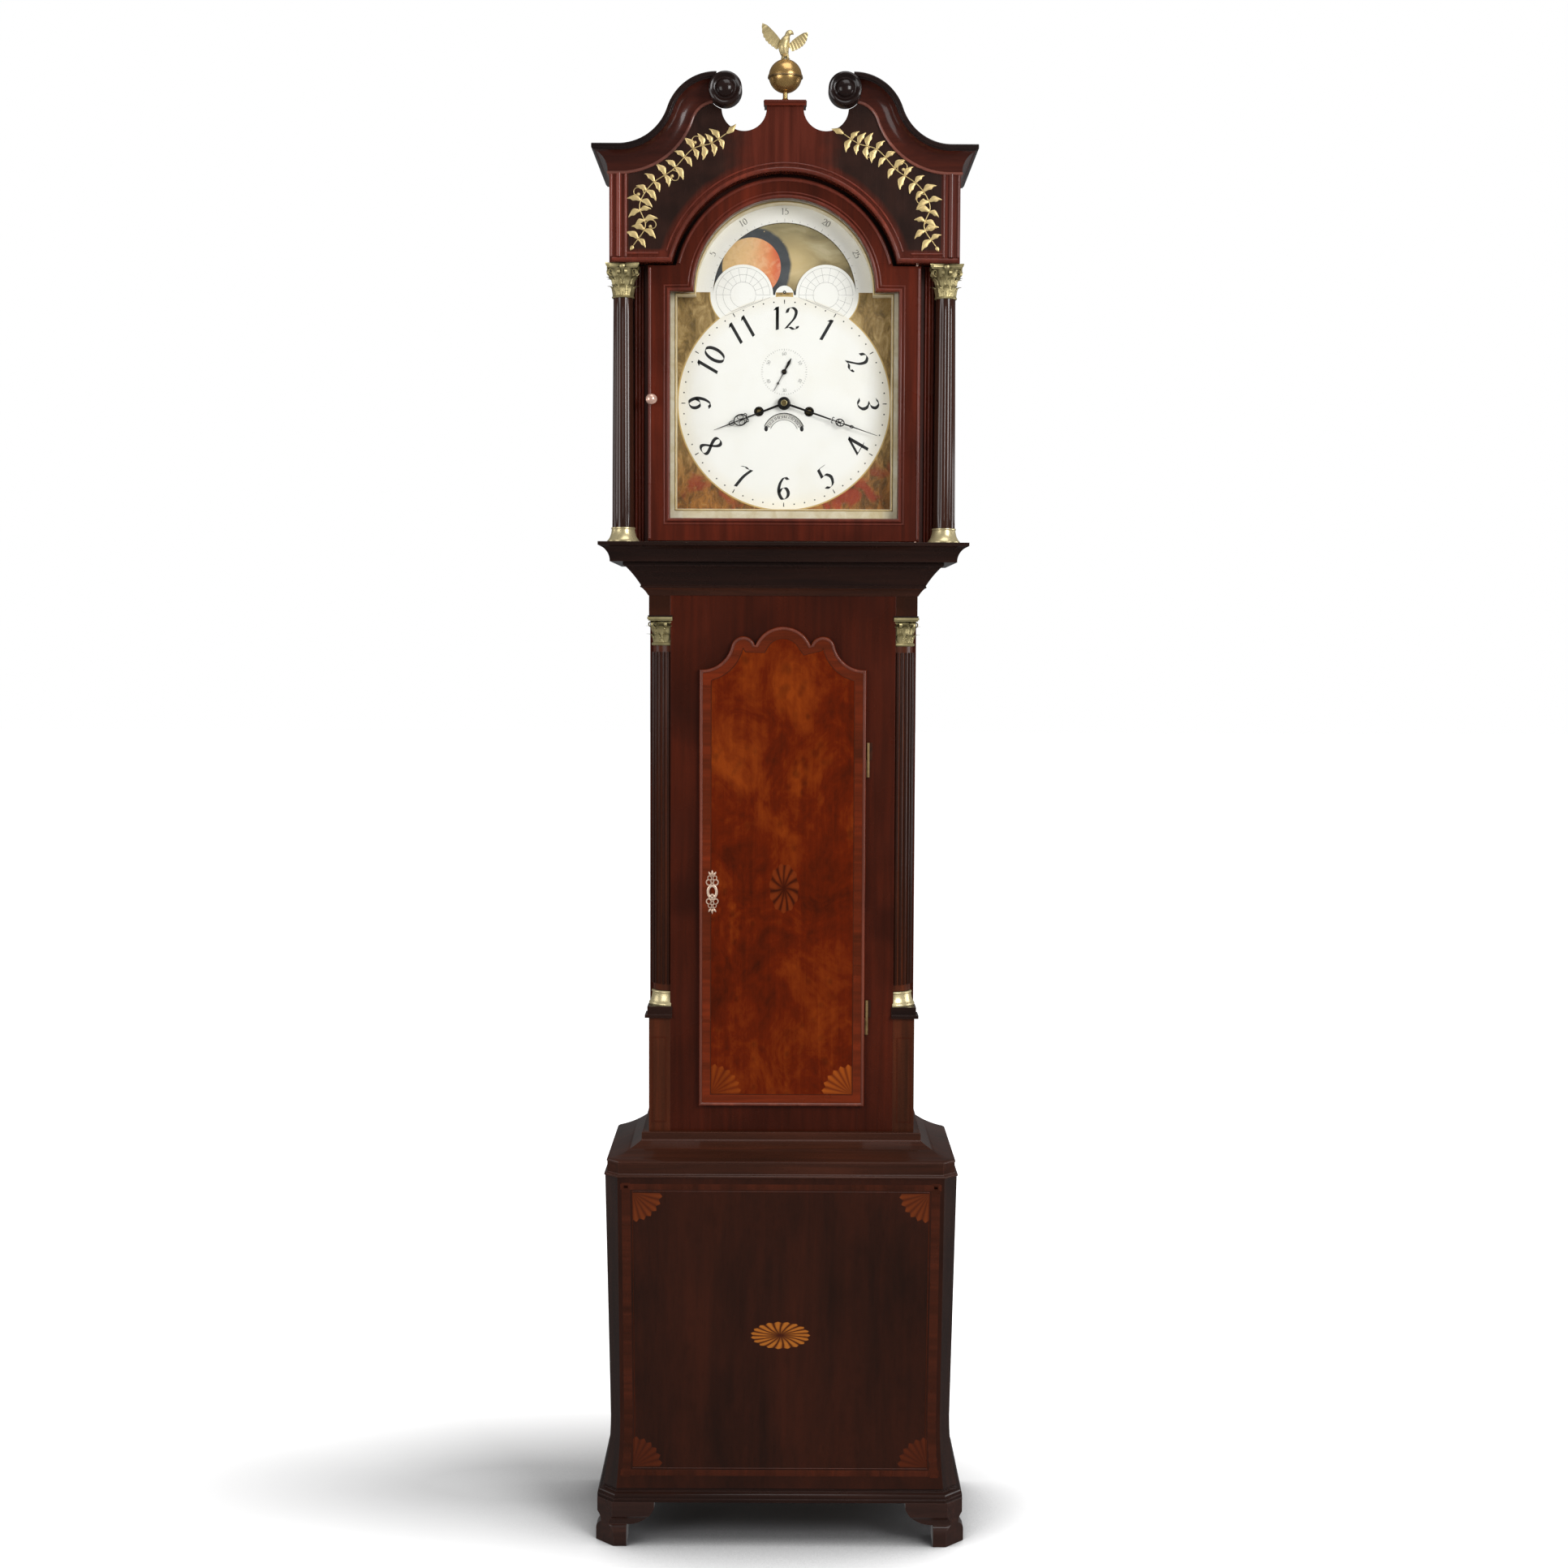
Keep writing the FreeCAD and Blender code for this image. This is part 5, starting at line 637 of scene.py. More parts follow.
def joinShapes(shapes):
    points, faces, count = [], [], 0
    for shapePoints, shapeFaces in shapes:
        points.append(np.asarray(shapePoints, float).reshape(-1, 3))
        faces += [[corner + count for corner in face] for face in shapeFaces]
        count += len(points[-1])
    return np.concatenate(points), faces


def addPiece(name, shapes, finish, body, stands=(), sharp=35, stretch=None):
    points, faces = joinShapes(shapes)
    mesh = bpy.data.meshes.new(name)
    mesh.from_pydata(points.tolist(), [], faces)
    work = bmesh.new()
    work.from_mesh(mesh)
    bmesh.ops.remove_doubles(work, verts=work.verts, dist=2e-6)
    bmesh.ops.recalc_face_normals(work, faces=work.faces)
    work.to_mesh(mesh)
    work.free()
    mesh.shade_smooth()
    mesh.set_sharp_from_angle(angle=math.radians(sharp))
    mesh.materials.append(finish)
    piece = bpy.data.objects.new(name, mesh)
    bpy.context.scene.collection.objects.link(piece)
    if stretch:  # given a stretch, the piece is only baked in place and not attached to a body; what the stretch holds is not used
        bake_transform(piece)
    else:
        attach(piece, body)
    if stands:
        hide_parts(*stands)


def lathe(profile, centre, around=64, axis="z", ripple=None):
    # each (radius, height) of the profile is carried round a circle; ripple changes the radius with the angle
    radius, height = np.array(profile, float).T[:, :, None]
    turn = np.linspace(0, math.tau, around, endpoint=False)
    reach = radius + (ripple(height, turn) if ripple else np.zeros(around))
    rise = np.broadcast_to(height, reach.shape)
    across, aside = reach * np.cos(turn), reach * np.sin(turn)
    stack = (across, aside, rise) if axis == "z" else (across, -rise, aside)
    return gridShape(np.stack(stack, -1) + np.array(centre), wrapCols=True)


def sweep(path, profile, closed=False, out=(0, -1, 0)):
    # a closed profile (side, rise) is carried along a path, its sides mitred where the path bends
    path, out = np.array(path, float), np.array(out, float)
    ahead = np.roll(path, -1, 0) - path
    behind = path - np.roll(path, 1, 0)
    if not closed:
        ahead[-1], behind[0] = behind[-1], ahead[0]
    ahead = unit(ahead)
    along = unit(ahead + unit(behind))
    left = np.cross(np.broadcast_to(out, along.shape), along)
    mitre = 1 / np.clip(np.sum(along * ahead, 1), 0.5, 1)
    side, rise = np.array(profile, float).T
    aside = left[:, None] * (side * mitre[:, None])[..., None]
    points = path[:, None] + aside + out * rise[:, None]
    return gridShape(points, wrapRows=True, wrapCols=True) if closed else tubeShape(points)


def beadProfile(width, rise, sides=9):  # half an ellipse on a base sunk a little into the face
    turn = np.linspace(0, math.pi, sides)
    foot = [(-width / 2, -0.0004), (width / 2, -0.0004)]
    return np.concatenate([foot, ringPoints(width / 2, turn, tall=2 * rise / width)])


def stripProfile(half, rise):
    return [(-half, -0.0003), (half, -0.0003), (half, rise), (-half, rise)]


def ringPoints(radius, turn, centre=(0, 0), tall=1.0):  # points of a circle, or of an oval, at the given angles
    return np.stack([radius * np.cos(turn), radius * tall * np.sin(turn)], -1) + np.array(centre)


def arcPoints(start, end, radius, count=24):
    # the shorter arc between two points; a positive radius has its centre on the left
    start, end = np.array(start, float), np.array(end, float)
    run = end - start
    length = np.linalg.norm(run)
    side = np.array([-run[1], run[0]]) / length
    centre = (start + end) / 2 + side * math.copysign(math.sqrt(max(radius ** 2 - length ** 2 / 4, 0)), radius)
    first = math.atan2(*(start - centre)[::-1])
    last = math.atan2(*(end - centre)[::-1])
    swing = (last - first + math.pi) % math.tau - math.pi
    return ringPoints(abs(radius), first + swing * np.linspace(0, 1, count), centre)


def standUp(flat, y):  # (x, z) points to 3-D on a face at depth y
    flat = np.asarray(flat, float)
    return np.stack([flat[:, 0], np.full(len(flat), y), flat[:, 1]], -1)


def layBead(line, y, width, rise, sides=9, closed=False):
    return sweep(standUp(line, y), beadProfile(width, rise, sides), closed)


def leafPatch(root, angle, length, width, rise, y, bend=0.0, lobes=0):
    # a leaf lying on a face: width swells as a sine along it, the middle stands highest, bend curls its line
    s = np.linspace(0, 1, 13)[:, None]
    t = np.linspace(-1, 1, 7)[None, :]
    half = width / 2 * np.sin(math.pi * np.clip(s, 0.002, 0.998) ** 0.8)
    if lobes:
        half = half * (1 + 0.16 * np.cos(s * lobes * math.tau))
    heading = angle + bend * s
    x = root[0] + length * s * np.cos(heading) - t * half * np.sin(heading)
    z = root[1] + length * s * np.sin(heading) + t * half * np.cos(heading)
    lift = rise * (1 - t ** 2) * np.sin(math.pi * s) ** 0.6 - 0.0002
    return gridShape(np.stack([x, y - lift, z], -1))


def discPatch(centre, radius, rise, y, around, rings, tall=1.0):
    # a low dome on a face: its height falls from the middle as a quarter circle
    ring = np.linspace(0, 1, rings)[:, None]
    turn = np.linspace(0, math.tau, around)[None, :]
    x = centre[0] + radius * ring * np.cos(turn)
    z = centre[1] + radius * tall * ring * np.sin(turn)
    depth = y - rise * np.sqrt(np.clip(1 - ring ** 2 * 0.999, 0, 1)) * np.ones_like(turn)
    depth[-1] += rise * 0.04
    return gridShape(np.stack([x, depth, z], -1))


def curveThrough(points, count=26):
    # a smooth line through the points: each span is a cubic set by its neighbours
    points = np.array(points, float)
    padded = np.concatenate([[2 * points[0] - points[1]], points, [2 * points[-1] - points[-2]]])
    t = np.linspace(0, len(points) - 1 - 1e-9, count)
    k = t.astype(int)
    f = (t - k)[:, None]
    a, b, c, d = padded[k], padded[k + 1], padded[k + 2], padded[k + 3]
    return 0.5 * (2 * b + (c - a) * f + (2 * a - 5 * b + 4 * c - d) * f ** 2 + (3 * b - a - 3 * c + d) * f ** 3)


def bodyOfRings(line, radii, around=24):
    # rings set square to a line, each with its own radius, so the body swells and tapers
    ahead = unit(np.gradient(line, axis=0))
    side = np.cross(ahead, (0, 1.0, 0))
    side = side / np.maximum(np.linalg.norm(side, axis=1, keepdims=True), 1e-9)
    other = np.cross(side, ahead)
    turn = np.linspace(0, math.tau, around, endpoint=False)[:, None]
    ring = side[:, None] * np.cos(turn) + other[:, None] * np.sin(turn)
    return gridShape(line[:, None] + radii[:, None, None] * ring, wrapCols=True)


def flatBar(start, end, startWidth, endWidth, y, thickness):
    # a straight flat bar that tapers from one width to another, chamfered along its front edges
    start, end = np.array(start, float), np.array(end, float)
    along = (end - start) / np.linalg.norm(end - start)
    s = np.linspace(0, 1, 8)[:, None]
    middle = start + (end - start) * s
    half = (startWidth + (endWidth - startWidth) * s) / 2 * (-along[1], along[0])
    section = [(-1, 0), (-1, 0.6), (-0.6, 1), (0.6, 1), (1, 0.6), (1, 0)]
    return tubeShape(np.stack([standUp(middle + half * a, y - thickness * b) for a, b in section], 1))


def flatRing(centre, outer, inner, y, thickness, tall=1.0, around=32, angle=0.0):
    # a flat ring with a rounded front, stretched along its own length by tall
    half = (outer - inner) / 2
    x, z = ringPoints(outer - half, np.linspace(0, math.tau, around, endpoint=False), tall=tall).T
    swung = np.stack([x * math.cos(angle) + z * math.sin(angle), z * math.cos(angle) - x * math.sin(angle)], -1)
    edgeRise = thickness * 0.6
    profile = [(-half, 0), (half, 0), (half, edgeRise), (half * 0.5, thickness), (-half * 0.5, thickness),
               (-half, edgeRise)]
    return sweep(standUp(swung + np.array(centre), y), profile, closed=True)


# strokes for the dial's numbers: a broad nib held level, so upright strokes are thick and level ones thin
ovalTurn = np.linspace(0, math.tau, 34)
eightWidth = 0.21 * np.sin(2 * ovalTurn) * (0.9 - 0.12 * np.cos(ovalTurn))
digitLines = {
    "0": [np.stack([0.23 * np.sin(ovalTurn), 0.5 + 0.47 * np.cos(ovalTurn)], -1)],
    "1": [[(0, 0.0), (0, 1.0)], [(0, 1.0), (-0.10, 0.86)]],
    "2": [curveThrough([(-0.20, 0.74), (-0.12, 0.93), (0.06, 0.97), (0.21, 0.80), (0.14, 0.52), (-0.06, 0.28),
                        (-0.25, 0.06)]),
          curveThrough([(-0.25, 0.06), (-0.08, 0.12), (0.10, 0.02), (0.24, 0.07), (0.27, 0.16)])],
    "3": [curveThrough([(-0.20, 0.84), (-0.02, 0.97), (0.17, 0.84), (0.12, 0.63), (-0.06, 0.54), (0.14, 0.46),
                        (0.22, 0.24), (0.04, 0.02), (-0.20, 0.12)], 34)],
    "4": [[(0.13, 0.0), (0.13, 1.0)], [(0.13, 1.0), (-0.28, 0.30)], [(-0.28, 0.30), (0.28, 0.30)]],
    "5": [[(-0.13, 0.95), (0.22, 0.99)], [(-0.13, 0.95), (-0.15, 0.55)],
          curveThrough([(-0.15, 0.55), (0.04, 0.61), (0.21, 0.40), (0.13, 0.10), (-0.06, 0.01), (-0.22, 0.11)])],
    "6": [curveThrough([(0.19, 0.88), (0.03, 0.98), (-0.16, 0.72), (-0.22, 0.34), (-0.06, 0.02), (0.15, 0.10),
                        (0.20, 0.32), (0.08, 0.52), (-0.10, 0.48), (-0.20, 0.30)], 36)],
    "7": [curveThrough([(-0.22, 0.90), (-0.08, 0.97), (0.08, 0.93), (0.24, 0.98)], 12),
          curveThrough([(0.24, 0.98), (0.06, 0.55), (-0.04, 0.0)], 16)],
    "8": [np.stack([eightWidth, 0.5 + 0.48 * np.cos(ovalTurn)], -1)],
}
digitLines["9"] = [np.array([0, 1.0]) - digitLines["6"][0]]


def writeNumber(text, centre, angle, height, y, nib=(0.135, 0.034), depth=0.00025):
    # each stroke is its line widened by the nib both ways, turned to angle, and laid on the face as a thin slab
    shapes = []
    nibs = np.array(nib) / 2
    for index, sign in enumerate(text):
        shift = (index - (len(text) - 1) / 2) * 0.62
        for line in digitLines[sign]:
            line = np.array(line, float) + (shift, -0.5)
            run, rise = np.moveaxis(np.stack([line - nibs, line + nibs], 1) * height, -1, 0)
            x = run * math.cos(angle) + rise * math.sin(angle) + centre[0]
            z = rise * math.cos(angle) - run * math.sin(angle) + centre[1]
            top = np.stack([x, np.full_like(x, y - depth), z], -1)
            base = top + (0, depth * 1.5, 0)
            shapes.append(tubeShape(np.concatenate([top, base[:, ::-1]], 1)))
    return shapes


dialMarks = {"numeralRing": 0.1265, "numeralTall": 0.0340, "minuteRing": 0.1510, "dot": 0.0011, "clear": 0.1565,
             "secondsUp": 0.047, "secondsRing": 0.0345, "tensRing": 0.0272, "tensTall": 0.0052, "ageTurn": 6.05,
             "ageInner": 0.1085, "moonRing": 0.1235, "moonTall": 0.0098, "humpAcross": 0.062,
             "humpRings": (0.0405, 0.0300, 0.0190), "slotDown": 0.046, "dateRing": 0.0268, "dateTall": 0.0048,
             "colletAcross": 0.0377, "colletDown": 0.012}
fineNib, fineDepth = (0.15, 0.04), 0.00015


def clockPoint(angle, radius, middle):
    return np.stack([np.sin(angle) * radius, middle + np.cos(angle) * radius], -1)


def dialTick(angle, inner, outer, middle, startWidth=0.0005, endWidth=0.0005, thickness=fineDepth):
    return flatBar(clockPoint(angle, inner, middle), clockPoint(angle, outer, middle), startWidth, endWidth,
                   dialFront, thickness)


def hourMarks():
    # twelve numbers, the lower five upside down, and a dot or a bar at each minute
    ring, shapes = dialMarks["minuteRing"], []
    for hour in range(1, 13):
        angle = hour * math.tau / 12
        upright = angle + math.pi if hour in (4, 5, 6, 7, 8) else angle
        shapes += writeNumber(str(hour), clockPoint(angle, dialMarks["numeralRing"], dialCentre), upright,
                              dialMarks["numeralTall"], dialFront)
    for minute in range(60):
        angle = minute * math.tau / 60
        if minute % 5:
            spot = clockPoint(angle, ring, dialCentre)
            shapes.append(discPatch(spot, dialMarks["dot"], 0.0002, dialFront, 12, 3))
        else:
            shapes.append(dialTick(angle, ring - 0.003, ring + 0.003, dialCentre, 0.0010, 0.0016, 0.0002))
    return shapes


def secondsMarks():
    middle, ring, shapes = dialCentre + dialMarks["secondsUp"], dialMarks["secondsRing"], []
    for tick in range(60):
        reach = 0.0019 if tick % 5 else 0.0032
        shapes.append(dialTick(tick * math.tau / 60, ring, ring - reach, middle))
    for tens in range(1, 7):
        angle = tens * math.tau / 6
        upright = angle + math.pi if tens in (2, 3, 4) else angle
        shapes += writeNumber(str(tens * 10), clockPoint(angle, dialMarks["tensRing"], middle), upright,
                              dialMarks["tensTall"], dialFront, (0.13, 0.05), fineDepth)
    return shapes


def moonAgeMarks():
    # the moon's age along the arch: a tick for each day, a longer one and a number at each fifth
    shapes = []
    for age in range(1, 30):
        angle = (age - 15) * math.radians(dialMarks["ageTurn"])
        fifth = age % 5 == 0
        inner = dialMarks["ageInner"] - (0.0005 if fifth else 0)
        shapes.append(dialTick(angle, inner, inner + (0.0045 if fifth else 0.0022), archCentre))
        if fifth:
            shapes += writeNumber(str(age), clockPoint(angle, dialMarks["moonRing"], archCentre), angle,
                                  dialMarks["moonTall"], dialFront, fineNib, fineDepth)
    return shapes


def humpMarks():
    # fine rings and rays on the two humps, left off where they would enter the main dial
    rings, shapes = dialMarks["humpRings"], []

    def outside(points):
        return np.hypot(points[..., 0], points[..., 1] - dialCentre) >= dialMarks["clear"]

    for side in (-1, 1):
        middle = np.array((side * dialMarks["humpAcross"], archCentre))
        for radius in rings:
            circle = ringPoints(radius, np.linspace(0, math.tau, 72, endpoint=False), middle)
            keep = circle[outside(circle)]
            run, rise = (keep - middle).T
            order = np.argsort(np.unwrap(np.arctan2(rise + 1e-9, side * run)))
            shapes.append(sweep(standUp(keep[order], dialFront), stripProfile(0.00018, 0.00012)))
        for ray in range(-3, 10):
            ends = np.array([ringPoints(radius, ray * math.tau / 18, middle) for radius in (rings[2], rings[0])])
            if outside(ends).all():
                shapes.append(flatBar(*ends, 0.0003, 0.0003, dialFront, 0.00012))
    return shapes


def makeDial():
    y = dialFront
    addPiece("dialNumerals", hourMarks(), inkPaint, "case", sharp=50)
    fine = secondsMarks() + moonAgeMarks() + humpMarks()
    addPiece("dialFineMarks", fine, faintInk, "case", sharp=50)
    slotMiddle = dialCentre - dialMarks["slotDown"]
    slotTurn = np.linspace(math.radians(22), math.radians(158), 40)
    lines = [layBead(ringPoints(radius, slotTurn, (0, slotMiddle)), y, width, 0.0003)
             for radius, width in ((0.0316, 0.0012), (0.0216, 0.0006))]
    lines += [discPatch((side * 0.0268, slotMiddle + 0.0085), 0.0028, 0.0006, y, 24, 4, 1.5) for side in (-1, 1)]
    lines.append(flatRing((0, archCentre + 0.004), 0.0024, 0.0010, y, 0.0006))
    addPiece("calendarFrame", lines, inkPaint, "case", sharp=50)
    colletUp = dialCentre - dialMarks["colletDown"]
    rings = [flatRing((side * dialMarks["colletAcross"], colletUp), 0.0073, 0.0055, y, 0.0008) for side in (-1, 1)]
    rings.append(flatRing((0, dialCentre), 0.0098, 0.0067, y, 0.0009))
    addPiece("windingCollets", rings, handSteel, "case")
    date = []
    for day in range(1, 32):
        angle = (day - 16) * math.tau / 31
        date += writeNumber(str(day), clockPoint(angle, dialMarks["dateRing"], slotMiddle), angle,
                            dialMarks["dateTall"], edge("date_ring", 1, 0), fineNib, fineDepth)
    addPiece("dateNumbers", date, inkPaint, "date_disc", sharp=50)
    print("dial lettered")


def makeMoons():
    # each moon is a low dome; gilt stars are kept in a narrow ring round it
    front, middle = edge("moon_disc", 1, 0), (0, archCentre)
    moons = [side * np.array([moonSpots["across"], moonSpots["up"]]) for side in (1, -1)]
    shapes = [discPatch(moon + middle, moonSpots["radius"], moonSpots["dome"], front, 96, 10) for moon in moons]
    addPiece("paintedMoons", shapes, moonFinish(), "moon_plate")
    rng = np.random.default_rng(7)
    count, stars = moonSpots["stars"], []
    for share, radius in zip(rng.random((count, 2)), rng.uniform(0.0006, 0.0014, count)):
        star = ringPoints(0.028 + 0.076 * math.sqrt(share[1]), share[0] * math.tau)
        if 0.048 < min(np.hypot(*(star - moon)) for moon in moons) < 0.060:
            stars.append(discPatch(star + middle, radius, 0.0002, front, 8, 3))
    addPiece("moonStars", stars, giltLeaf, "moon_plate")
    print("moon painted")


handShapes = {"hour": {"angle": 249, "length": 0.1125, "body": "hour_sleeve", "belly": 0.62, "loop": 0.0088,
                       "pipe": 0.0060},
              "minute": {"angle": 109, "length": 0.1480, "body": "centre_arbor", "belly": 0.60, "loop": 0.0058,
                         "pipe": 0.0038},
              "seconds": {"angle": 208, "length": 0.0315, "body": "escape_arbor"}}


def makeHands():
    # the long hands are bars and pierced loops set along a line; the seconds hand is a tapered bar with a tail
    for name, setting in handShapes.items():
        node = name + "_hand"
        angle, reach = math.radians(setting["angle"]), setting["length"]
        back = edge(node, 1, 1)
        thick = back - edge(node, 1, 0)
        middle = dialCentre + (dialMarks["secondsUp"] if name == "seconds" else 0)

        def at(along, aside=0.0):
            return (along * math.sin(angle) + aside * math.cos(angle),
                    middle + along * math.cos(angle) - aside * math.sin(angle))

        def bar(low, high, lowWidth, highWidth):
            return flatBar(at(low), at(high), lowWidth, highWidth, back, thick)

        def hoop(along, outer, inner, aside=0.0, tall=1.0, around=32, turn=0.0):
            return flatRing(at(along, aside), outer, inner, back, thick, tall, around, turn)

        if name == "seconds":
            shapes = [bar(-0.0225, -0.0150, 0.0006, 0.0046), bar(-0.0150, 0, 0.0044, 0.0012),
                      bar(0, reach, 0.0014, 0.0006), hoop(0, 0.0040, 0.0010), hoop(reach * 0.62, 0.0017, 0.0009)]
        else:
            loop, heart = setting["loop"], reach * setting["belly"]
            small = loop * 0.42
            shapes = [hoop(0, 0.0092, setting["pipe"]), bar(0.0085, heart - reach * 0.1, 0.0034, 0.0022),
                      hoop(heart, loop, loop - 0.0016, 0, 1.25, 40, angle),
                      bar(heart - reach * 0.1, heart + loop, 0.0014, 0.0014),
                      hoop(heart + reach * 0.125, small, small - 0.0011, 0, 1.4, 28, angle),
                      bar(heart + loop * 1.2, reach, 0.0022, 0.0006)]
            curl = np.linspace(0, 1, 22)
            for side in (-1, 1):
                shapes.append(hoop(heart - loop * 0.1, small, small - 0.0011, side * loop * 0.48, 1.5, 28,
                                   angle + side * 0.3))
                run, rise = ringPoints(small * (1 - curl * 0.75), curl * 4.2).T
                spiral = np.stack(at(heart - reach * 0.075 - rise, side * (loop * 0.55 - run)), -1)
                shapes.append(sweep(standUp(spiral, back), stripProfile(0.00055, thick)))
        addPiece(name + "Pierced", shapes, handSteel, setting["body"], (node,))
    cap = lathe([(0.0, 0.0006), (0.0030, 0.0004), (0.0046, -0.0002), (0.0048, -0.0010)],
                (0, edge("minute_hand", 1, 0) - 0.0006, dialCentre), 40, "y")
    addPiece("handCollet", [cap], castBrass, "centre_arbor")
    print("hands pierced")


makeDial()
makeMoons()
makeHands()

hoodTrim = {"archRadius": 0.170, "beadWidth": 0.0064, "beadRise": 0.0034, "beadIn": 0.0036, "cornerIn": 0.2335,
            "neckStart": 0.243, "neckRun": 0.143, "neckRise": 0.103, "bossAcross": 0.087, "bossUp": 0.078}
friezeVine = {"line": [(0.222, 0.024), (0.2045, 0.052), (0.2130, 0.082), (0.1960, 0.112), (0.1640, 0.134),
                       (0.1360, 0.163), (0.1080, 0.172), (0.0860, 0.186)],
              "leafSpots": range(4, 88, 6), "curlSpots": (14, 32, 50, 68)}


def friezeVineShapes(side):
    # a stem with lobed leaves in pairs and curls that wind up to a berry, each step of a curl shorter than the last
    y = friezeFront
    vine = curveThrough(np.array(friezeVine["line"]) * (side, 1) + (0, friezeBottom), 90)
    run, rise = np.gradient(vine, axis=0).T
    heading = np.arctan2(rise, run)
    shapes = [layBead(vine, y, 0.0016, 0.0009, 7)]
    for index, spot in enumerate(friezeVine["leafSpots"]):
        for hand in (-1, 1):
            big = 0.6 + 0.4 * math.sin(index * 1.9 + hand)
            shapes.append(leafPatch(vine[spot], heading[spot] + hand * 1.05, 0.0155 + 0.0065 * big,
                                    0.0078 + 0.0026 * big, 0.0011, y, hand * 0.7, 2))
    curl = np.linspace(0, 1, 34)
    for index, spot in enumerate(friezeVine["curlSpots"]):
        hand = 1 if index % 2 else -1
        swing = heading[spot] + hand * (0.5 + curl * 5.6)
        spiral = vine[spot] + np.cumsum(ringPoints(0.0016 * (1 - 0.72 * curl), swing), 0)
        shapes += [layBead(spiral, y, 0.0013, 0.0008, 7), discPatch(spiral[-1], 0.0026, 0.0015, y, 16, 4)]
    shapes.append(leafPatch(vine[-1], heading[-1], 0.020, 0.009, 0.0012, y, 0.2, 2))
    shapes.append(leafPatch(vine[0], heading[0] + math.pi, 0.009, 0.006, 0.0010, y))
    return shapes


def makeFrieze():
    # beads along the frieze's arch and lower edge and up its ends, then the gilt vines
    y, inset, corner = friezeFront, hoodTrim["beadIn"], hoodTrim["cornerIn"]
    arch = hoodTrim["archRadius"] + inset
    low = friezeBottom + 0.0040
    spring = math.asin((low - archCentre) / arch)
    turn = np.linspace(spring, math.pi - spring, 90)
    ends = [[(side * (friezeHalf - inset), low)] for side in (1, -1)]
    archLine = np.concatenate([ends[0], ringPoints(arch, turn, (0, archCentre)), ends[1]])
    beads = [layBead(archLine, y, hoodTrim["beadWidth"], hoodTrim["beadRise"])]
    inner = ringPoints(hoodTrim["archRadius"] + 0.0118, turn, (0, archCentre))
    beads.append(layBead(inner[inner[:, 1] > friezeBottom + 0.0135], y, 0.0030, 0.0016))
    for side in (-1, 1):
        for x, width in ((corner, 0.0040), (0.2440, 0.0085), (friezeHalf - 0.0028, 0.0048)):
            upright = [(side * x, friezeBottom + 0.008), (side * x, corniceTop - 0.0385)]
            beads.append(layBead(upright, y, width, width * 0.45))
        level = [(side * x, friezeBottom + 0.0128) for x in (0.1855, corner)]
        beads.append(layBead(level, y, 0.0036, 0.0018))
    addPiece("friezeBeads", beads, beadWoodPaintedHighlight, "hood")
    vines = friezeVineShapes(-1) + friezeVineShapes(1)
    addPiece("friezeLeaves", vines, giltLeaf, "hood", sharp=60)
    print("frieze dressed")


def neckLine(count=40):
    # the swan neck: two equal arcs, hollow then full, from the cornice up to the scroll
    run, rise, start = hoodTrim["neckRun"], hoodTrim["neckRise"], hoodTrim["neckStart"]
    radius = (run ** 2 + rise ** 2) / (4 * rise)
    half = (start - run / 2, corniceTop + rise / 2)
    low = arcPoints((start, corniceTop), half, -radius, count)
    high = arcPoints(half, (start - run, corniceTop + rise), radius, count)
    return np.concatenate([low, high[1:]])


def neckRun(profile, side):
    # each (drop, reach) of a closed profile comes forward along the hood's side, turns the corner on a mitre
    # and climbs the neck
    drop, reach = np.array(profile, float).T
    line = neckLine()
    ahead = unit(np.gradient(line, axis=0))
    run = line[:, None] + np.stack([-ahead[:, 1], ahead[:, 0]], -1)[:, None] * drop[:, None]
    face = np.stack([run[..., 0], np.broadcast_to(friezeFront - reach, run.shape[:2]), run[..., 1]], -1)
    corner = np.stack([friezeHalf + reach, friezeFront - reach, corniceTop - drop], -1)
    rear = np.stack([friezeHalf + reach, np.full_like(reach, edge("cornice_returns", 1, 1)), corniceTop - drop], -1)
    return tubeShape(np.concatenate([rear[None], corner[None], face]) * (side, 1, 1))


bossProfile = [(0.0243, -0.0250), (0.0243, -0.0004), (0.0236, 0.0016), (0.0214, 0.0026), (0.0190, 0.0020),
               (0.0172, 0.0002), (0.0152, -0.0004), (0.0136, 0.0006), (0.0128, 0.0026), (0.0108, 0.0052),
               (0.0076, 0.0072), (0.0038, 0.0082), (0.0, 0.0085)]
neckCourses = {
    "neckLip": (scrollWood, [(0.0, -0.0004), (0.0090, -0.0004), (0.0090, 0.0222), (0.0072, 0.0222), (0.0072, 0.0236),
                             (0.0060, 0.0245), (0.0012, 0.0245), (0.0, 0.0238)]),
    "neckCove": (neckWood, [(0.0088, -0.0004), (0.0356, -0.0004), (0.0356, 0.0024),
                            *arcPoints((0.0352, 0.0024), (0.0088, 0.0206), -0.026, 16)]),
    "neckBead": (scrollBeadWithPaintedHighlight, [(0.0354, -0.0004), (0.0400, -0.0004), (0.0400, 0.0014), (0.0394, 0.0028),
                                  (0.0380, 0.0034), (0.0366, 0.0030), (0.0354, 0.0018)]),
}


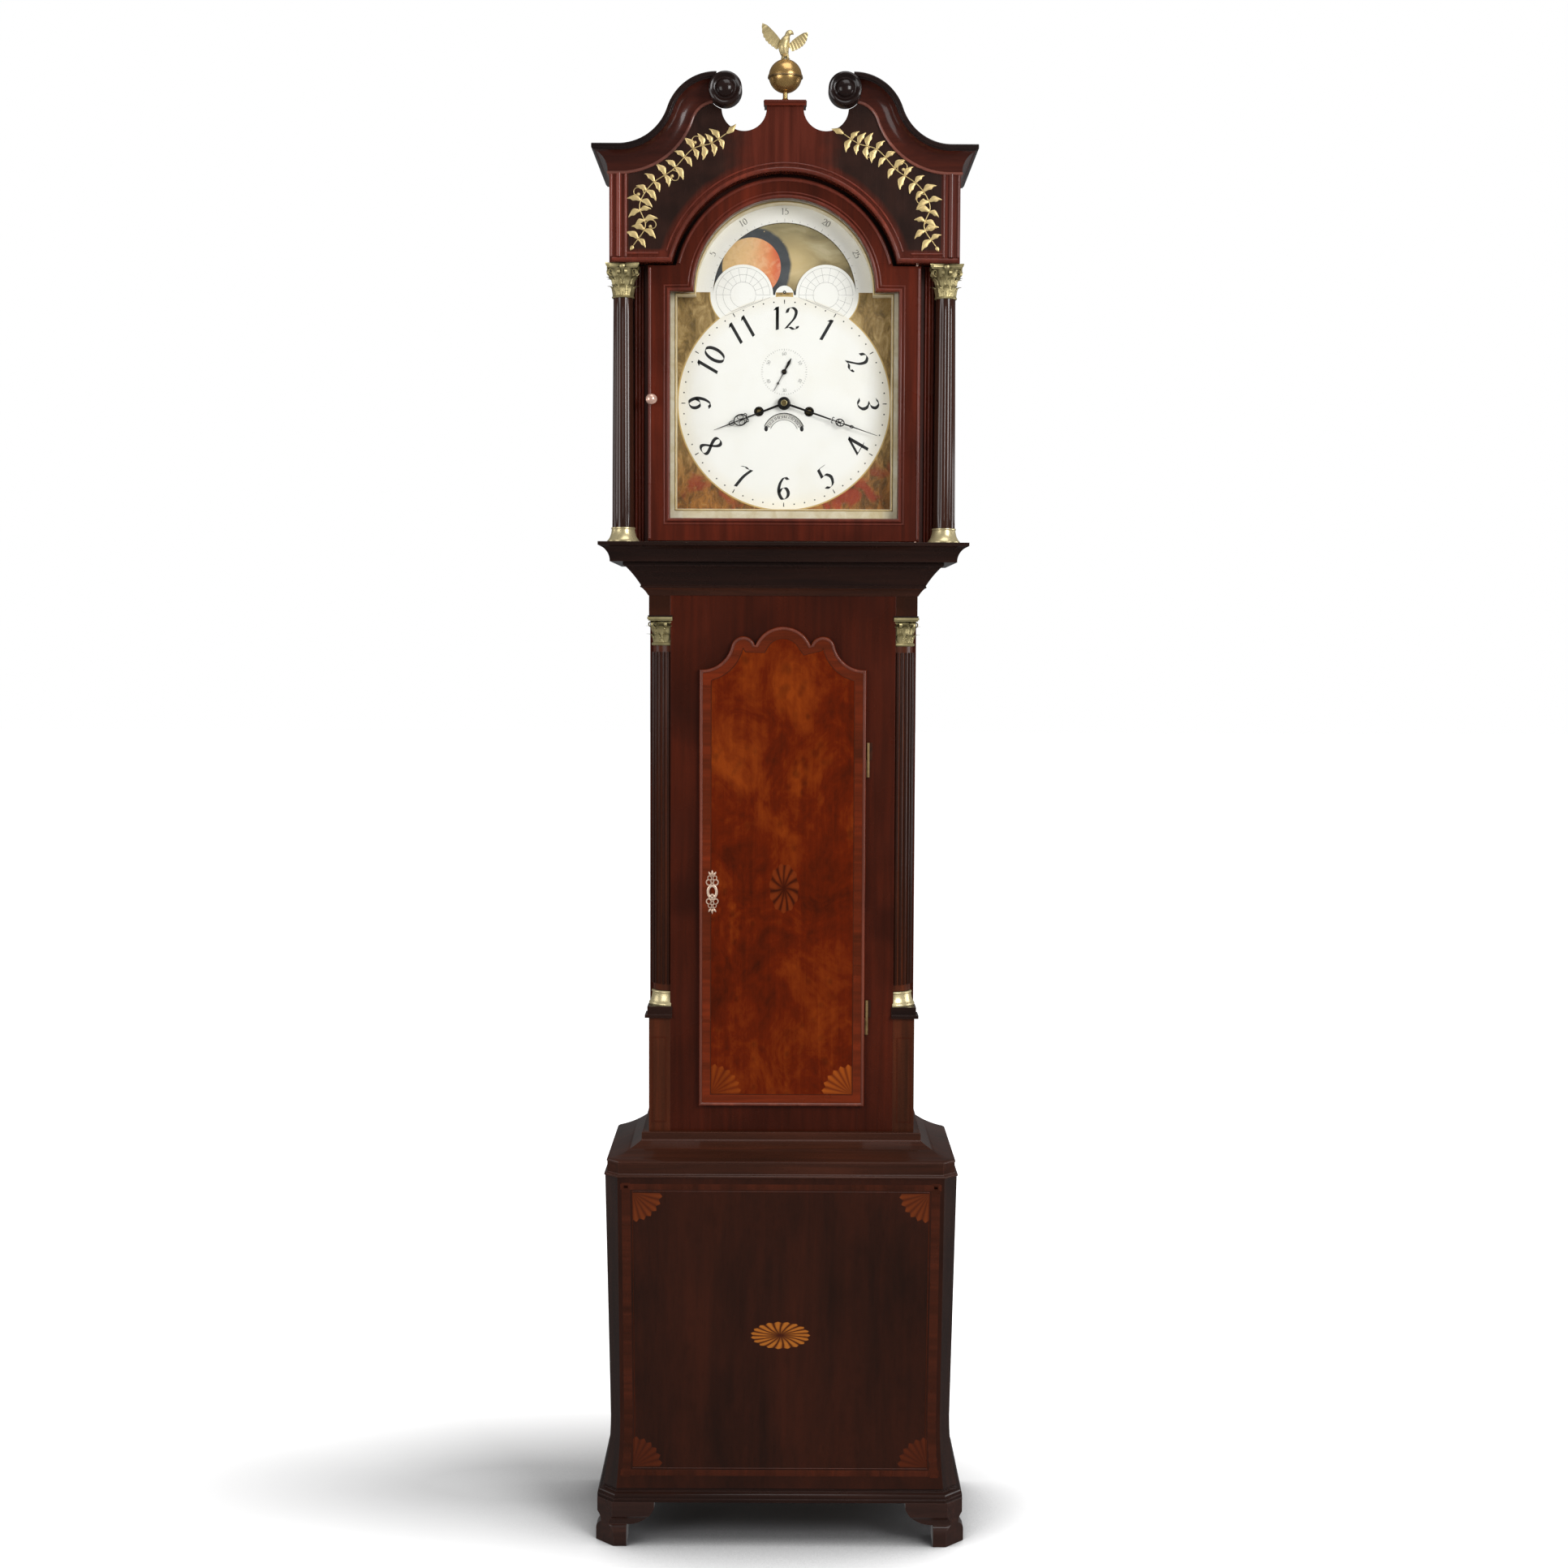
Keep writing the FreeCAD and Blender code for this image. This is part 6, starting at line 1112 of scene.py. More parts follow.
def makeScrolls():
    # turned bosses on the scroll ends: a rolled rim, a hollow and a polished dome; then the necks in three courses
    front, up = edge("swan_necks", 1, 0), corniceTop + hoodTrim["bossUp"]
    bosses = [lathe(bossProfile, (side * hoodTrim["bossAcross"], front, up), 56, "y") for side in (-1, 1)]
    addPiece("scrollBosses", bosses, scrollWood, "hood", ("swan_necks",))
    for name, (finish, section) in neckCourses.items():
        addPiece(name, [neckRun(section, side) for side in (-1, 1)], finish, "hood",
                 ("swan_necks", "cornice_returns"), sharp=28)
    low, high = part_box("finial_cap")
    level = high.z - 0.0022
    rim = [(low.x, low.y, level), (high.x, low.y, level), (high.x, high.y, level), (low.x, high.y, level)]
    cord = ringPoints(0.0011, np.linspace(0, math.tau, 10, endpoint=False))
    addPiece("capBead", [sweep(rim, cord, True, (0, 0, 1))], hoodWoodAcross, "hood")
    print("scrolls turned")


makeFrieze()
makeScrolls()

eagleBuild = {  # lines are (across, depth, up) from the top of the ball, swell is (share of the line, radius)
    "torso": [(-0.0005, 0, 0.0045), (-0.0015, 0, 0.010), (-0.0025, -0.001, 0.017), (-0.0015, -0.0015, 0.024),
              (0.0010, -0.002, 0.030), (0.0030, -0.003, 0.0345)],
    "torsoSwell": [(0, 0.0030), (0.15, 0.0060), (0.45, 0.0080), (0.75, 0.0064), (1, 0.0036)],
    "head": [(0.0020, -0.003, 0.0335), (0.0042, -0.0034, 0.0372), (0.0072, -0.0034, 0.0386),
             (0.0102, -0.0034, 0.0374), (0.0116, -0.0034, 0.0356)],
    "headSwell": [(0, 0.0036), (0.3, 0.0043), (0.55, 0.0038), (0.75, 0.0020), (1, 0.0003)],
    "leg": 0.0030, "claw": 0.0040, "toes": (-0.0018, 0.0, 0.0018), "feathers": 7, "sag": 0.0016}


def wingSheet(root, tip, chord, y, lean):
    # a wing: from root to tip along s, from the leading to the trailing edge along t, the trailing edge scalloped
    s = np.linspace(0, 1, 44)[:, None]
    t = np.linspace(0, 1, 14)[None, :]
    feathers = eagleBuild["feathers"]
    root, run = np.array(root, float), np.array(tip, float) - root
    down = np.array([run[1], -run[0]]) / np.linalg.norm(run) * lean
    width = chord * (0.55 + 0.75 * s - 1.15 * s ** 3) * (1 + 0.10 * np.abs(np.sin(s * feathers * math.pi)) * t)
    out, drop = s + 0.20 * s * t, width * t - eagleBuild["sag"] * np.sin(math.pi * s)
    x, z = (root[axis] + run[axis] * out + down[axis] * drop for axis in (0, 1))
    ridge = 0.0006 * np.abs(np.sin((s * feathers + t * 0.8) * math.pi)) * (0.3 + t)
    front = np.stack([x, y - 0.0045 * s ** 2 + 0.002 * t - ridge, z], -1)
    return tubeShape(np.concatenate([front, front[:, ::-1] + (0, 0.0012, 0)], 1))


def makeEagle():
    perch, y = edge("finial_ball", 2, 1), middleOf("finial_ball", 1)

    def limb(points, radii, around=24):
        return bodyOfRings(curveThrough(np.array(points) + (0, y, perch), len(radii)), radii, around)

    def swell(stops, count):
        return np.interp(np.linspace(0, 1, count), *np.array(stops).T)

    shapes = [limb(eagleBuild["torso"], swell(eagleBuild["torsoSwell"], 22)),
              limb(eagleBuild["head"], swell(eagleBuild["headSwell"], 18))]
    for k in (-1, 0, 1):
        shapes.append(leafPatch((0.0016 * k, perch + 0.010), math.radians(-104 + 14 * k), 0.0095, 0.0042, 0.0014,
                                y + 0.0022))
    for side in (-1, 1):
        leg, claw = side * eagleBuild["leg"], side * eagleBuild["claw"]
        shapes.append(limb([(leg, 0, 0.0075), (leg * 1.2, -0.0005, 0.0035), (leg * 1.3, -0.002, 0.0006)],
                           np.linspace(0.0021, 0.0011, 10), 12))
        for toe in eagleBuild["toes"]:
            shapes.append(limb([(claw, -0.001, 0.0010), (claw + toe, -0.0045, 0.0012),
                                (claw + toe * 1.4, -0.0064, -0.0002)], np.linspace(0.0010, 0.0003, 8), 10))
    shapes.append(wingSheet((-0.0035, perch + 0.0235), (-0.0270, perch + 0.0490), 0.0200, y - 0.001, -1))
    shapes.append(wingSheet((0.0035, perch + 0.0215), (0.0265, perch + 0.0380), 0.0180, y - 0.001, 1))
    addPiece("eagleCast", shapes, eagleGilt, "hood", ("finial_eagle",), sharp=50)
    low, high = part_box("finial_ball")
    radius = (high.x - low.x) / 2
    seam = lathe([(radius - 0.0004, -0.0016), (radius + 0.0005, -0.0008), (radius + 0.0005, 0.0008),
                  (radius - 0.0004, 0.0016)], (0, y, high.z - radius), 72)
    addPiece("ballSeam", [seam], dullBrass, "hood")
    collar = lathe([(0.0036, 0.0), (0.0062, 0.0003), (0.0070, 0.0014), (0.0052, 0.0026), (0.0040, 0.0050)],
                   (0, y, edge("finial_cap", 2, 1)), 32)
    addPiece("finialCollar", [collar], ballBronze, "hood")
    print("eagle cast")


makeEagle()

columnBuild = {
    "x": 0.239, "y": middleOf("hood_columns", 1), "foot": edge("hood_columns", 2, 0),
    "top": edge("hood_columns", 2, 1), "low": 0.0165, "high": 0.0145, "reeds": 12, "deep": 0.0007,
    "base": [(0.0, 0.0), (0.0238, 0.0), (0.0242, 0.0010), (0.0242, 0.0026), (0.0232, 0.0034), (0.0214, 0.0056),
             (0.0196, 0.0090), (0.0183, 0.0130), (0.0175, 0.0172), (0.0172, 0.0192), (0.0179, 0.0198),
             (0.0181, 0.0208), (0.0179, 0.0218), (0.0170, 0.0222), (0.0150, 0.0222)],
    "bell": [(0.0140, -0.0016), (0.0160, -0.0014), (0.0168, 0), (0.0160, 0.0016), (0.0148, 0.0022), (0.0150, 0.016),
             (0.0166, 0.030), (0.0205, 0.0395), (0.0212, 0.0412), (0.0, 0.0414)],
    "flower": [(0.0040, -0.0010), (0.0042, 0.0006), (0.0026, 0.0018), (0.0, 0.0022)],
    "abacus": [(0.90, -0.0070), (0.93, -0.0052), (0.97, -0.0044), (0.97, -0.0030), (1.0, -0.0024), (1.0, -0.0002)]}


def capitalLeaf(angle, foot, tall, inner, outer, spread, curl, thick=0.0011):
    # a leaf that climbs the bell: it leans out with height, rolls over at its tip, and has lobed edges and a
    # raised rib
    s = np.linspace(0, 1, 16)[:, None]
    t = np.linspace(-1, 1, 9)[None, :]
    half = spread * np.sin(math.pi * (0.18 + 0.80 * s)) ** 0.7 * (1 + 0.14 * np.cos(s * 5 * math.tau))
    reach = inner + (outer - inner) * s ** 1.6 + curl * np.clip(s - 0.62, 0, 1) ** 1.5 * 4
    reach = reach - 0.0010 * np.abs(t) ** 1.5 + 0.0007 * np.cos(t * 3 * math.pi) * s
    rise = foot + tall * (s - 0.42 * np.clip(s - 0.66, 0, 1) ** 2 * 4)
    turn = angle + t * half

    def sheet(out, level):
        return np.stack([out * np.cos(turn), out * np.sin(turn), np.broadcast_to(level, turn.shape)], -1)

    return tubeShape(np.concatenate([sheet(reach, rise), sheet(reach - thick, rise - 0.0003)[:, ::-1]], 1))


def voluteCurl(angle, foot, reach, size):
    # a ribbon that rises out of the leaves and winds into a spiral under the abacus corner
    turn = np.linspace(0, 1, 40)
    swing = -0.4 + turn * 7.4
    radius = size * (1 - 0.80 * turn)
    out = reach + radius * np.sin(swing) * 0.9
    line = np.stack([out * math.cos(angle), out * math.sin(angle), foot - radius * np.cos(swing)], -1)
    ribbon = [(-0.0007, -0.0022), (0.0007, -0.0022), (0.0007, 0.0022), (-0.0007, 0.0022)]
    return sweep(line, ribbon, False, (-math.sin(angle), math.cos(angle), 0))


def abacus(top):
    # a slab with hollow sides and clipped corners: the sides are bent in towards the middle as a parabola
    t = np.linspace(-1, 1, 17)[:-1]
    side = np.stack([0.0250 - 0.0042 * (1 - t ** 2), t * 0.0246, np.zeros(16)], -1), None
    ring = np.concatenate([turned(side, k * math.tau / 4)[0] for k in range(4)])
    return tubeShape(np.stack([ring * scale + (0, 0, top + drop) for scale, drop in columnBuild["abacus"]]))


def columnCapital():
    # a bell under two rows of leaves, with volutes at the corners, flowers between them and the abacus on top
    foot, quarter = columnBuild["top"], math.tau / 4
    shapes = [lathe([(radius, foot + up) for radius, up in columnBuild["bell"]], (0, 0, 0), 48), abacus(friezeBottom)]
    for k in range(8):
        shapes.append(capitalLeaf(k * math.tau / 8, foot + 0.0018, 0.0185, 0.0156, 0.0185, 0.37, 0.0050))
        shapes.append(capitalLeaf((k + 0.5) * math.tau / 8, foot + 0.0090, 0.0245, 0.0156, 0.0205, 0.33, 0.0058))
    flower = lathe(columnBuild["flower"], (0, -0.0222, friezeBottom - 0.0044), 20, "y")
    for k in range(4):
        shapes.append(voluteCurl((k + 0.5) * quarter, foot + 0.0352, 0.0258, 0.0058))
        shapes += [voluteCurl(k * quarter + lean, foot + 0.0362, 0.0200, 0.0036) for lean in (0.24, -0.24)]
        shapes.append(turned(flower, (k + 1) * quarter))
    return shapes


def makeColumns():
    # shafts taper as a power of the height
    low, high, height = columnBuild["low"], columnBuild["high"], columnBuild["top"] - columnBuild["foot"]
    s = np.linspace(0, 1, 40)
    shaftProfile = np.stack([low + (high - low) * s ** 1.4, s * height], -1)

    def reeds(z, turn):  # round reeds with sharp valleys between them, dying out at both ends
        ends = np.clip(np.minimum(z, height - z) / 0.012 - 0.35, 0, 1)
        return -columnBuild["deep"] * (1 - np.abs(np.sin(turn * columnBuild["reeds"] / 2)) ** 0.8) * ends

    spots = [np.array((side * columnBuild["x"], columnBuild["y"], 0)) for side in (-1, 1)]
    shafts = [lathe(shaftProfile, spot + (0, 0, columnBuild["foot"]), 168, "z", reeds) for spot in spots]
    addPiece("reededColumns", shafts, columnWood, "hood", ("hood_columns",), sharp=60)
    feet = [lathe(columnBuild["base"], spot + (0, 0, sillTop), 64) for spot in spots]
    addPiece("columnFeet", feet, mountBrass, "hood", ("hood_column_mounts",), sharp=40)
    capitals = [shifted(shape, spot) for spot in spots for shape in columnCapital()]
    addPiece("leafCapitals", capitals, castBrass, "hood", ("hood_column_mounts",), sharp=40)
    print("hood columns reeded")


makeColumns()

doorTrim = {"half": 0.169, "foot": sillTop + 0.036, "shoulder": archCentre - 0.002, "radius": 0.134,
            "outerArc": 0.1605, "outerSpring": 0.0385, "knobUp": 0.210,
            "stiles": ((0.2100, 0.0040, 0.0030), (0.2150, 0.0060, 0.0042), (0.2205, 0.0050, 0.0036)),
            "knob": [(0.0, 0.0016), (0.0040, 0.0010), (0.0066, -0.0008), (0.0078, -0.0034), (0.0070, -0.0062),
                     (0.0040, -0.0080), (0.0030, -0.0104), (0.0062, -0.0128), (0.0066, -0.0134)]}


def archedLine(half, foot, shoulder, radius, count=60):
    # up the right side, along the shoulder, round the arch and down the left side
    spring = math.asin((shoulder - archCentre) / radius)
    arc = ringPoints(radius, np.linspace(spring, math.pi - spring, count), (0, archCentre))
    return np.concatenate([[(half, foot), (half, shoulder)], arc, [(-half, shoulder), (-half, foot)]])


def makeDoorTrim():
    # beads round the glass, along the arch and up the door's edges, then the reeds and gilt slip of the mask
    low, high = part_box("hood_door_frame")
    beads = []
    for grow, width, rise in ((0.0028, 0.0052, 0.0026), (0.0085, 0.0026, 0.0012)):
        line = archedLine(doorTrim["half"] + grow, doorTrim["foot"] - grow, doorTrim["shoulder"] + grow,
                          doorTrim["radius"] + grow)
        beads.append(layBead(line, doorFront, width, rise, closed=True))
    spring = math.asin(doorTrim["outerSpring"] / doorTrim["outerArc"])
    arc = ringPoints(doorTrim["outerArc"], np.linspace(spring, math.pi - spring, 80), (0, archCentre))
    beads.append(layBead(arc, doorFront, 0.0052, 0.0024))
    for x in (high.x - 0.0028, low.x + 0.0028):
        beads.append(layBead([(x, low.z + 0.003), (x, friezeBottom - 0.0060)], doorFront, 0.0044, 0.0020))
    addPiece("doorBeads", beads, beadWoodPaintedHighlight, "hood_door")
    mask = edge("dial_mask", 1, 0)
    stiles = [layBead([(side * x, sillTop), (side * x, friezeBottom)], mask, width, rise) for side in (-1, 1)
              for x, width, rise in doorTrim["stiles"]]
    addPiece("reededStiles", stiles, hoodWood, "hood")
    slip = layBead(archedLine(0.1618, sillTop + 0.0492, archCentre - 0.0022, 0.1332), mask, 0.0022, 0.0010,
                   closed=True)
    addPiece("maskSlip", [slip], giltLeaf, "hood")
    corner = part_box("hood_door_fittings")[0]
    knob = lathe(doorTrim["knob"], (corner.x + 0.005, corner.y - 0.0004, sillTop + doorTrim["knobUp"]), 32, "y")
    addPiece("knobTurned", [knob], knobCopper, "hood_door")
    print("hood door trimmed")


makeDoorTrim()


def doorOutline():
    # the trunk door's edge, anticlockwise: straight foot and sides, a hollow, a lobe and the crest's arc, then
    # the mirror of them
    half, foot, crest, crestHalf = (trunkTrim[key] for key in ("half", "foot", "crest", "crestHalf"))
    shoulder = foot + trunkTrim["tall"]
    level = shoulder + trunkTrim["notch"]
    lobeEnd = crestHalf + trunkTrim["lobeWidth"]
    peak = level + crest - math.sqrt(crest ** 2 - crestHalf ** 2)
    right = np.concatenate([arcPoints((half, shoulder), (lobeEnd, level), -trunkTrim["hollow"], 18),
                            arcPoints((lobeEnd, level), (crestHalf, level), trunkTrim["lobe"], 20)[1:],
                            arcPoints((crestHalf, level), (0, peak), crest, 18)[1:]])
    left = (right * (-1, 1))[::-1][1:]
    return np.concatenate([[(-half, foot), (half, foot)], right, left])


def offsetLine(line, inset, count=900):
    # the line moved inwards; points that come nearer to the line than the inset are slid to the next good point
    closed = np.concatenate([line, line[:1]])
    lengths = np.concatenate([[0], np.cumsum(np.linalg.norm(np.diff(closed, axis=0), axis=1))])
    along = np.linspace(0, lengths[-1], count, endpoint=False)
    dense = np.stack([np.interp(along, lengths, closed[:, axis]) for axis in (0, 1)], -1)
    heading = unit(np.roll(dense, -1, 0) - np.roll(dense, 1, 0))
    moved = dense + np.stack([-heading[:, 1], heading[:, 0]], -1) * inset
    gaps = np.linalg.norm(moved[:, None] - dense[None], axis=2).min(1)
    good = np.flatnonzero(gaps > inset * 0.97)
    joined = np.stack([np.interp(np.arange(count), good, moved[good, axis], period=count) for axis in (0, 1)], -1)
    joined[good] = moved[good]
    return joined


def makeTrunkDoor():
    # strips whose columns are the door's outline at a few insets, each at its own lift off the face
    outline = doorOutline()

    def strip(*columns):
        lines = [standUp(offsetLine(outline, inset), trunkTrim["front"] - lift) for inset, lift in columns]
        return [gridShape(np.stack(lines, 1), wrapRows=True)]

    def band(outer, inner, lift):
        return strip((outer, -0.0003), (outer, lift), (inner, lift), (inner, -0.0003))

    bead = strip((0.0008, -0.0003), (0.0008, 0.0012), (0.0022, 0.0022), (0.0040, 0.0016), (0.0052, -0.0003))
    addPiece("doorEdgeBead", bead, edgeWood, "trunk_door", sharp=60)
    addPiece("doorBanding", band(0.0052, 0.0172, 0.00025), doorBandWood, "trunk_door")
    addPiece("doorStringing", band(0.0172, 0.0184, 0.00035), scorched, "trunk_door")
    print("trunk door banded")


quarterBuild = {
    "x": 0.170, "y": trunkFront + 0.0325, "half": 0.2025, "foot": 0.835, "top": 1.361, "radius": 0.028,
    "baseFoot": 0.8115, "reeds": (-9, -24, -39, -54, -69, -84),
    "ledges": ((0.7945, 0.7992, 0.0060), (0.7992, 0.8115, 0.0024), (1.4040, 1.4062, 0.0016)),
    "string": ((0.1765, 0.1975), (0.634, 0.764)),
    "bell": [(0.0, 0.0), (0.0296, 0.0), (0.0306, 0.0020), (0.0296, 0.0042), (0.0276, 0.0050), (0.0278, 0.0180),
             (0.0296, 0.0290), (0.0328, 0.0345), (0.0330, 0.0356), (0.0, 0.0356)],
    "leaves": (((-14, -45, -76), 0.0050, 0.0155), ((-29, -61, -4, -86), 0.0120, 0.0220)),
    "volutes": ((-45, 0.0352, 0.0062), (-12, 0.0318, 0.0046), (-78, 0.0318, 0.0046)),
    "slabs": ((0.0372, 0.0392, 0.0335), (0.0392, 0.0428, 0.0350)),
    "base": [(0.0, 0.0), (0.0338, 0.0), (0.0344, 0.0016), (0.0340, 0.0034), (0.0326, 0.0050), (0.0312, 0.0082),
             (0.0300, 0.0120), (0.0293, 0.0160), (0.0290, 0.0186), (0.0298, 0.0194), (0.0300, 0.0206),
             (0.0296, 0.0218), (0.0284, 0.0226), (0.0, 0.0226)]}


def quarterTurned(profile, foot):
    # a (radius, height) profile carried round the outer quarter of a column, closed on its two inner faces
    radius, height = np.array(profile, float).T[:, :, None]
    turn = np.linspace(math.radians(-92), math.radians(2), 24)
    level = np.broadcast_to(foot + height, (len(radius), 24))
    points, faces = gridShape(np.stack([radius * np.cos(turn), radius * np.sin(turn), level], -1))
    last = len(points)
    return points, faces + [list(range(0, last, 24)), list(range(23, last, 24))[::-1]]


def quarterCapital():
    # a quarter bell under two rows of leaves and three volutes
    low = quarterBuild["top"]
    shapes = [quarterTurned(quarterBuild["bell"], low)]
    for angles, foot, tall in quarterBuild["leaves"]:
        for angle in angles:
            shapes.append(capitalLeaf(math.radians(angle), low + foot, tall, 0.0284, 0.0334, 0.22, 0.0056))
    for angle, reach, curl in quarterBuild["volutes"]:
        shapes.append(voluteCurl(math.radians(angle), low + 0.0325, reach, curl))
    return shapes


def makeQuarterColumns():
    # reeds stand on lines round the quarter shaft; ledges and slabs are plain blocks
    x, y, foot, top = (quarterBuild[key] for key in ("x", "y", "foot", "top"))
    levels = np.linspace(foot + 0.010, top - 0.010, 6)
    (left, right), (low, high) = quarterBuild["string"]
    reeds, ledges, strings, capitals, feet = [], [], [], [], []
    for side in (-1, 1):
        corner, flip = np.array((side * x, y, 0)), np.array((side, 1, 1))
        for angle in np.radians(quarterBuild["reeds"]):
            outward = np.array((side * math.cos(angle), math.sin(angle), 0))
            line = corner + quarterBuild["radius"] * outward + levels[:, None] * (0, 0, 1)
            reeds.append(sweep(line, beadProfile(0.0052, 0.0020, 8), False, outward))
        for bottom, lid, out in quarterBuild["ledges"]:
            across = sorted((side * (x - 0.003), side * (quarterBuild["half"] + out)))
            ledges.append(slab(across, (trunkFront - out, y), (bottom, lid)))
        frame = [(side * left, low), (side * right, low), (side * right, high), (side * left, high)]
        strings.append(sweep(standUp(frame, trunkFront), stripProfile(0.0010, 0.0004), True))
        capitals += [shifted(shape, corner, flip) for shape in quarterCapital()]
        for bottom, lid, reach in quarterBuild["slabs"]:
            across = sorted((side * (x - 0.0028), side * (x + reach)))
            capitals.append(slab(across, (y - reach, y), (top + bottom, top + lid)))
        feet.append(shifted(quarterTurned(quarterBuild["base"], quarterBuild["baseFoot"]), corner, flip))
    addPiece("columnReeds", reeds, quarterWood, "case")
    addPiece("columnLedges", ledges, darkWoodAcross, "case")
    addPiece("blockStringing", strings, scorched, "case")
    addPiece("quarterCapitals", capitals, castBrass, "case", ("trunk_column_mounts",), sharp=40)
    addPiece("quarterBases", feet, mountBrass, "case", ("trunk_column_mounts",), sharp=40)
    print("quarter columns reeded")


makeTrunkDoor()
makeQuarterColumns()

keyPlate = {  # scrolls are (up, aside, radius); those aside come in pairs
    "scrolls": ((0.0145, 0.0052, 0.0046), (0.0215, 0.0040, 0.0034), (0.0160, 0.0, 0.0030), (0.0268, 0.0, 0.0026),
                (-0.0145, 0.0052, 0.0044), (-0.0210, 0.0036, 0.0032), (-0.0165, 0.0, 0.0030), (-0.0262, 0.0, 0.0028)),
    "tips": ((0.0252, 1), (-0.0250, -1)), "spread": (-0.55, 0.0, 0.55)}


def makeEscutcheon():
    # a ring round the keyhole, pierced scrolls above and below, and three leaves at each tip
    x, z = middleOf("trunk_escutcheon", 0), middleOf("trunk_escutcheon", 2)
    y = edge("trunk_escutcheon", 1, 1)
    thick = y - edge("trunk_escutcheon", 1, 0)
    shapes = [flatRing((x, z), 0.0084, 0.0046, y, thick, 1.45),
              flatRing((x, z - 0.0075), 0.0036, 0.0012, y, thick, 1.5)]
    for up, aside, radius in keyPlate["scrolls"]:
        for side in ((-1, 1) if aside else (0,)):
            shapes.append(flatRing((x + side * aside, z + up), radius, radius * 0.60, y, thick, 1.15, 28, side * 0.4))
    for up, lean in keyPlate["tips"]:
        for spread in keyPlate["spread"]:
            shapes.append(leafPatch((x + spread * 0.004, z + up), lean * (math.pi / 2 - spread),
                                    0.0088 - abs(spread) * 0.003, 0.0034, thick, y - thick * 0.4))
    addPiece("escutcheonScrolls", shapes, plateBrass, "trunk_door", ("trunk_escutcheon",))
    print("escutcheon pierced")


makeEscutcheon()

baseTrim = {"topReach": 0.0635, "waistReach": 0.0555, "flare": 0.012, "flareTall": 0.104, "bandIn": 0.0215,
            "bandOut": 0.0035, "bandTall": 0.0125, "string": 0.0012, "topHalf": 0.246}
cantSlope = math.tan(math.radians(22.5))


def baseFace(z):
    # the face leans in towards the flare, then swings out below it on an arc
    topReach, waistReach = baseTrim["topReach"], baseTrim["waistReach"]
    flare, flareTall = baseTrim["flare"], baseTrim["flareTall"]
    flareTop = baseBottom + flareTall
    radius = (flareTall ** 2 + flare ** 2) / (2 * flare)
    lean = waistReach + (topReach - waistReach) * (z - flareTop) / (baseTop - flareTop)
    swing = waistReach + radius - np.sqrt(np.maximum(radius ** 2 - np.clip(flareTop - z, 0, None) ** 2, 0))
    return trunkFront - np.where(z > flareTop, lean, swing)


def baseHalf(z):  # half the width of the front face at a height, out to the cant
    return baseTrim["topHalf"] + (trunkFront - baseFace(z) - baseTrim["topReach"]) * cantSlope


def faceStrip(innerEdge, outerEdge, low, high, side, lift=0.00035, cols=4):
    # an upright strip that follows the face's lean and swing, its long edges sunk
    z = np.linspace(low, high, 60)[:, None]
    x = side * (baseHalf(z) - outerEdge - (innerEdge - outerEdge) * np.linspace(0, 1, cols))
    depth = baseFace(z) - lift + np.zeros_like(x)
    depth[:, [0, -1]] += 0.0006
    return gridShape(np.stack([x, depth, np.broadcast_to(z, x.shape)], -1))


def levelStrip(low, high, inset, lift=0.00035, rows=4):
    # a level strip across the face, its long edges sunk
    z = np.linspace(low, high, rows)[:, None]
    x = (baseHalf(z) - inset) * np.linspace(-1, 1, 24)
    depth = baseFace(z) - lift + np.zeros_like(x)
    depth[[0, -1]] += 0.0006
    return gridShape(np.stack([x, depth, np.broadcast_to(z, x.shape)], -1))


def makeBaseInlay():
    # cross-banding round the panel with a dark line inside it
    low, high = baseBottom + 0.016, baseTop - 0.008
    bandIn, bandOut, string = baseTrim["bandIn"], baseTrim["bandOut"], baseTrim["string"]
    innerLow, innerHigh = low + baseTrim["bandTall"], high - baseTrim["bandTall"]
    uprights = [faceStrip(bandIn, bandOut, low, high, side) for side in (-1, 1)]
    addPiece("baseBandUprights", uprights, bandWood, "case")
    levels = [levelStrip(innerHigh, high, 0.004), levelStrip(low, innerLow, 0.004)]
    addPiece("baseBandLevels", levels, bandWoodUpright, "case")
    lines = [faceStrip(bandIn + string, bandIn, innerLow, innerHigh, side, 0.0005, 3) for side in (-1, 1)]
    lines.append(levelStrip(innerHigh - string, innerHigh, bandIn, 0.0005, 3))
    lines.append(levelStrip(innerLow, innerLow + string, bandIn, 0.0005, 3))
    addPiece("baseStringing", lines, scorched, "case")
    print("base inlaid")


makeBaseInlay()

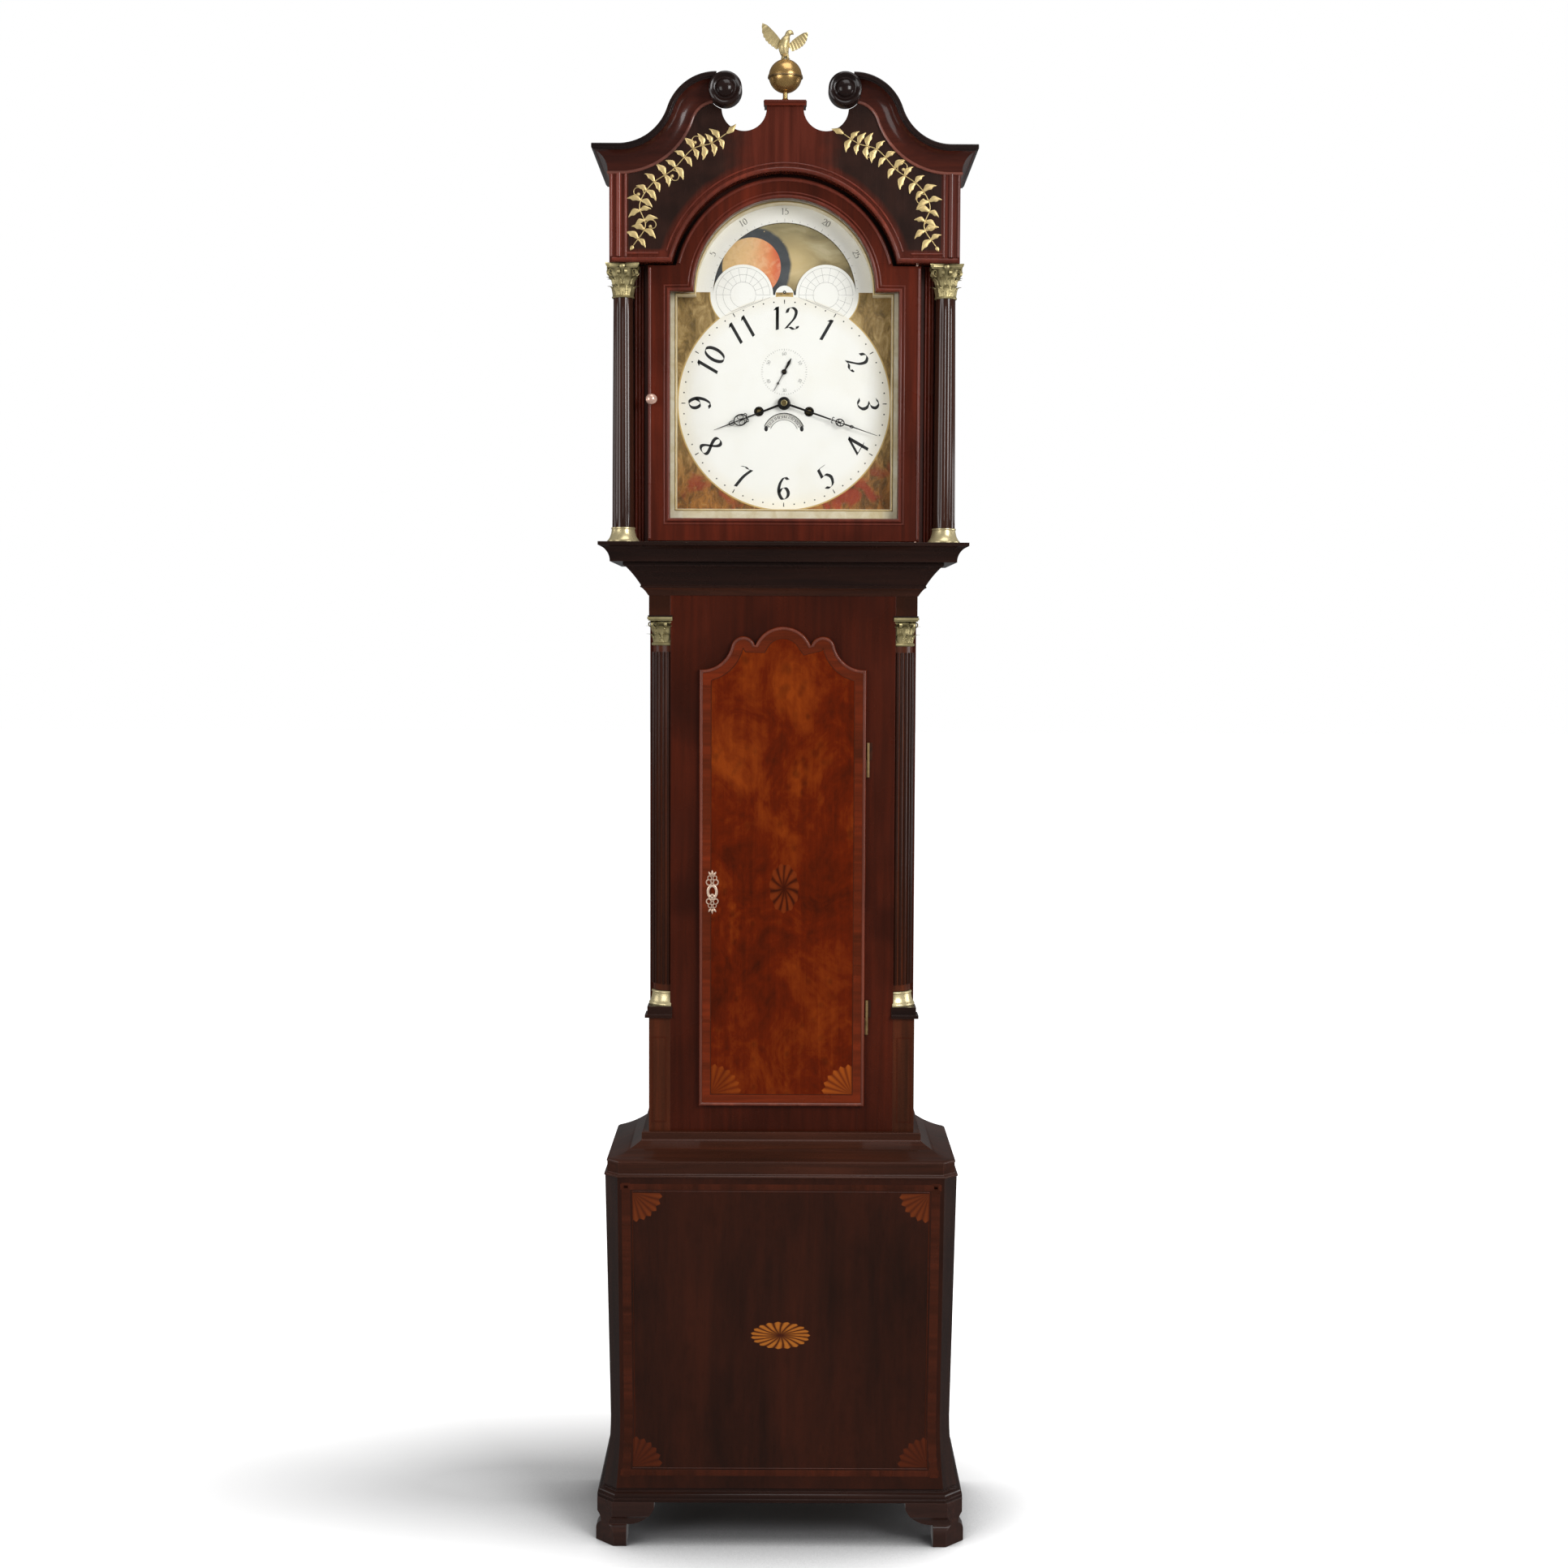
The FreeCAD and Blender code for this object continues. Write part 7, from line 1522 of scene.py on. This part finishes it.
caseTrim = {"half": 0.2025, "cant": 0.020, "back": edge("backboard", 1, 1)}
caseCourses = {  # closed profiles of (reach, height): finish, the node replaced, whether it turns the cants, profile
    "throatCourses": (darkWoodAcross, "throat_moulding", False, [
        (-0.0004, 1.4474), (0.0104, 1.4474), (0.0122, 1.4482), (0.0127, 1.4494), (0.0120, 1.4505),
        *arcPoints((0.0114, 1.4510), (0.0335, 1.4790), -0.14, 12), (0.0352, 1.4790), (0.0352, 1.4802),
        (0.0370, 1.4802), (0.0370, 1.4850), (-0.0004, 1.4850)]),
    "throatFascia": (waistWood, "throat_moulding", False, [
        (-0.0004, 1.4362), (0.0012, 1.4362), *arcPoints((0.0018, 1.4372), (0.0104, 1.4476), -0.04, 8),
        (-0.0004, 1.4476)]),
    "waistCourses": (waistWood, "waist_moulding", True, [
        (-0.0004, 0.5620), (0.0650, 0.5620), (0.0650, 0.5640), (0.0640, 0.5652), (0.0614, 0.5658), (0.0604, 0.5668),
        (0.0604, 0.5824), (0.0612, 0.5832), (0.0614, 0.5844), (0.0606, 0.5856), (0.0590, 0.5864),
        *arcPoints((0.0575, 0.5872), (0.0112, 0.6070), -0.12, 16), (0.0112, 0.6076), (0.0105, 0.6084),
        (0.0105, 0.6180), (0.0098, 0.6194), (0.0080, 0.6200), (-0.0004, 0.6200)]),
    "skirtCourses": (darkWoodAcross, "base_skirt_moulding", True, [
        (0.0450, 0.0670), (0.0755, 0.0670), (0.0755, 0.0715),
        *arcPoints((0.0742, 0.0722), (0.0690, 0.0800), 0.0065, 10), (0.0675, 0.0806), (0.0675, 0.0825),
        (0.0655, 0.0832), (0.0655, 0.0860), (0.0450, 0.0860)]),
}


def courseRun(profile, canted):
    # each (reach, height) of a closed profile is carried along the case's sides and front, mitred at the corners
    # or the cants
    reach, level = np.array(profile, float).T
    side, front, back = caseTrim["half"] + reach, trunkFront - reach, np.full_like(reach, caseTrim["back"])
    plan = [(-side, back), (-side, front), (side, front), (side, back)]
    if canted:
        slant = (reach - baseTrim["topReach"]) * cantSlope + baseTrim["topReach"] - caseTrim["cant"]
        turnX, turnY = caseTrim["half"] + np.minimum(reach, slant), trunkFront - np.minimum(reach, slant)
        plan = [(-side, back), (-side, turnY), (-turnX, front), (turnX, front), (side, turnY), (side, back)]
    return tubeShape(np.stack([np.stack([x, y, level], -1) for x, y in plan]))


for name, (finish, nodeName, canted, profile) in caseCourses.items():
    addPiece(name, [courseRun(profile, canted)], finish, "case", (nodeName,), sharp=28)
print("mouldings run")

gutTrim = {"turns": 19, "around": 10, "tip": 0.0001}
weightTrim = {"going": "right_weight", "strike": "left_weight"}
bandTrim = {"inner": 0.0309, "outer": 0.0318, "levels": (0.008, 0.192)}


def makeMovementTrim():
    # turned rings on the bob's face and a band near each end of the weights
    bobX, bobZ, bobFront = middleOf("pendulum_bob", 0), middleOf("pendulum_bob", 2), edge("pendulum_bob", 1, 0)
    rings = []
    for r in (0.016, 0.036):
        profile = [(r, -0.0012), (r + 0.0012, 0.0002), (r + 0.0030, 0.0003), (r + 0.0042, -0.0012)]
        rings.append(lathe(profile, (bobX, bobFront + 0.0150 * (r / 0.06) ** 2, bobZ), 72, "y"))
    addPiece("bobTurning", rings, castBrass, "pendulum")
    inner, outer = bandTrim["inner"], bandTrim["outer"]
    profile = [(inner, -0.0030), (outer, -0.0012), (outer, 0.0012), (inner, 0.0030)]
    for side, weight in weightTrim.items():
        node = side + "_weight"
        x, y, foot = middleOf(node, 0), middleOf(node, 1), edge(node, 2, 0)
        bands = [lathe(profile, (x, y, foot + z), 64) for z in bandTrim["levels"]]
        addPiece(side + "WeightBands", bands, castBrass, weight)
    print("movement dressed")


def makeGutLines():
    # one tube down a strand, round the half ring under the pulley and up the other strand
    for side, weight in weightTrim.items():
        low, high = (np.array(corner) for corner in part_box(side + "_line"))
        middle, thick = (low + high) / 2, (high[1] - low[1]) / 2
        reach = (high[0] - low[0]) / 2 - thick
        turn = np.linspace(math.pi, math.tau, gutTrim["turns"])
        across = np.concatenate([[-reach] * 2, reach * np.cos(turn), [reach] * 2])
        up = np.concatenate([high[2] - np.array([0, gutTrim["tip"]]), low[2] + reach * np.sin(turn),
                             high[2] - np.array([gutTrim["tip"], 0])])
        route = np.stack([middle[0] + across, np.full(len(up), middle[1]), up], 1)
        radii = np.full(len(up), thick)
        radii[[0, -1]] = 0
        ends = [(middle[0], middle[1], level) for level in (high[2], low[2])]
        addPiece(side + "GutLine", [bodyOfRings(route, radii, gutTrim["around"])], gutFinish, "case",
                 stands=(side + "_line",), stretch=(weight, *ends))
    print("gut lines hung")


makeMovementTrim()
makeGutLines()

stageSetup = {"camera": (0.0022, -3.4285, 1.368), "pitch": 3.663, "roll": 0.0040, "lens": 36 * 2749 / 1932,
              "floorHalf": 30, "aim": (0, 0, 1.1)}
stageLamps = {"keyPanel": ((1.9, -2.6, 2.5), 66, 1.4), "fillPanel": ((-2.3, -2.5, 1.9), 30, 1.6),
              "topPanel": ((0.4, -1.0, 4.2), 27, 1.8), "sidePanel": ((2.5, 0.25, 1.3), 16, 1.1),
              "farPanel": ((-2.6, 0.15, 1.6), 7, 1.1)}  # where, power, size


def paperFinish():
    # pale paper with a painted shadow: its colour darkens where the clock hems it in, and the glow the camera sees is
    # held down near the clock and in a wedge to its left and behind it, rising to white away from it
    paper, tree, shader = newFinish("studioPaper")
    across, depth, _ = spotOf(tree)
    paintedShadowReach = distance(times(plus(across, 0.40), 0.85), times(minus(depth, 0.12), 2.0))
    # painted shadow: occlusion near the clock darkens the paper's colour and holds down its glow
    clear = openness(tree, 8, 0.45)
    sheet = blendTones(cloud(tree, 30, 3), (0.80, 0.80, 0.80), (0.82, 0.82, 0.82))
    seen = put(tree, "ShaderNodeLightPath").outputs["Is Camera Ray"]
    # painted shadow in the camera's glow: almost none left of and behind the clock, rising to white with distance
    lift = times(step(clear, 0.40, 0.95), plus(0.02, times(step(paintedShadowReach, 0.15, 1.0), 0.98)))
    feed(shader, Base_Color=blendTones(step(clear, 0.30, 0.90), (0.16, 0.16, 0.165), sheet), Roughness=0.9,
         Emission_Color=(1.0, 1.0, 1.0), Emission_Strength=times(seen, lift))
    return paper


def makeStage():
    scene, half = bpy.context.scene, stageSetup["floorHalf"]
    mesh = bpy.data.meshes.new("floorMesh")
    mesh.from_pydata([(-half, -half, 0), (half, -half, 0), (half, half, 0), (-half, half, 0)], [], [[0, 1, 2, 3]])
    mesh.materials.append(paperFinish())
    floor = bpy.data.objects.new("studioFloor", mesh)
    scene.collection.objects.link(floor)
    floor.visible_glossy = False
    scene.world = bpy.data.worlds.new("studioWorld")
    scene.world.use_nodes = True
    tree = scene.world.node_tree
    sky = next(item for item in tree.nodes if item.type == "BACKGROUND")
    seen = put(tree, "ShaderNodeLightPath").outputs
    rays = calc("MAXIMUM", seen["Is Camera Ray"], seen["Is Transmission Ray"])
    soft = minus(0.34, times(seen["Is Glossy Ray"], 0.20))
    feed(sky, Color=(1, 1, 1), Strength=plus(soft, times(rays, 0.66)))
    for name, (spot, power, width) in stageLamps.items():
        lamp = bpy.data.lights.new(name, "AREA")
        lamp.energy = power
        lamp.size = width
        holder = bpy.data.objects.new(name, lamp)
        scene.collection.objects.link(holder)
        holder.location = spot
        holder.rotation_euler = (Vector(spot) - Vector(stageSetup["aim"])).to_track_quat("Z", "Y").to_euler()
    lens = bpy.data.cameras.new("photoCamera")
    lens.sensor_width = 36
    lens.lens = stageSetup["lens"]
    camera = bpy.data.objects.new("photoCamera", lens)
    scene.collection.objects.link(camera)
    tilt = Matrix.Rotation(math.radians(90 - stageSetup["pitch"]), 4, "X")
    roll = Matrix.Rotation(stageSetup["roll"], 4, "Z")
    camera.matrix_world = Matrix.Translation(stageSetup["camera"]) @ tilt @ roll
    scene.camera = camera
    scene.view_settings.view_transform = "Standard"
    print("stage lit")


makeStage()
